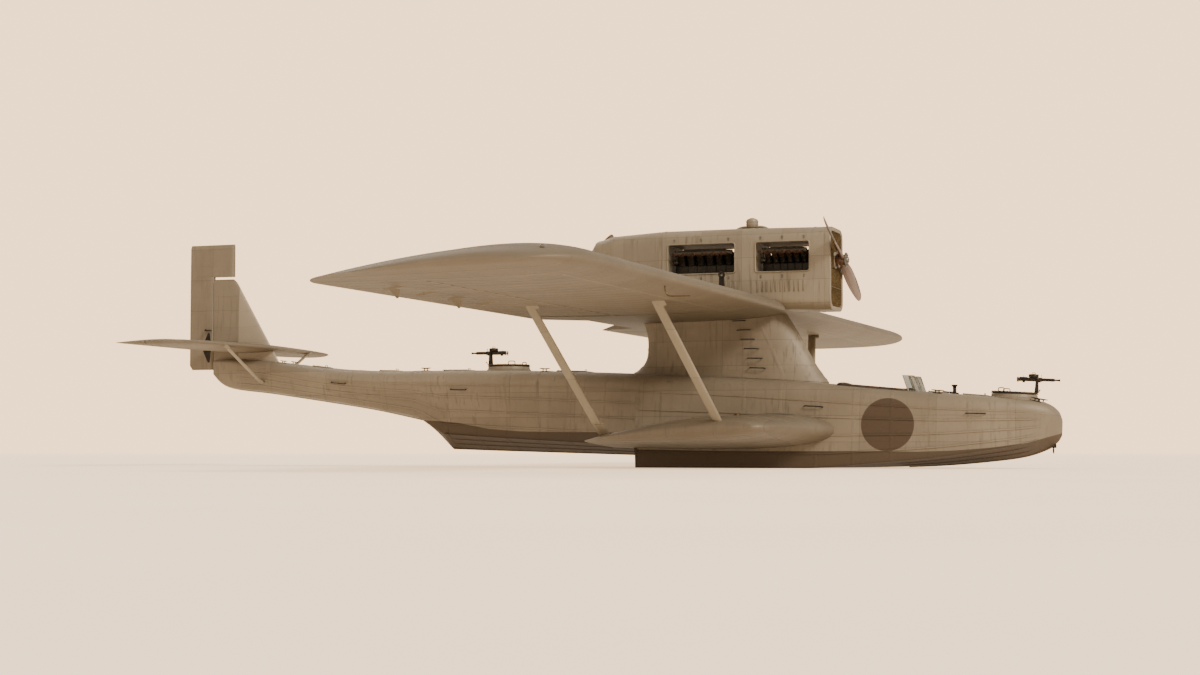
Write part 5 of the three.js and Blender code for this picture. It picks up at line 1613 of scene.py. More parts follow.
def engine_patches(back, front):
    """Iron, bright and exhaust parts of an engine between two places along the nacelle."""
    iron, bright, hot = [], [], []
    pitch, middle = (front - back - 0.19) / 6, (back + front) / 2
    base = BAY_LOW + 0.002
    iron.append(rounded_block([back + 0.06, -0.21, base], [front - 0.06, 0.21, base + 0.19],
                              0.03, 3, origin=STEP))
    for x in np.arange(back + 0.12, front - 0.1, pitch):
        iron.append(rounded_block([x - 0.008, -0.225, base + 0.01], [x + 0.008, 0.225, base + 0.17],
                                  0.006, 1, origin=STEP))
    for sign in (1, -1):
        out = np.array([0, math.sin(LEAN) * sign, math.cos(LEAN)])
        foot = STEP + np.array([0, sign * 0.095, BAY_LOW + 0.12])
        radius = pitch * 0.42
        jacket = [[0.01, 0.0], [radius * 1.12, 0.0], [radius * 1.12, 0.018], [radius, 0.024],
                  [radius, 0.11], [radius * 1.05, 0.116], [radius * 1.05, 0.13], [radius, 0.136],
                  [radius, 0.235], [radius * 1.05, 0.24], [radius * 1.05, 0.254], [radius * 0.96, 0.26],
                  [radius * 0.9, 0.31], [radius * 0.6, 0.325], [0.01, 0.325]]
        for k in range(6):
            x = middle + (k - 2.5) * pitch
            iron.append(turned(jacket, foot + AHEAD * x, out, 20))
            port = foot + AHEAD * x + out * 0.235
            reach = sign * 0.545 - (port - STEP)[1]
            bend = [port, port + [0.0, reach * 0.45, 0.03], port + [-0.03, reach * 0.8, 0.045],
                    port + [-0.055, reach, 0.03]]
            hot.append(pipe(bend, 0.030, 12, [0.95, 1.0, 1.0, 1.12], AHEAD))
            hot.append(turned([[0.012, 0], [0.046, 0], [0.046, 0.012], [0.012, 0.012]],
                              port + [0, sign * 0.04, 0.004], [0, sign, 0.1], 8))
            plug = foot + AHEAD * (x + radius * 0.4) + out * 0.318
            bright.append(rod(plug, plug + out * 0.05 + PORT * sign * 0.01, 0.009, 6, AHEAD))
        start, end = (foot + AHEAD * (middle + way * pitch * 2.9) + out * 0.335 for way in (-1, 1))
        cover = np.array([[-0.05, -0.03], [0.05, -0.03], [0.056, 0.0], [0.042, 0.036], [0.0, 0.052],
                          [-0.042, 0.036], [-0.056, 0.0]])
        bright.append(bar(np.linspace(start, end, 8), cover, out, [0.82, 1, 1, 1, 1, 1, 1, 0.82]))
        for k in range(7):
            spot = start + (end - start) * (k + 0.25) / 7.3
            bright.append(turned([[0.002, 0], [0.009, 0], [0.009, 0.01], [0.002, 0.012]],
                                 spot + out * 0.05, out, 6))
        wire = [start + out * 0.05 - AHEAD * 0.02, start + out * 0.01 - AHEAD * 0.05 + PORT * sign * -0.05,
                STEP + [back + 0.07, sign * 0.06, base + 0.21]]
        bright.append(pipe(wire, 0.012, 8, upright=AHEAD))
    bright.append(rod(STEP + [back + 0.1, 0, base + 0.31], STEP + [front - 0.1, 0, base + 0.31], 0.036, 14))
    for k in range(6):
        x = middle + (k - 2.5) * pitch
        for sign in (1, -1):
            bend = [[x, 0, base + 0.31], [x, sign * 0.06, base + 0.33], [x, sign * 0.12, base + 0.31]]
            bright.append(pipe(STEP + np.array(bend), 0.018, 8, upright=AHEAD))
    for x in (back + 0.05, front - 0.05):
        for sign in (1, -1):
            bright.append(turned([[0.002, -0.05], [0.038, -0.05], [0.045, -0.03], [0.045, 0.03],
                                  [0.038, 0.05], [0.002, 0.05]],
                                 STEP + [x, sign * 0.12, base + 0.25], AHEAD, 14))
    return iron, bright, hot


for name, (back, front) in BAYS.items():
    iron, bright, hot = engine_patches(back, front)
    piece(f"engine_{name}_block", iron, dark_iron, stands_for=["engine_" + name])
    piece(f"engine_{name}_covers", bright, sheet_metal, slot="dark_iron")
    piece(f"engine_{name}_exhausts", hot, exhaust_iron)
report("engines")

# %% [markdown]
# The radiator fills the nacelle's front: a pressed frame, a core of small hexagonal tubes, and a
# row of upright shutters in front of it. The core could be thousands of tubes, but it is seen
# through shutters from metres away, so its cells are a pattern in its relief and colour, and the
# shade inside each tube is painted into that colour as a near-black hole.

# %% Radiator and header tank
RADIATOR = {"back": 3.2004, "half": 0.500, "low": 2.990, "high": 4.480, "edge": 0.190,
            "inset": 0.070, "depth": 0.055}


def core_cells(name):
    """A core's face: cells from a fine Voronoi pattern in Y and Z, walls in the core's tone round holes
    painted near black as the shade inside the tubes.
    """
    made, tree, shader, place = shader_start(name, "radiator_brass")
    flat = add(tree, "Mapping", {"Vector": place, "Scale": (0.0, 1.0, 1.0)}).outputs[0]
    cells = add(tree, "TexVoronoi", {"Vector": flat, "Scale": 70.0, "Randomness": 0.15},
                feature="DISTANCE_TO_EDGE").outputs[0]
    wall = ramp(tree, cells, 0.08, 0.2, 1.0, 0.0)
    dust = use(tree, WEATHER, Vector=place, Size=2.0)["Cloud"]
    tone = blend(tree, dust, colour(74, 60, 42), colour(96, 82, 60))
    # The holes, where the wall mask is 0, take near black (18, 14, 10): painted shade for the inside of each
    # tube.
    dress(tree, shader, wall, 0.004, Base_Color=blend(tree, wall, colour(18, 14, 10), tone),
          Roughness=ramp(tree, wall, 0.0, 1.0, 0.8, 0.42), Metallic=0.6)
    return made


radiator_core = core_cells("radiator_core")


def frame_ring(x, inset):
    """A rounded rectangle across the nacelle's front at a place along it."""
    row = np.array([[x, RADIATOR["half"] - inset, RADIATOR["low"] + inset, RADIATOR["high"] - inset,
                     RADIATOR["edge"] - 0.6 * inset]])
    return box_rings(row)[0]


front_x = NACELLE_FRONT
profile = [(RADIATOR["back"], 0.0), (front_x - 0.012, 0.0), (front_x, 0.012),
           (front_x, RADIATOR["inset"] - 0.010), (front_x - 0.010, RADIATOR["inset"]),
           (front_x - RADIATOR["depth"] - 0.02, RADIATOR["inset"]),
           (RADIATOR["back"], RADIATOR["inset"] + 0.03)]
shell = skin(np.stack([frame_ring(x, inset) for x, inset in profile], 1), looped=True)
core = skin(np.stack([frame_ring(x, RADIATOR["inset"] - 0.004)
                      for x in (RADIATOR["back"] + 0.01, front_x - RADIATOR["depth"])]))
ring_profile = np.array([[0.068, -0.12], [0.15, -0.12], [0.15, -0.02], [0.138, -0.001], [0.068, -0.001]])
boss = turned(ring_profile, STEP + [front_x, 0, SHAFT_Z], AHEAD, 32, hollow=True)
shutters = []
for k in range(-4, 5):
    foot = STEP + [front_x - 0.034, k * 0.098, 0]
    gap = (SHAFT_Z - 0.16, SHAFT_Z + 0.16) if abs(k) < 2 else (3.73, 3.745)  # room for the shaft's boss
    for low, high in ((3.075, gap[0]), (gap[1], 4.395)):
        shutters.append(rounded_block([-0.022, -0.004, low], [0.022, 0.004, high], 0.003, 1,
                                      leaning(14), foot))
        shutters.append(rod(foot + UP * (low - 0.02), foot + UP * (high + 0.02), 0.006, 6))
shutters.append(rod(STEP + [front_x - 0.012, -0.42, 3.40], STEP + [front_x - 0.012, 0.42, 3.40], 0.007, 8))
piece("radiator_frame", [shell, boss], cowling_paint, stands_for=["radiator"])
piece("radiator_core", [core], radiator_core)
piece("radiator_shutters", shutters, brass)
tank_profile = [[0.002, -0.04], [0.07, -0.04], [0.07, 0.035], [0.098, 0.055], [0.108, 0.085],
                [0.110, 0.160], [0.100, 0.190], [0.070, 0.208], [0.045, 0.212],
                [0.042, 0.220], [0.002, 0.220]]
tank_at = STEP + [1.890, 0, 4.500]
tank_bands = [turned([[0.108, z - 0.012], [0.114, z - 0.010], [0.114, z + 0.010], [0.108, z + 0.012]],
                     tank_at, UP, 32, hollow=True)
              for z in (0.10, 0.15)]
pipe_run = np.array([[0.02, 0, 0.05], [0.16, 0, 0.055], [0.26, 0, 0.03], [0.34, 0, -0.02]])
water_pipes = [pipe(tank_at + pipe_run * (way, 1, 1), 0.024, 12, upright=PORT) for way in (1, -1)]
piece("header_tank_shell", [turned(tank_profile, tank_at, UP, 32), *tank_bands, *water_pipes],
      cowling_paint, stands_for=["header_tank"])
report("radiator and header")

# %% [markdown]
# Each propeller is two blades carved from glued planks, with brass sheathing on the outer leading
# edges and a steel plate bolted over the hub. The blade is a twisted aerofoil whose chord, thickness
# and pitch come from seven stations. A flat paddle would give the same outline and no life.

# %% Propellers
PROP_RADIUS = 1.600
# Columns: radius, chord, thickness in chords, pitch in degrees
BLADE = np.array([
    [0.060, 0.130, 0.60, 60], [0.260, 0.170, 0.42, 48], [0.520, 0.225, 0.22, 34], [0.880, 0.250, 0.14, 24],
    [1.230, 0.225, 0.10, 18], [1.480, 0.165, 0.08, 15], [PROP_RADIUS, 0.070, 0.07, 14],
])
BLADE_SMOOTH = smooth_rows(BLADE, 6)
PROPELLERS = {"front": (NACELLE_FRONT, 1, 68),
              "rear": (NACELLE_REAR, -1, -62)}  # seat x, facing, rest angle


def blade_surface(radius, share, side, facing, lift=0.0):
    """Points of a blade along +Z: its section lies across the radius, turned by the pitch there."""
    chord, thick, pitch = read_off(BLADE_SMOOTH, radius, 1, 2, 3)
    round_off = np.sqrt(np.clip((PROP_RADIUS - radius) / 0.05, 0.02, 1))
    chord = chord * (0.55 + 0.45 * round_off)
    up = (camber_line(0.03, share) + side * half_thick(thick, share)) * chord + side * lift
    aft = (share - 0.42) * chord
    turn = np.radians(pitch)
    x = facing * (0.112 - aft * np.sin(turn) + up * np.cos(turn))
    y = aft * np.cos(turn) + up * np.sin(turn)
    return np.stack(np.broadcast_arrays(x, y, radius), -1)


def about_x(points, degrees):
    """Points turned about the X axis."""
    c, s = math.cos(math.radians(degrees)), math.sin(math.radians(degrees))
    return points @ np.array([[1, 0, 0], [0, c, s], [0, -s, c]])


def placed(patch, seat_x, turn):
    """A patch of the propeller's own frame turned to its rest angle and put on its seat."""
    points, faces = patch
    return about_x(points, turn) + STEP + [seat_x, 0, SHAFT_Z], faces


for name, (seat_x, facing, rest) in PROPELLERS.items():
    radius = np.concatenate([np.linspace(0.06, 1.5, 40),
                             PROP_RADIUS - 0.1 * np.linspace(0.9, 0, 9) ** 2])[:, None]
    share, side = foil_shares(12)
    wood, metal, iron = [], [], []
    for turn in (rest, rest + 180):
        wood.append(placed(skin(blade_surface(radius, share[None], side[None], facing)), seat_x, turn))
        nose_share = np.r_[0.14, 0.06, 0.015, 0.0, 0.015, 0.06, 0.14]
        nose_side = np.r_[1, 1, 1, 1, -1, -1, -1]
        outer = np.linspace(0.86, 1.585, 22)[:, None]
        cap = np.concatenate([blade_surface(outer, nose_share[None], nose_side[None], facing, 0.0014),
                              blade_surface(outer, nose_share[None, ::-1], nose_side[None, ::-1],
                                            facing, -0.001)], 1)
        metal.append(placed(skin(cap), seat_x, turn))
    core = [[0.002, 0.020], [0.128, 0.020], [0.135, 0.030], [0.135, 0.048], [0.100, 0.062],
            [0.097, 0.160], [0.002, 0.162]]
    wood.append(placed(turned(np.array(core) * (1, facing), (0, 0, 0), AHEAD, 32), seat_x, rest))
    plate = [[0.002, 0.162], [0.130, 0.162], [0.135, 0.167], [0.135, 0.183], [0.126, 0.190], [0.060, 0.193],
             [0.052, 0.214], [0.040, 0.224], [0.002, 0.225]]
    iron.append(placed(turned(np.array(plate) * (1, facing), (0, 0, 0), AHEAD, 36), seat_x, rest))
    shaft = [[0.002, -0.07], [0.055, -0.07], [0.055, 0.02], [0.002, 0.02]]
    iron.append(placed(turned(np.array(shaft) * (1, facing), (0, 0, 0), AHEAD, 24), seat_x, rest))
    for k in range(8):
        angle = 2 * np.pi * k / 8
        spot = np.array([facing * 0.186, 0.095 * math.cos(angle), 0.095 * math.sin(angle)])
        nut = np.array([[0.002, 0], [0.0135, 0], [0.0135, 0.012], [0.007, 0.015],
                        [0.007, 0.020], [0.002, 0.021]])
        iron.append(placed(turned(nut * (1, facing), spot, AHEAD, 6), seat_x, rest))
    body = "propeller_" + name
    piece(f"propeller_{name}_blades", wood, propeller_wood, body, [body])
    piece(f"propeller_{name}_tips", metal, brass, body, slot="varnished_wood")
    piece(f"propeller_{name}_hub", iron, steel, body)
report("propellers")

# %% [markdown]
# The heads that hold the plating sit in rows along each strap and rib. Modelling each would be
# endless by hand, and a picture of them would smear at the bow, so one dome of eight faces is
# copied to every place that the skin's formulas give, with its axis along the skin's normal.

# %% Rivets on the hull and the pylon
RIVET = {"radius": 0.0075, "height": 0.0042, "pitch": 0.072}


def between(values, at, run=None):
    """Rows of values at places on a run, which counts the rows where none is given."""
    run = np.arange(len(values)) if run is None else run
    return np.stack([np.interp(at, run, values[:, c]) for c in range(values.shape[1])], -1)


def along_line(points, pitch):
    """Places at an even pitch along a line of points, and how many points lie before each."""
    run = np.concatenate([[0], np.cumsum(np.linalg.norm(np.diff(points, axis=0), axis=1))])
    spots = np.arange(pitch / 2, run[-1], pitch)
    return between(points, spots, run), np.interp(spots, run, np.arange(len(points)))


def strap_rivets(x, sign):
    """Two rows along a strap, one near each edge."""
    last = SHOULDER_END + (FLAT_STEPS - 2 if on_deck(x) else 0)
    first = FLAT_STEPS + 1 if FLAT_BOTTOM[0] < x < FLAT_BOTTOM[1] else 1
    spots, axes = [], []
    for offset in (-0.022, 0.022):
        line = half_section(hull_rows_at([x + offset]))[0, first:last] * (1, sign, 1)
        outward = unit(np.cross(AHEAD, unit(np.gradient(line, axis=0)))) * -sign
        places, at = along_line(line, RIVET["pitch"])
        normals = between(outward, at)
        spots.append(places + normals * 0.003)
        axes.append(axes_on(normals, AHEAD))
    return np.concatenate(spots), np.concatenate(axes)


def rib_rivets(line, run, share, sign, offset):
    """A row along a rib, to one side of it."""
    (low, outward), (high, _) = (line(run, share + step, sign) for step in (-0.01, 0.01))
    row = (low + high) / 2 + unit(high - low) * offset
    places, at = along_line(row, RIVET["pitch"])
    return places, axes_on(between(outward, at), AHEAD)


def riveted(name, rows, paint, size=1.0):
    """One piece of all the domes whose places and axes the rows give."""
    head = dome(RIVET["radius"] * size, RIVET["height"] * size)
    spots, axes = (np.concatenate(part) for part in zip(*rows))
    return piece(name, [copies(head, spots, axes)], paint, sharp=60)


riveted("hull_rivets_straps", [strap_rivets(x, sign) for x in STRAPS_X for sign in (1, -1)], hull_paint)
riveted("hull_rivets_ribs", [rib_rivets(side_line, SIDE_RUN, share, sign, way * 0.024)
                             for share in SIDE_SHARES for sign in (1, -1) for way in (1, -1)], hull_paint)
pylon_rows = []
for share in (0.215, 0.235, 0.495, 0.515, 0.775, 0.795):
    ring = pylon_point(share, ROUND, 0.004)
    places, at = along_line(np.vstack([ring, ring[:1]]), 0.06)
    turn = np.interp(at, np.arange(73), np.linspace(0, 2 * np.pi, 73))
    pylon_rows.append((places, axes_on(np.stack([np.cos(turn) * 0.4, np.sin(turn), 0 * turn], -1), UP)))
riveted("pylon_rivets", pylon_rows, hull_paint)
nacelle_rows = []
for x in BANDS_X:
    ring = box_rings(nacelle_rows_at(np.array([x])), lift=0.003)[0]
    middle = ring.mean(axis=0)
    for offset in (-0.014, 0.014):
        places, _ = along_line(np.vstack([ring, ring[:1]]) + AHEAD * offset, 0.055)
        nacelle_rows.append((places, axes_on((places - middle) * (0, 1, 1), AHEAD)))
riveted("nacelle_rivets", nacelle_rows, cowling_paint, size=0.8)
report("rivets")

# %% [markdown]
# On deck are the things that hands and feet use: flush hatches, grab handles, cleats for the mooring
# lines, a towing ring on the stem and steps up the pylon. They are small rounded blocks and bent
# bars. Without them the deck reads as a toy's, whatever its paint.

# %% Hatches, handles and mooring gear
def deck_axes(x):
    """Axes on the deck's middle at a place along it: x forward along the deck, z square to it."""
    slope = float(deck_height(x + 0.05) - deck_height(x - 0.05)) / 0.1
    ahead = unit(np.array([1.0, 0.0, slope]))
    return np.stack([ahead, PORT, np.cross(ahead, PORT)])


def on_deck_place(x, y=0.0, lift=0.0):
    """A point on the deck at a place along it and off its middle, which the crown lowers."""
    row = hull_rows_at(x)[0]
    share = y / (row[4] - row[6])
    return np.array([x + STEP[0], y, row[5] + STEP[2] - CROWN * row[4] * share**2 + lift])


def handle(first, second, outward, rise, radius=0.010):
    """A bent bar between two feet: straight up, a round corner, across, and down again."""
    first, second = np.asarray(first, float), np.asarray(second, float)
    across = (second - first) * 0.12
    points = [first - outward * 0.004, first + outward * rise * 0.6, first + across + outward * rise,
              second - across + outward * rise, second + outward * rise * 0.6, second - outward * 0.004]
    return pipe(points, radius, 8, upright=np.cross(unit(second - first), outward))


def cleat(place, axes, size=1.0):
    """A mooring cleat: a base, two posts and a horn that tapers to both ends."""
    half = size * np.array([0.09, 0.025, 0.006])
    parts = [rounded_block(-half, half, 0.005 * size, 1, axes, place)]
    for way in (-1, 1):
        parts.append(rod(place + axes[0] * way * 0.035 * size,
                         place + axes[0] * way * 0.035 * size + axes[2] * 0.045 * size, 0.011 * size, 8))
    horn = [place + axes[0] * step * 0.12 * size + axes[2] * (0.048 + 0.01 * abs(step)) * size
            for step in np.linspace(-1, 1, 9)]
    parts.append(bar(horn, circle(0.013 * size, 8), axes[2], [0.35, 0.7, 0.95, 1, 1, 1, 0.95, 0.7, 0.35]))
    return parts


def hatch(x, y, long, wide):
    """A cover on the deck with a raised rim, two hinges and a catch."""
    place, axes = on_deck_place(x, y, 0.004), deck_axes(x)
    parts = [rounded_block([-long / 2, -wide / 2, -0.012], [long / 2, wide / 2, 0.008],
                           0.007, 2, axes, place)]
    parts.append(rounded_block([-long / 2 + 0.03, -wide / 2 + 0.03, 0],
                               [long / 2 - 0.03, wide / 2 - 0.03, 0.013], 0.006, 2, axes, place))
    for way in (-1, 1):
        pin = place + axes[1] * way * wide * 0.28 - axes[0] * long / 2 + axes[2] * 0.008
        parts.append(rod(pin - axes[1] * 0.045, pin + axes[1] * 0.045, 0.009, 8))
    grip = place + axes[0] * (long / 2 - 0.07) + axes[2] * 0.012
    parts.append(handle(grip - axes[1] * 0.045, grip + axes[1] * 0.045, axes[2], 0.026, 0.006))
    return parts


deck_parts, gear_parts = [], []
for x, y, long, wide in ((5.95, 0.0, 0.42, 0.46), (5.28, 0.0, 0.30, 0.40), (-1.55, 0.0, 0.55, 0.60),
                         (-3.85, 0.0, 0.40, 0.46), (-5.35, 0.0, 0.36, 0.40), (-6.85, 0.0, 0.30, 0.32)):
    deck_parts += hatch(x, y, long, wide)
piece("deck_hatches", deck_parts, deck_paint)
for x in (7.02, 5.35, -1.95, -4.4, -7.6):
    for sign in (1, -1):
        row = hull_rows_at(x)[0]
        place = on_deck_place(x, sign * (row[4] - row[6]) * 0.86, 0.006)
        gear_parts += cleat(place, deck_axes(x), 0.9 if x > -7 else 0.7)
for x in (6.05, 3.25, -3.6, -6.2):
    for sign in (1, -1):
        points, outward = side_line([x - 0.16, x + 0.16], 0.86, sign)
        gear_parts.append(handle(points[0], points[1], outward[0], 0.05))
stem = bottom_line(np.array([7.26]), 0.0, 1)[0][0]
gear_parts.append(rounded_block([-0.05, -0.022, -0.035], [0.05, 0.022, 0.03], 0.010, 2, origin=stem))
ring_turn = full_turn(24)
tow_ring = stem - UP * 0.075 + 0.05 * np.stack([0 * ring_turn, np.sin(ring_turn), np.cos(ring_turn)], -1)
gear_parts.append(bar(tow_ring, circle(0.009, 8), AHEAD, looped=True))
for share in (0.24, 0.36, 0.48, 0.60, 0.72, 0.84):
    for sign in (1, -1):
        turn = sign * math.radians(68)
        left, right = pylon_point(share, turn - 0.09), pylon_point(share, turn + 0.09)
        gear_parts.append(handle(left, right,
                                 unit(np.array([math.cos(turn) * 0.5, math.sin(turn), 0])), 0.085, 0.009))
piece("deck_gear", gear_parts, dark_iron)
bollard_profile = [[0.002, -0.03], [0.075, -0.03], [0.078, 0.004], [0.070, 0.014], [0.036, 0.024],
                   [0.030, 0.05], [0.030, 0.110], [0.040, 0.130], [0.053, 0.138], [0.055, 0.150],
                   [0.048, 0.160], [0.002, 0.160]]
STUD = [[0.002, 0], [0.009, 0], [0.009, 0.008], [0.002, 0.010]]
post = on_deck_place(5.56)
bollard = [turned(bollard_profile, post, UP, 28),
           rod(post + [0, -0.10, 0.085], post + [0, 0.10, 0.085], 0.012, 10)]
for angle in np.arange(6) * np.pi / 3:
    bollard.append(turned(STUD, post + [0.06 * math.cos(angle), 0.06 * math.sin(angle), 0.010], UP, 6))
piece("bow_bollard_post", bollard, dark_iron, stands_for=["bow_bollard"])
report("hatches and gear")

# %% [markdown]
# Wells and cockpit have raised edges, because a gunner leans on them and a pilot climbs over them.
# The gunners' coamings are metal collars with a padded leather roll inside their rims. The cockpit's
# edge is one long leather roll over the deck's curve, tied down with stitches every few centimetres.

# %% Coamings and padded rims
for name, ring in RINGS.items():
    collar = [[WELL["inner"] + 0.001, -0.09], [WELL["outer"] + 0.030, -0.09],
              [WELL["outer"] + 0.026, 0.006], [WELL["outer"] + 0.006, 0.020], [WELL["outer"], 0.060],
              [WELL["outer"] - 0.006, WELL["rise"]], [WELL["inner"] + 0.008, WELL["rise"]],
              [WELL["inner"] + 0.001, WELL["rise"] - 0.008]]
    body = turned(collar, ring_place(ring, [0, 0, 0]), ring_axes(ring)[2], 56, hollow=True)
    bolts = []
    for angle in full_turn(24):
        spot = ring_place(ring, [(WELL["outer"] + 0.016) * math.cos(angle),
                                 (WELL["outer"] + 0.016) * math.sin(angle), 0.008])
        bolts.append(turned(STUD, spot, ring_axes(ring)[2], 6))
    piece(f"coaming_{name}", [body, *bolts], hull_paint)
    turn = full_turn(72)
    swell = 1 + 0.10 * np.sin(turn * 18) ** 2
    circle_path = np.stack([(WELL["inner"] - 0.018) * np.cos(turn), (WELL["inner"] - 0.018) * np.sin(turn),
                            0.035 + 0 * turn], -1)
    roll = bar(ring_place(ring, circle_path), circle(0.020, 12), ring_axes(ring)[2], swell, looped=True)
    piece(f"coaming_roll_{name}", [roll], rim_hide, sharp=60)


def cockpit_edge(inset, lift, corner=0.10, steps=40):
    """A rounded rectangle just outside the cockpit's hole, dropped onto the crowned deck."""
    back, front, half = COCKPIT["back"] - inset, COCKPIT["front"] + inset, COCKPIT["half"] + inset
    flat = rounded_rectangle((back, -half), (front, half), corner, 8)
    flat = np.vstack([flat, flat[:1]])
    run = np.concatenate([[0], np.cumsum(np.linalg.norm(np.diff(flat, axis=0), axis=1))])
    even = np.linspace(0, run[-1], 4 * steps + 1)[:-1]
    x, y = (np.interp(even, run, flat[:, c]) for c in range(2))
    rows = hull_rows_at(x)
    share = np.clip(np.abs(y) / (rows[:, 4] - rows[:, 6]), 0, 1)
    z = rows[:, 5] - CROWN * rows[:, 4] * share**2 + lift
    return from_step(x, y, z)


edge_path = cockpit_edge(0.012, 0.012)
ripple = 1 + 0.07 * np.sin(np.linspace(0, 2 * np.pi * 34, len(edge_path), endpoint=False)) ** 2
piece("cockpit_roll", [bar(edge_path, circle(0.030, 14), UP, ripple, looped=True)], rim_hide, sharp=60)
frame_section = np.array([[-0.016, -0.03], [0.016, -0.03], [0.016, 0.004], [-0.016, 0.004]])
piece("cockpit_frame", [bar(cockpit_edge(0.050, 0.003), frame_section, UP, looped=True)], deck_paint)
report("coamings")

# %% [markdown]
# A gunner pushes the gun round the well by hand, so its ring is a toothed rail that rolls on the
# coaming, with two tall ears that hold the gun's pivot above the rim. The gun itself is a plain one
# of its time: a box of works, a finned jacket, a flat drum on top and two upright grips. A rod with
# a box on it would stand for it from afar. Up close the fins, drum ribs and sights are what is read.

# %% Gun rings
RAIL_TEETH, RAIL_STEPS = 72, 4
RAIL_PROFILE = np.array([  # radius and height of the rail's section, anticlockwise
    [0.351, 0.077], [0.402, 0.077], [0.403, 0.080], [0.403, 0.094], [0.395, 0.097], [0.393, 0.108],
    [0.389, 0.112], [0.360, 0.112], [0.356, 0.108], [0.355, 0.097], [0.351, 0.094],
])
GUN_PLACE = np.array([0.376, 0.0, 0.340])


def plate(outline, thick, origin, axes, edge=0.002):
    """An outline in the first two axes, thick along the third, its rims drawn in by edge."""
    outline = np.asarray(outline, float)
    away = outline - outline.mean(axis=0)
    inner = outline - away * edge / np.maximum(np.linalg.norm(away, axis=1, keepdims=True), edge)
    shapes = zip((inner, outline, outline, inner),
                 (-thick / 2, edge - thick / 2, thick / 2 - edge, thick / 2))
    rings = np.stack([np.c_[shape, np.full(len(outline), height)] for shape, height in shapes])
    return skin(np.asarray(origin, float) + rings @ np.asarray(axes, float))


def arc(centre, radius, start, end, steps=7):
    """Points on a circle's arc between two angles in degrees, as (steps, 2)."""
    turn = np.radians(np.linspace(start, end, steps))
    return np.asarray(centre) + radius * np.stack([np.cos(turn), np.sin(turn)], -1)


def hex_heads(places, axis, radius=0.009, height=0.007):
    """Six-sided bolt heads with a low crown, all along one axis."""
    head = turned([[0.001, -height * 0.3], [radius, -height * 0.3], [radius, height * 0.8],
                   [radius * 0.8, height], [0.001, height]], sides=6)
    places = np.atleast_2d(places)
    along = AHEAD if abs(unit(np.asarray(axis, float))[0]) < 0.8 else PORT
    return copies(head, places, axes_on(np.broadcast_to(axis, places.shape), along))


def toothed_rail(ring):
    """The rail's section turned round the ring, its outer rim drawn in at every other pair of steps."""
    turn = full_turn(RAIL_TEETH * RAIL_STEPS)
    gap = (np.arange(len(turn)) // 2 % 2)[:, None] * 0.006
    radius = RAIL_PROFILE[None, :, 0] - gap * (RAIL_PROFILE[None, :, 0] > 0.4)
    rings = np.stack([radius * np.cos(turn)[:, None], radius * np.sin(turn)[:, None],
                      np.broadcast_to(RAIL_PROFILE[:, 1], radius.shape)], -1)
    return skin(ring_place(ring, rings), looped=True)


def ring_mount(ring):
    """Rail, saddle, two ears with their brace and pivot bolt, a lock lever and two hand loops."""
    ahead, left, up = ring_axes(ring)
    parts = [toothed_rail(ring)]
    parts.append(rounded_block([0.340, -0.050, 0.106], [0.410, 0.050, 0.124], 0.006, 2, ring_axes(ring),
                               ring_place(ring, [0, 0, 0])))
    ear = np.vstack([[[0.345, 0.118], [0.407, 0.118]], arc([0.376, 0.340], 0.018, 0, 180)])
    for y in (-0.040, 0.040):
        parts.append(plate(ear, 0.010, ring_place(ring, [0, y, 0]), np.stack([ahead, up, left]), 0.0015))
        rim = np.array([[0.349, y, 0.125], [0.356, y, 0.20], [0.3625, y, 0.325]])
        mirrored = rim * (-1, 1, 1) + [2 * GUN_PLACE[0], 0, 0]
        parts += [pipe(ring_place(ring, line), 0.006, 8, upright=left) for line in (rim, mirrored)]
        parts.append(turned([[0.002, 0], [0.020, 0], [0.020, 0.006], [0.012, 0.009], [0.002, 0.009]],
                            ring_place(ring, [0.376, y + math.copysign(0.005, y), 0.340]),
                            left * math.copysign(1, y), 20))
    for z in (0.170, 0.250):
        start, end = ring_place(ring, [0.376, -0.040, z]), ring_place(ring, [0.376, 0.040, z])
        parts.append(rod(start, end, 0.006, 10, up))
    turn = np.radians(np.arange(16) * 22.5 + 11.25)
    spots = ring_place(ring, np.stack([0.3745 * np.cos(turn), 0.3745 * np.sin(turn), 0 * turn + 0.112], -1))
    parts.append(hex_heads(spots, up, 0.0075, 0.005))
    corners = ring_place(ring, [[0.350, -0.042, 0.124], [0.350, 0.042, 0.124], [0.402, -0.042, 0.124],
                                [0.402, 0.042, 0.124]])
    parts.append(hex_heads(corners, up, 0.006, 0.005))
    lever = ring_place(ring, [[0.400, 0.056, 0.118], [0.410, 0.075, 0.128], [0.412, 0.105, 0.150],
                              [0.412, 0.130, 0.160]])
    knob = [[0.001, -0.012], [0.011, -0.008], [0.013, 0.0], [0.011, 0.008], [0.001, 0.012]]
    parts += [pipe(lever, 0.006, 8), turned(knob, lever[-1], up, 12)]
    for angle in np.radians([120, 240]):
        feet = [ring_place(ring, [0.3745 * math.cos(angle + part), 0.3745 * math.sin(angle + part), 0.110])
                for part in (-0.16, 0.16)]
        parts.append(handle(feet[0], feet[1], up, 0.055, 0.008))
    return parts


for name, ring in RINGS.items():
    piece(f"ring_mount_{name}", ring_mount(ring), dark_iron, f"gun_ring_{name}",
          [f"gun_ring_{name}"], sharp=40)
report("gun rings")

# %% Guns
DRUM = {"x": -0.060, "radius": 0.088, "ribs": 24}


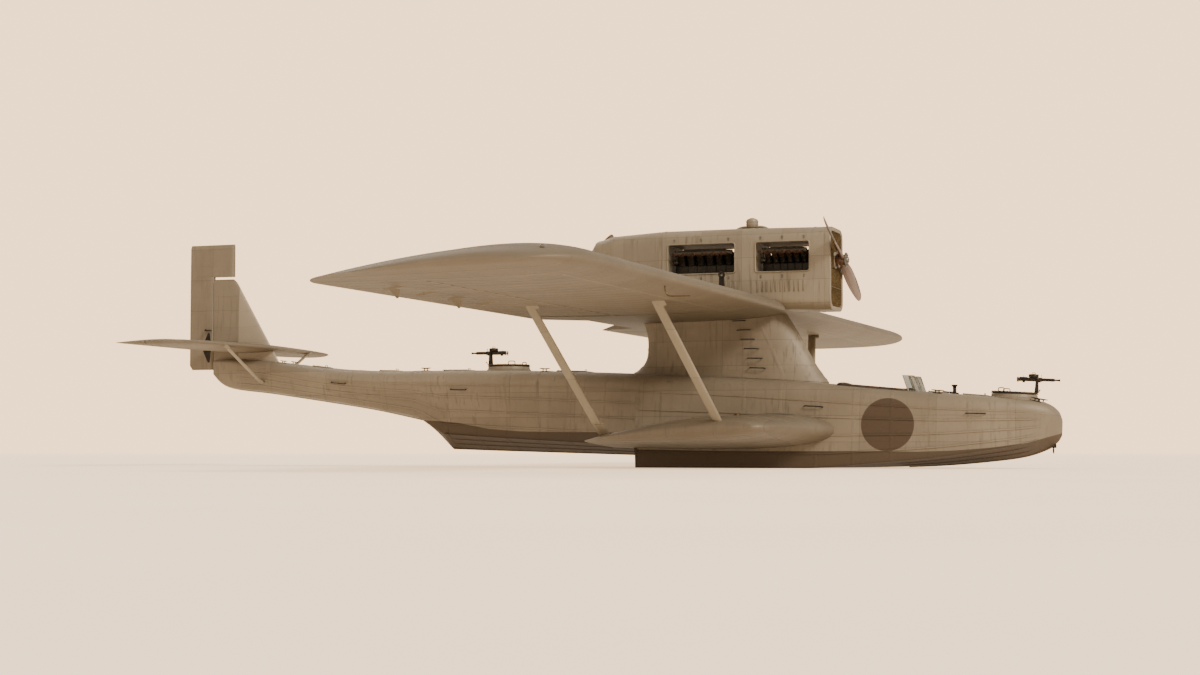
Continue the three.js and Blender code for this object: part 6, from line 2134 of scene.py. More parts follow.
def gun_works(ring):
    """Works, finned jacket, barrel with a flared muzzle, ribbed drum, pivot, sights and handle."""
    axes, origin = ring_axes(ring), ring_place(ring, GUN_PLACE)
    ahead, left, up = axes

    def at(x, y, z):
        return origin + np.array([x, y, z], float) @ axes

    blocks = [  # low corner, high corner, edge
        ([-0.298, -0.025, -0.036], [0.090, 0.025, 0.030], 0.006),
        ([-0.270, -0.028, -0.026], [0.040, 0.028, 0.020], 0.003),
        ([-0.296, -0.022, 0.026], [-0.165, 0.022, 0.038], 0.005),
        ([-0.120, -0.030, 0.018], [0.000, 0.030, 0.034], 0.004),
        ([0.030, -0.020, 0.026], [0.086, 0.020, 0.036], 0.004),
        ([-0.250, -0.012, -0.058], [-0.205, 0.012, -0.030], 0.005),
        ([-0.020, -0.020, -0.050], [0.060, 0.020, -0.034], 0.005),
        ([-0.306, -0.030, -0.040], [-0.292, 0.030, 0.034], 0.004),
    ]
    parts = [rounded_block(low, high, edge, 2, axes, origin) for low, high, edge in blocks]
    fins = np.linspace(0.086, 0.294, 41)
    jacket = np.c_[0.0245 + 0.0055 * (np.arange(41) // 2 % 2), fins]
    parts.append(turned(np.vstack([[[0.001, 0.080], [0.024, 0.080]], jacket,
                                   [[0.022, 0.300], [0.001, 0.300]]]), origin, ahead, 24))
    muzzle = [[0.001, 0.296], [0.017, 0.296], [0.015, 0.302], [0.0145, 0.352], [0.0135, 0.362],
              [0.017, 0.368], [0.021, 0.394], [0.0165, 0.395], [0.010, 0.380], [0.001, 0.380]]
    parts.append(turned(muzzle, origin, ahead, 20))
    drum = [[0.001, 0.032], [0.078, 0.032], [0.087, 0.037], [0.088, 0.050], [0.084, 0.053], [0.084, 0.057],
            [0.088, 0.060], [0.087, 0.076], [0.080, 0.086], [0.034, 0.088], [0.030, 0.094],
            [0.018, 0.097], [0.001, 0.098]]
    parts.append(turned(drum, at(DRUM["x"], 0, 0), up, 40))
    turn = full_turn(DRUM["ribs"])[:, None]
    out = np.cos(turn) * ahead + np.sin(turn) * left
    spread = np.stack([out, np.cross(up, out), np.broadcast_to(up, out.shape)], 1)
    parts.append(copies(rounded_block([0.036, -0.0028, 0.083], [0.080, 0.0028, 0.0905], 0.0014, 1),
                        np.broadcast_to(at(DRUM["x"], 0, 0), (DRUM["ribs"], 3)), spread))
    parts.append(handle(at(DRUM["x"] - 0.028, 0, 0.094), at(DRUM["x"] + 0.028, 0, 0.094), up, 0.022, 0.004))
    parts.append(rod(at(0, -0.054, 0), at(0, 0.054, 0), 0.010, 14, up))
    parts += [rod(at(-0.130, -0.026, 0.004), at(-0.130, -0.056, 0.004), 0.005, 8, up),
              rod(at(-0.130, -0.050, 0.004), at(-0.130, -0.064, 0.004), 0.010, 12, up)]
    turn = full_turn(28)
    for radius in (0.020, 0.009):
        loop = np.stack([0 * turn + 0.070, radius * np.cos(turn), 0.066 + radius * np.sin(turn)], -1)
        parts.append(bar(origin + loop @ axes, circle(0.0016, 6), ahead, looped=True))
    parts += [rod(at(0.070, 0, 0.034), at(0.070, 0, 0.0855), 0.0018, 6, ahead),
              rod(at(0.070, -0.020, 0.066), at(0.070, 0.020, 0.066), 0.0014, 6, up),
              rod(at(-0.235, 0, 0.036), at(-0.235, 0, 0.060), 0.003, 8, ahead, 0.0015),
              turned([[0.001, -0.004], [0.004, 0], [0.001, 0.004]], at(-0.235, 0, 0.062), up, 10)]
    for y in (-0.045, 0.045):
        parts.append(rod(at(-0.298, y, -0.012), at(-0.330, y, -0.012), 0.007, 10, up))
        parts.append(hex_heads([at(-0.330, y, z) for z in (-0.048, 0.030)], up, 0.008, 0.005))
    parts.append(rod(at(-0.300, -0.052, -0.012), at(-0.300, 0.052, -0.012), 0.009, 10, up))
    screws = [at(x, y, z) for x in (-0.25, -0.17, -0.06, 0.02)
              for y, z in ((0.028, 0.012), (0.028, -0.018))]
    parts.append(hex_heads(screws, left, 0.004, 0.002))
    parts.append(hex_heads([spot - 2 * left * 0.028 for spot in screws], -left, 0.004, 0.002))
    return parts


def gun_grips(ring):
    """Two upright wooden grips with a swell at mid height."""
    axes, origin = ring_axes(ring), ring_place(ring, GUN_PLACE)
    swell = [[0.001, -0.046], [0.009, -0.046], [0.0115, -0.036], [0.014, -0.012], [0.0145, 0.004],
             [0.012, 0.022], [0.009, 0.029], [0.001, 0.029]]
    return [turned(swell, origin + np.array([-0.330, y, 0]) @ axes, axes[2], 16) for y in (-0.045, 0.045)]


for name, ring in RINGS.items():
    body = f"gun_{name}"
    piece(f"gun_works_{name}", gun_works(ring), dark_iron, body, [body], sharp=38)
    piece(f"gun_grips_{name}", gun_grips(ring), board_wood, body, sharp=50)
report("guns")

# %% [markdown]
# Two pilots sit side by side on sheet-metal bucket seats, with slatted boards under their feet. The
# walls show the hull's frames from inside. All of it is plates, tubes and slats, so it is laid out
# from a few tables. A dark hole would pass from the beam, but not for anyone who looks down into it.

# %% Cockpit floor, walls and seats' metalwork
FLOOR = COCKPIT["floor"]
SEAT = {"x": 3.960, "apart": 0.300, "base": 0.014}
floor_wood = plain_finish("floor_wood", "varnished_wood", [(92, 72, 48), (136, 110, 76)], 6.0, 0.0, 0.7,
                          0.0008, stretch=(1, 12, 12))
slats = [rounded_block([3.636, y - 0.033, FLOOR + 0.0005], [4.715, y + 0.033, FLOOR + SEAT["base"]],
                       0.004, 1, origin=STEP)
         for y in np.arange(-0.5625, 0.57, 0.075)]


def wall_top(x, y):
    """The deck's height from the step over a place in the cockpit."""
    row = hull_rows_at(x)[0]
    return row[5] - CROWN * row[4] * (y / (row[4] - row[6])) ** 2 - 0.012


walls = []
for _, sign in SIDES:
    inner, outer = sorted((sign * 0.600, sign * 0.622))
    walls += [rounded_block([x - 0.011, inner, FLOOR], [x + 0.011, outer, wall_top(x, 0.61)],
                            0.004, 1, origin=STEP)
              for x in np.arange(3.72, 4.72, 0.2)]
    walls += [rounded_block([3.63, inner + 0.004, z - 0.010], [4.79, outer, z + 0.010],
                            0.004, 1, origin=STEP)
              for z in (0.92, 1.14, 1.36)]
for x, high in ((3.627, None), (4.793, 1.120)):
    walls += [rounded_block([x - 0.009, y - 0.011, FLOOR], [x + 0.009, y + 0.011, high or wall_top(x, y)],
                            0.004, 1, origin=STEP) for y in (-0.45, -0.15, 0.15, 0.45)]
piece("cockpit_boards", slats, floor_wood)
piece("cockpit_ribs", walls, sheet_metal)


def seat_metal(base):
    """Pan, cheeks with a rolled rim, a round-topped back and four braced legs, from the seat's foot."""
    parts = [rounded_block([-0.205, -0.214, 0.150], [0.232, 0.214, 0.162], 0.005, 2, origin=base)]
    cheek = np.array([[0.236, 0.165], [0.236, 0.285], [0.215, 0.322], [0.10, 0.352], [-0.05, 0.400],
                      [-0.14, 0.448], [-0.205, 0.456]])
    back = np.vstack([[[-0.216, 0.150], [0.216, 0.150]], arc([0.126, 0.716], 0.09, 0, 90),
                      arc([-0.126, 0.716], 0.09, 90, 180)])
    parts.append(plate(back, 0.006, base - AHEAD * 0.208, np.stack([PORT, UP, AHEAD])))
    hem = np.c_[np.full(len(back) - 2, -0.208), back[2:]]
    hem = np.vstack([[-0.208, 0.216, 0.44], hem, [-0.208, -0.216, 0.44]])
    parts.append(bar(base + hem, circle(0.010, 10), AHEAD))
    for sign in (1, -1):
        outline = np.vstack([cheek, [[-0.205, 0.150], [0.225, 0.150]]])
        parts.append(plate(outline, 0.006, base + PORT * sign * 0.216, np.stack([AHEAD, UP, PORT])))
        parts.append(pipe(base + np.c_[cheek[:, 0], np.full(7, sign * 0.216), cheek[:, 1]],
                          0.009, 8, upright=PORT))
        for way in (1, -1):
            top, foot = base + [way * 0.17, sign * 0.19, 0.152], base + [way * 0.19, sign * 0.205, 0.004]
            parts += [rod(foot, top, 0.012, 12),
                      rod(foot + UP * 0.012, top - AHEAD * way * 0.34, 0.007, 8, PORT)]
            parts.append(turned([[0.001, -0.004], [0.030, -0.004], [0.030, 0.002], [0.016, 0.008],
                                 [0.001, 0.008]], foot, UP, 16))
    return parts


seat_foot = {name: STEP + [SEAT["x"], sign * SEAT["apart"], FLOOR + SEAT["base"]] for name, sign in SIDES}
for name, _ in SIDES:
    piece(f"seat_frame_{name}", seat_metal(seat_foot[name]), sheet_metal,
          stands_for=["seat_" + name], sharp=40)
report("cockpit metalwork")

# %% [markdown]
# The cushions are hide over horsehair: fuller in the middle, pulled in at the corners, flat where they
# rest on metal, with sewn channels and a welt round the seam. Pushing vertices about never gives that
# fullness, so the pad starts small and cloth under pressure swells it. The channels and the welt come
# after, because the voxels of the remesh would erase them.

# %% Seat cushions
PADS = {  # half length, half width, rise, drop, height of what it rests on; centre from the seat's foot; axes
    "cushion": {"half": (0.192, 0.194), "rise": 0.052, "drop": 0.036, "rest": -0.044,
                "centre": (0.010, 0, 0.207), "axes": np.stack([AHEAD, PORT, UP])},
    "back": {"half": (0.195, 0.186), "rise": 0.036, "drop": 0.024, "rest": -0.028,
             "centre": (-0.176, 0, 0.500), "axes": np.stack([UP, -PORT, AHEAD])},
}
SWELL_CAP, CHANNEL = 0.016, {"pitch": 0.064, "width": 0.0055, "depth": 0.0075}


def pillow(half, rise, drop, power=5.0):
    """A superellipse in plan; over and under it the pad falls to the rim as the root of 1 - share**6."""
    turn = full_turn(72)
    reach = (np.abs(np.cos(turn) / half[0]) ** power
             + np.abs(np.sin(turn) / half[1]) ** power) ** (-1 / power)
    share = np.concatenate([[0.02], np.sin(np.linspace(0.1, np.pi / 2, 13))])
    full = np.sqrt(1 - share**6) * (0.88 + 0.12 * (1 - share**2))
    share, height = np.r_[share, share[-2::-1]], np.r_[-drop * full, rise * full[-2::-1]]
    flat = np.stack([reach * np.cos(turn), reach * np.sin(turn)], -1)
    return skin(np.concatenate([share[:, None, None] * flat,
                                np.broadcast_to(height[:, None, None], (27, 72, 1))], -1))


def coordinates(mesh):
    """A mesh's vertices as an (n, 3) array."""
    flat = np.empty(len(mesh.vertices) * 3, np.float32)
    mesh.vertices.foreach_get("co", flat)
    return flat.reshape(-1, 3).astype(float)


def baked(made):
    """A new mesh of an object with its modifiers applied."""
    mesh = bpy.data.meshes.new_from_object(made.evaluated_get(bpy.context.evaluated_depsgraph_get()))
    made.modifiers.clear()
    return mesh


def swollen(patch, rest):
    """The pad after twenty frames of cloth under pressure: moves capped, finer, flat at its rest."""
    made = bpy.data.objects.new("pad", closed_mesh("pad", [patch]))
    bpy.context.scene.collection.objects.link(made)
    even = made.modifiers.new("even", "REMESH")
    even.mode, even.voxel_size = "VOXEL", 0.006
    made.data = baked(made)
    start = coordinates(made.data)
    cloth = made.modifiers.new("cloth", "CLOTH")
    cloth.settings.use_pressure = True
    cloth.settings.uniform_pressure_force = 4.0
    cloth.settings.effector_weights.gravity = 0.0
    cloth.point_cache.frame_start, cloth.point_cache.frame_end = 1, 20
    for frame_number in range(1, 21):
        bpy.context.scene.frame_set(frame_number)
    moved = coordinates(made.evaluated_get(bpy.context.evaluated_depsgraph_get()).data) - start
    far = np.linalg.norm(moved, axis=1, keepdims=True)
    made.modifiers.clear()
    bpy.context.scene.frame_set(1)
    moved = moved * np.minimum(1, SWELL_CAP / np.maximum(far, 1e-9))
    made.data.vertices.foreach_set("co", (start + moved).ravel())
    finer = made.modifiers.new("finer", "SUBSURF")
    finer.levels = finer.render_levels = 1
    made.data = baked(made)
    mesh = made.data
    bpy.data.objects.remove(made)
    points = coordinates(mesh)
    points[:, 2] = np.maximum(points[:, 2], rest)
    return mesh, points


def channelled(points, half):
    """Sewn channels: a narrow bell-shaped groove at every pitch across the top, fading towards the rim."""
    off = np.abs((points[:, 1] / CHANNEL["pitch"] + 0.5) % 1 - 0.5) * CHANNEL["pitch"]
    inside = np.clip((half[0] * 0.92 - np.abs(points[:, 0])) / 0.03, 0, 1) * (points[:, 2] > 0)
    points[:, 2] -= CHANNEL["depth"] * inside * np.exp(-((off / CHANNEL["width"]) ** 2))
    return points


def welt_line(points, count=90):
    """The widest point in each of count even turns round the pad, evened out with its neighbours."""
    turn = (np.arctan2(points[:, 1], points[:, 0]) / (2 * np.pi) * count).astype(int) % count
    reach = np.linalg.norm(points[:, :2], axis=1)
    order = np.lexsort((reach, turn))
    line = points[order[np.searchsorted(turn[order], np.arange(count), side="right") - 1]]
    for _ in range(3):
        line = (np.roll(line, 1, 0) + 2 * line + np.roll(line, -1, 0)) / 4
    return line


pad_points = {}
for part, pad in PADS.items():
    mesh, points = swollen(pillow(pad["half"], pad["rise"], pad["drop"]), pad["rest"])
    seam = welt_line(points)
    points = pad_points[part] = channelled(points, pad["half"])
    for name, _ in SIDES:
        origin = seat_foot[name] + pad["centre"]
        copy = mesh.copy()
        copy.vertices.foreach_set("co", (origin + points @ pad["axes"]).astype(np.float32).ravel())
        made = piece(f"seat_{part}_{name}", copy, seat_hide, sharp=80)
        welt = bar(origin + seam @ pad["axes"], circle(0.0045, 8), pad["axes"][2], looped=True)
        piece(f"seat_{part}_welt_{name}", [welt], rim_hide, sharp=60)
    print(part, len(mesh.vertices), "points, top at", round(float(points[:, 2].max()), 3))

# %% [markdown]
# A lap belt lies over each cushion. It is flat webbing, which cloth under pressure would lose, so it is
# laid directly: each edge of the strap takes its height from the pad's nearest point below it.

# %% Belts
def pad_height(places):
    """The cushion's top under each (x, y) place: the height of its nearest vertex on the upper side."""
    points = pad_points["cushion"]
    points = points[points[:, 2] > 0]
    apart = np.linalg.norm(points[None, :, :2] - places[:, None], axis=-1)
    return points[np.argmin(apart, axis=1), 2]


def belt_strap(origin, sign, width=0.044):
    """A strap from the seat's corner to the buckle, as two edge lines that follow the cushion."""
    run = np.linspace(0, 1, 22)[:, None]
    middle = np.array([-0.155, sign * 0.196]) * (1 - run) + np.array([0.040, sign * 0.030]) * run
    across = unit(np.array([-sign * 0.195, -0.166]))  # nearly square to the strap
    edges = []
    for half in (-width / 2, width / 2):
        flat = middle + across * half
        edges.append(origin + np.c_[flat, pad_height(flat) + 0.002])
    return laid_strip(edges[0], edges[1], UP, 0.003, 0.001)


for name, _ in SIDES:
    origin = seat_foot[name] + PADS["cushion"]["centre"]
    piece(f"belt_{name}", [belt_strap(origin, sign) for sign in (1, -1)], webbing)
    top = float(pad_points["cushion"][:, 2].max())
    corner = np.array([[0.062, 0.030], [0.018, 0.030], [0.018, -0.030], [0.062, -0.030]])
    loop = np.repeat(corner, 2, 0) * np.tile([[1, 0.86], [0.98, 1]], (4, 1))
    buckle = [bar(origin + np.c_[loop, np.full(8, top + 0.004)], circle(0.0035, 8), UP, looped=True),
              rod(origin + [0.020, 0, top + 0.005], origin + [0.062, 0, top + 0.007], 0.003, 8),
              rounded_block([0.008, -0.020, top + 0.002], [0.026, 0.020, top + 0.007], 0.002,
                            1, origin=origin)]
    piece(f"buckle_{name}", buckle, brass, slot="dark_iron")
report("cushions and belts")

# %% [markdown]
# In front of each seat stand a wheel on a column and a pair of pedals, and the board with its dials
# crosses the cockpit. The wheel's rim is wood with finger notches. The dials carry ticks and a
# needle and no writing, each a small turned case with a lens.

# %% Wheels, pedals and levers
def control_wheel(y):
    """Wooden rim, and metal: hub, spokes, column; the wheel's face leans back towards the pilot."""
    foot, head = STEP + [SEAT["x"] + 0.520, y, FLOOR + 0.012], STEP + [SEAT["x"] + 0.470, y, FLOOR + 0.560]
    centre, lean = STEP + [SEAT["x"] + 0.440, y, FLOOR + 0.590], math.radians(25)
    face, up = np.array([-math.cos(lean), 0, math.sin(lean)]), np.array([math.sin(lean), 0, math.cos(lean)])
    turn = full_turn(96)
    ring = centre + 0.165 * (np.cos(turn)[:, None] * PORT + np.sin(turn)[:, None] * up)
    rim = bar(ring, circle(0.0125, 12), face, 1 - 0.06 * np.cos(24 * turn), looped=True)
    metal = [turned([[0.002, -0.030], [0.032, -0.030], [0.036, -0.010], [0.036, 0.010], [0.024, 0.018],
                     [0.014, 0.024], [0.002, 0.024]], centre, face, 24)]
    metal += [rod(centre + spoke * 0.030, centre + spoke * 0.160, 0.008, 8, face, 0.006)
              for spoke in (PORT, -PORT, up, -up)]
    metal += [rod(foot, head, 0.026, 16, AHEAD, 0.021), rod(head, centre, 0.018, 14),
              rounded_block([-0.03, -0.034, -0.04], [0.03, 0.034, 0.03], 0.012, 3, origin=head)]
    heights = np.linspace(0, 0.10, 21)
    boot = np.c_[0.062 - 0.3 * heights + 0.005 * (np.arange(21) % 2), heights]
    gaiter = turned(np.vstack([[0.002, -0.002], boot, [0.002, 0.10]]), foot, UP, 28)
    return rim, metal, gaiter


for name, sign in SIDES:
    rim, metal, gaiter = control_wheel(sign * SEAT["apart"])
    piece(f"wheel_rim_{name}", [rim], board_wood, stands_for=["control_wheel_" + name], sharp=60)
    piece(f"wheel_column_{name}", metal, steel)
    piece(f"column_boot_{name}", [gaiter], rubber)
levers = []
for _, sign in SIDES:
    y = sign * SEAT["apart"]
    levers.append(rod(STEP + [4.640, y - 0.17, FLOOR + 0.050],
                      STEP + [4.640, y + 0.17, FLOOR + 0.050], 0.012, 12))
    for way in (-1, 1):
        at = STEP + [4.640, y + way * 0.105, FLOOR + 0.050]
        levers += [rod(at, at + [-0.03, 0, 0.17], 0.010, 10),
                   rod(at + PORT * 0.02, at + PORT * 0.02 - UP * 0.05, 0.014, 10)]
        levers.append(rounded_block([-0.012, -0.045, -0.05], [0.004, 0.045, 0.06], 0.004, 2,
                                    np.array([[0.96, 0, 0.28], [0, 1, 0], [-0.28, 0, 0.96]]),
                                    at + [-0.036, 0, 0.19]))
levers.append(rounded_block([4.640, -0.062, FLOOR + 0.015], [4.744, 0.062, 1.125], 0.008, 2, origin=STEP))
for k, y in enumerate((-0.040, -0.014, 0.014, 0.040)):
    start, end = STEP + [4.665, y, 1.11], STEP + [4.600 + 0.01 * (k % 2), y, 1.225]
    knob = [[0.001, -0.014], [0.011, -0.010], [0.014, 0], [0.011, 0.010], [0.001, 0.014]]
    levers += [rod(start, end, 0.005, 8), turned(knob, end, unit(end - start), 14)]
piece("pedals_and_levers", levers, dark_iron)

# %% Instrument board
dial_black = plain_finish("dial_black", "dark_iron", [(18, 17, 15), (30, 28, 25)], 40.0, 0.0, 0.5, 0.0002)
dial_white = plain_finish("dial_white", "dark_iron", [(206, 198, 174), (224, 217, 196)],
                          30.0, 0.0, 0.6, 0.0001)
BOARD = {"x": 4.746, "low": 1.142, "high": 1.468, "half": 0.6175}
# Columns: y, z, radius, needle's angle in degrees
DIALS = [  # on the middle line and to port; the others mirror them
    (0.0, 1.375, 0.058, 60), (0.07, 1.215, 0.030, 20), (0.145, 1.372, 0.044, 130),
    (0.20, 1.222, 0.036, -60), (0.27, 1.368, 0.052, 200), (0.33, 1.222, 0.036, 80),
    (0.40, 1.366, 0.052, 150), (0.455, 1.220, 0.034, 10), (0.52, 1.360, 0.042, 250)]
cases, faces, marks, lenses = [], [], [], []
for y, z, radius, needle in DIALS + [(-y, *rest) for y, *rest in DIALS if y]:
    at, aft = STEP + [BOARD["x"], y, z], -AHEAD
    bezel = [[radius, -0.004], [radius + 0.008, -0.004], [radius + 0.008, 0.007],
             [radius + 0.004, 0.011], [radius, 0.009]]
    cases.append(turned(bezel, at, aft, 32, hollow=True))
    corner = np.radians([45, 135, 225, 315])
    screws = at + (radius + 0.013) * (np.cos(corner)[:, None] * PORT + np.sin(corner)[:, None] * UP)
    cases.append(hex_heads(screws, aft, 0.003, 0.002))
    faces.append(turned([[0.001, -0.002], [radius + 0.001, -0.002], [radius + 0.001, 0.0022],
                         [0.001, 0.0022]], at, aft, 32))
    turn = np.radians(np.arange(12) * 30.0)[:, None]
    out = np.cos(turn) * PORT + np.sin(turn) * UP
    axes = np.stack([out, np.cross(aft, out), np.broadcast_to(aft, out.shape)], 1)
    tick = rounded_block([radius * 0.74, -0.001, 0.002], [radius * 0.93, 0.001, 0.003], 0.0004, 1)
    marks.append(copies(tick, np.broadcast_to(at, (12, 3)), axes))
    away = math.cos(math.radians(needle)) * PORT + math.sin(math.radians(needle)) * UP
    marks += [bar([at + aft * 0.004 - away * radius * 0.2, at + aft * 0.004 + away * radius * 0.3,
                   at + aft * 0.004 + away * radius * 0.8],
                  circle(0.0011, 6), aft, [1.3, 1.2, 0.4]),
              turned([[0.001, 0.001], [0.004, 0.001], [0.003, 0.0055], [0.001, 0.0055]], at, aft, 12)]
    lenses.append(turned([[0.001, 0.0065], [radius, 0.0062], [radius, 0.0078],
                          [0.001, 0.0085]], at, aft, 32))
panel = rounded_block([BOARD["x"], -BOARD["half"], BOARD["low"]], [4.7985, BOARD["half"], BOARD["high"]],
                      0.007, 3, origin=STEP)
switches = [turned([[0.001, -0.002], [0.009, -0.002], [0.009, 0.003], [0.004, 0.005], [0.003, 0.022],
                    [0.004, 0.025], [0.001, 0.026]],
                   STEP + [BOARD["x"], y, 1.290], -AHEAD + UP * 0.5, 12)
            for y in np.arange(-0.585, 0.6, 0.13)]
piece("board_panel", [panel], board_wood, stands_for=["instrument_board"])
piece("dial_cases", cases + switches, brass)
piece("dial_faces", faces, dial_black)
piece("dial_marks", marks, dial_white)
piece("dial_lenses", lenses, glass)
report("controls and board")

# %% [markdown]
# The windscreens are flat panes in painted frames. Their solids are right as they stand, so they stay
# and only take a finish. The hoisting lugs and tail struts were plain solids, so new pieces stand for
# them: a lug with a bored eye on a bolted flange, and streamlined struts with cuffs.

# %% Windscreens, hoisting lugs and tail struts
for name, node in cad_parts.items():
    if name.startswith(("pane_", "windscreen_frame_")):
        node.material_slots[0].material = glass if name.startswith("pane_") else strut_paint

for name, sign in SIDES:
    lug_x, lug_y, eye_z = 1.580, sign * 0.900, 3.620
    share = (WING["lead_x"] - lug_x) / WING["chord"]
    foot = wing_point(share, 1, lug_y)
    rise = eye_z + STEP[2] - foot[2]
    blade = np.array([[-0.085, -0.02], [0.085, -0.02], [0.050, rise * 0.45], [0.045, rise - 0.035],
                      [-0.045, rise - 0.035], [-0.050, rise * 0.45]])
    eye = [[0.026, -0.018], [0.032, -0.026], [0.054, -0.026], [0.060, -0.018], [0.060, 0.018],
           [0.054, 0.026], [0.032, 0.026], [0.026, 0.018]]
    lug = [plate(blade, 0.034, foot, np.stack([AHEAD, UP, PORT]), 0.005),
           turned(eye, foot + UP * rise, PORT, 32, hollow=True),
           rounded_block([-0.12, -0.09, -0.03], [0.12, 0.09, 0.012], 0.006, 2, origin=foot)]
    rib_plan = np.array([[-0.075, 0.0], [0.075, 0.0], [0.018, rise * 0.5], [-0.018, rise * 0.5]])
    lug.append(plate(rib_plan, 0.012, foot, np.stack([PORT, UP, AHEAD])))
    lug.append(hex_heads([foot + [x, y, 0.010] for x in (-0.095, 0.095) for y in (-0.062, 0.062)],
                         UP, 0.012, 0.010))
    piece(f"hoist_lug_{name}", lug, dark_iron, stands_for=["hoist_eye_" + name])

    foot, head = STEP + [-8.050, sign * 0.180, 1.760], STEP + [-8.050, sign * 1.750, 2.505]
    along = unit(head - foot)
    parts = [strut(foot, head, 0.085, 0.42)]
    for point, way in ((foot + along * 0.10, 1), (head - along * 0.04, -1)):
        parts.append(bar([point, point + along * way * 0.12], foil_section(0.096, 0.5), AHEAD))
        out = unit(np.cross(along, AHEAD))
        parts += [rod(point + along * way * gap - out * 0.030,
                      point + along * way * gap + out * 0.030, 0.008, 6, AHEAD)
                  for gap in (0.03, 0.09)]
    piece(f"tail_strut_bar_{name}", parts, strut_paint, stands_for=["tail_strut_" + name])
report("lugs and tail struts")

# %% [markdown]
# The tail's fabric is tied to its ribs as the wing's is, so tapes go over every rib of the fixed and
# the moving surfaces. Each moving surface is pulled by horns that stand out of it near its hinge.

# %% Tail tapes and horns
def hinge_share(y):
    """The hinge line's share of the tailplane's chord, and that chord, at a place along the span."""
    lead, chord = tail_plan(y / TAIL["half"])
    return (lead - TAIL["hinge_x"]) / chord, chord


def tail_tape(y, start, end, side, width=0.026):
    """A strip along the tailplane's chord over one rib."""
    share = np.linspace(start, end, 26)
    low, high = (tail_point(share, side, y + half, 0.0) for half in (-width / 2, width / 2))
    return laid_strip(low, high, UP * side, 0.0018, 0.0012)


def level_tape(x, y, z, side, width=0.026):
    """A strip along a level section of the fin or the rudder, whose half widths are y at the places x."""
    edges = [from_step(x, side * y, z + step) for step in (-width / 2, width / 2)]
    return laid_strip(*edges, PORT * side, 0.0018, 0.004)


fixed, moving, fin_tapes, rudder_tapes = [], [], [], []
for y in (np.arange(10) + 0.5) * TAIL_PITCH:
    hinge_at, chord = hinge_share(y)
    for sign in (1, -1):
        for side in (1, -1):
            fixed.append(tail_tape(sign * y, 0.035, hinge_at - 0.110 / chord, side))
            if y > 0.4:
                moving.append(tail_tape(sign * y, hinge_at + 0.030 / chord, 0.98, side))
for z in (np.arange(7, 15) + 0.5) * TAIL_PITCH:
    for side in (1, -1):
        if z < FIN["top_z"] - 0.1:
            part = (z - FIN["root_z"]) / (FIN["top_z"] - FIN["root_z"])
            lead = FIN["root_x"] + (FIN["top_x"] - FIN["root_x"]) * part
            half = FIN["thick"] / 2 * (1 - 0.2 * part)
            x = np.linspace(lead - 0.04, RUDDER_HINGE_X + 0.085, 20)
            chord = lead - RUDDER_HINGE_X + FIN["behind"]
            out = half_thick(2 * half / chord, (lead - x) / chord) * chord
            fin_tapes.append(level_tape(x, out, z, side))
        horned = z > RUDDER["horn_z"]
        lead = RUDDER["horn_x"] if horned else RUDDER_HINGE_X + RUDDER["half"]
        share = np.linspace(0.085, 0.955, 20)
        run = lead - RUDDER["half"] - RUDDER["trail_x"]
        thin = horn_thin(z) if horned else 1
        rudder_tapes.append(level_tape(lead - RUDDER["half"] - share * run,
                                       (RUDDER["half"] - 0.057 * share) * thin, z, side))
horns = {"elevator": [], "rudder": []}
for way in (1, -1):
    for y in (-0.62, 0.62):
        arm = np.array([[0.02, way * 0.05], [-0.005, way * 0.29], [-0.045, way * 0.29],
                        [-0.16, way * 0.045]])
        at = hinge + PORT * y
        horns["elevator"].append(plate(arm, 0.010, at, np.stack([AHEAD, UP, PORT])))
        horns["elevator"].append(rod(at + [-0.025, -0.018, way * 0.270],
                                     at + [-0.025, 0.018, way * 0.270], 0.010, 10, UP))
    arm = np.array([[0.03, way * 0.04], [0.005, way * 0.25], [-0.035, way * 0.25], [-0.15, way * 0.04]])
    at = STEP + [RUDDER_HINGE_X, 0, 2.880]
    horns["rudder"].append(plate(arm, 0.010, at, np.stack([AHEAD, PORT, UP])))
    horns["rudder"].append(rod(at + [-0.015, way * 0.232, -0.018], at + [-0.015, way * 0.232, 0.018],
                               0.010, 10, AHEAD))
piece("tailplane_tapes", fixed, tape_paint, slot="tail_paint", sharp=45)
piece("elevator_tapes", moving, tape_paint, "elevator", slot="tail_paint", sharp=45)
piece("fin_tapes", fin_tapes, fin_paint, sharp=45)
piece("rudder_tapes", rudder_tapes, fin_paint, "rudder", sharp=45)
piece("elevator_horns", horns["elevator"], dark_iron, "elevator")
piece("rudder_horns", horns["rudder"], dark_iron, "rudder")
report("tail tapes and horns")

# %% [markdown]
# Last come the marks of use on wing, sponsons and cowling: rough walkways where mechanics tread,
# filler caps, round covers for inspection, toggle latches along the cowling, lamps at the tips and
# the tube that feels the airspeed. Each is small, and together they give the boat its scale.

# %% Walkways, caps, latches and lamps
walkway = plain_finish("walkway", "hull_paint", [(70, 61, 49), (96, 84, 67)], 90.0, 0.0, 0.92, 0.0015)


def cap_at(place, outward, radius):
    """A screwed cap with a bar to turn it by, on a flange with six heads."""
    outward = unit(np.asarray(outward, float))
    cap = [[0.001, -0.010], [radius, -0.010], [radius, 0.004], [radius * 0.74, 0.007],
           [radius * 0.70, 0.018], [radius * 0.60, 0.022], [0.001, 0.022]]
    angle = np.radians(np.arange(6) * 60)[:, None]
    across = unit(np.cross(outward, PORT))
    spots = place + radius * 0.87 * (np.cos(angle) * across + np.sin(angle) * PORT) + outward * 0.005
    bar_half = across * radius * 0.5
    return [turned(cap, place, outward, 28), hex_heads(spots, outward, 0.005, 0.004),
            rod(place - bar_half + outward * 0.024, place + bar_half + outward * 0.024, 0.006, 8, PORT)]


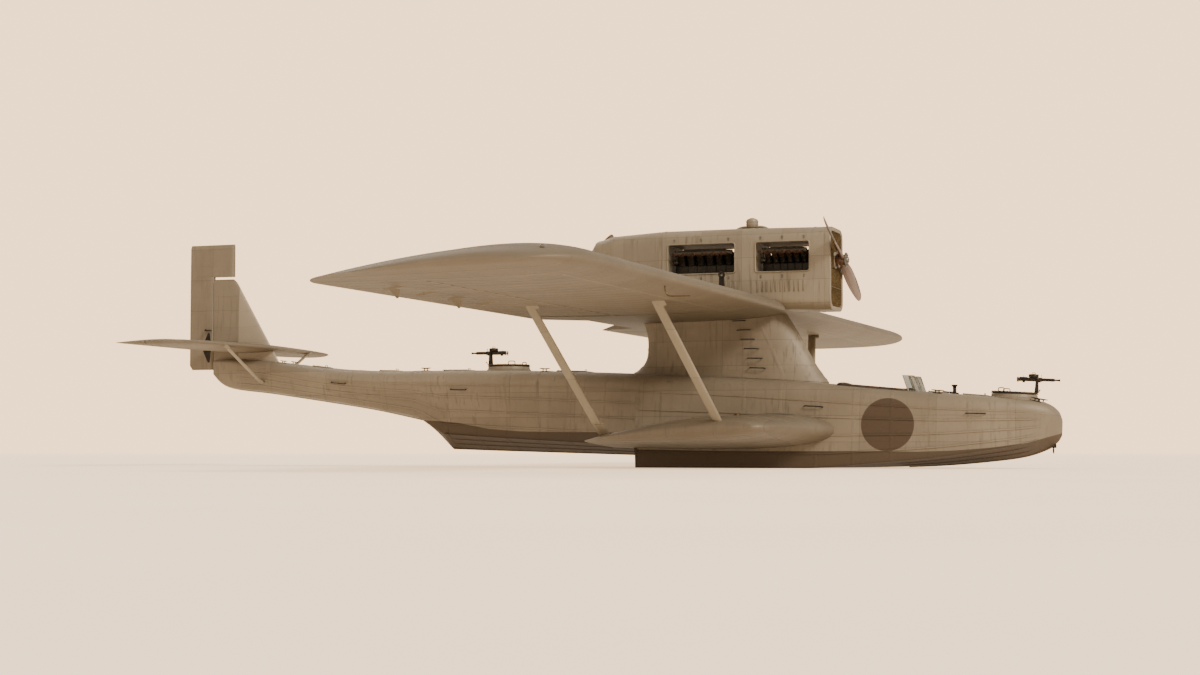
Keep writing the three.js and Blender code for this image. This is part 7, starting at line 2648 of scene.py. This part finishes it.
LAMP_AT = (0.10, 1, 10.90)  # share of the chord, over the wing, and distance from the middle
walkways, caps, covers, latches, lamps = [], [], [], [], []
for _, sign in SIDES:
    walkways.append(rib_tape(sign * 0.700, np.linspace(0.06, 0.70, 44), 1, 0.26, 0.003))
    walkways.append(sponson_band(sign * 1.27, 1, 0.46, 0.003, 0.16))
    for share in (0.28, 0.50):
        caps += cap_at(wing_point(share, 1, sign * 1.450), WING_UP, 0.075)
        caps += cap_at(sponson_point(share - 0.02, 1, sign * 2.40), SPONSON_UP, 0.065)
    for y in (3.30, 4.94, 7.40, 9.04):
        place = wing_point(0.66, -1, sign * y)
        covers.append(turned([[0.001, -0.012], [0.085, -0.012], [0.085, 0.003], [0.078, 0.006],
                              [0.001, 0.006]], place, -WING_UP, 28))
    for x in (0.55, 1.06, 1.58, 2.18, 2.58, 2.98):
        half = nacelle_half(x)
        for z in (3.600, 4.300):
            at = STEP + [x, sign * half, z]
            latches.append(rounded_block([-0.014, -0.008, -0.032], [0.014, 0.008, 0.032],
                                         0.005, 2, origin=at))
            latches.append(rod(at + [-0.018, sign * 0.008, 0.012],
                               at + [0.018, sign * 0.008, 0.012], 0.005, 8))
    tip = wing_point(*LAMP_AT[:2], sign * LAMP_AT[2])
    lamps.append(turned([[0.001, -0.02], [0.034, -0.02], [0.034, 0.006], [0.001, 0.006]], tip, WING_UP, 20))
tube = wing_point(0.02, -1, -7.0)
lamps.append(pipe([tube + [-0.06, 0, 0.02], tube + [-0.05, 0, -0.10], tube + [0.0, 0, -0.17],
                   tube + [0.16, 0, -0.18], tube + [0.34, 0, -0.18]], 0.009, 10,
                  [1.4, 1.2, 1, 1, 0.7], PORT))
bulbs = [turned([[0.001, 0.004], [0.027, 0.004], [0.029, 0.016], [0.024, 0.032],
                 [0.013, 0.042], [0.001, 0.045]],
                wing_point(*LAMP_AT[:2], sign * LAMP_AT[2]), WING_UP, 24) for _, sign in SIDES]
piece("walkways", walkways, walkway, sharp=45)
piece("filler_caps", caps, brass)
piece("wing_covers", covers, wing_paint)
piece("cowling_latches", latches, steel)
piece("lamp_bases_and_air_tube", lamps, brass)
piece("lamp_lenses", bulbs, glass)
report("walkways and small fittings")

# %% Sizes of the dressed model
def write_sizes():
    """Both boxes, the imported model's and the dressed one's, as plain lists of numbers."""
    boxes = {"cad": cad_box, "visual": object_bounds()}
    plain = {name: [list(map(float, corner)) for corner in box] for name, box in boxes.items()}
    return plain


print(write_sizes())
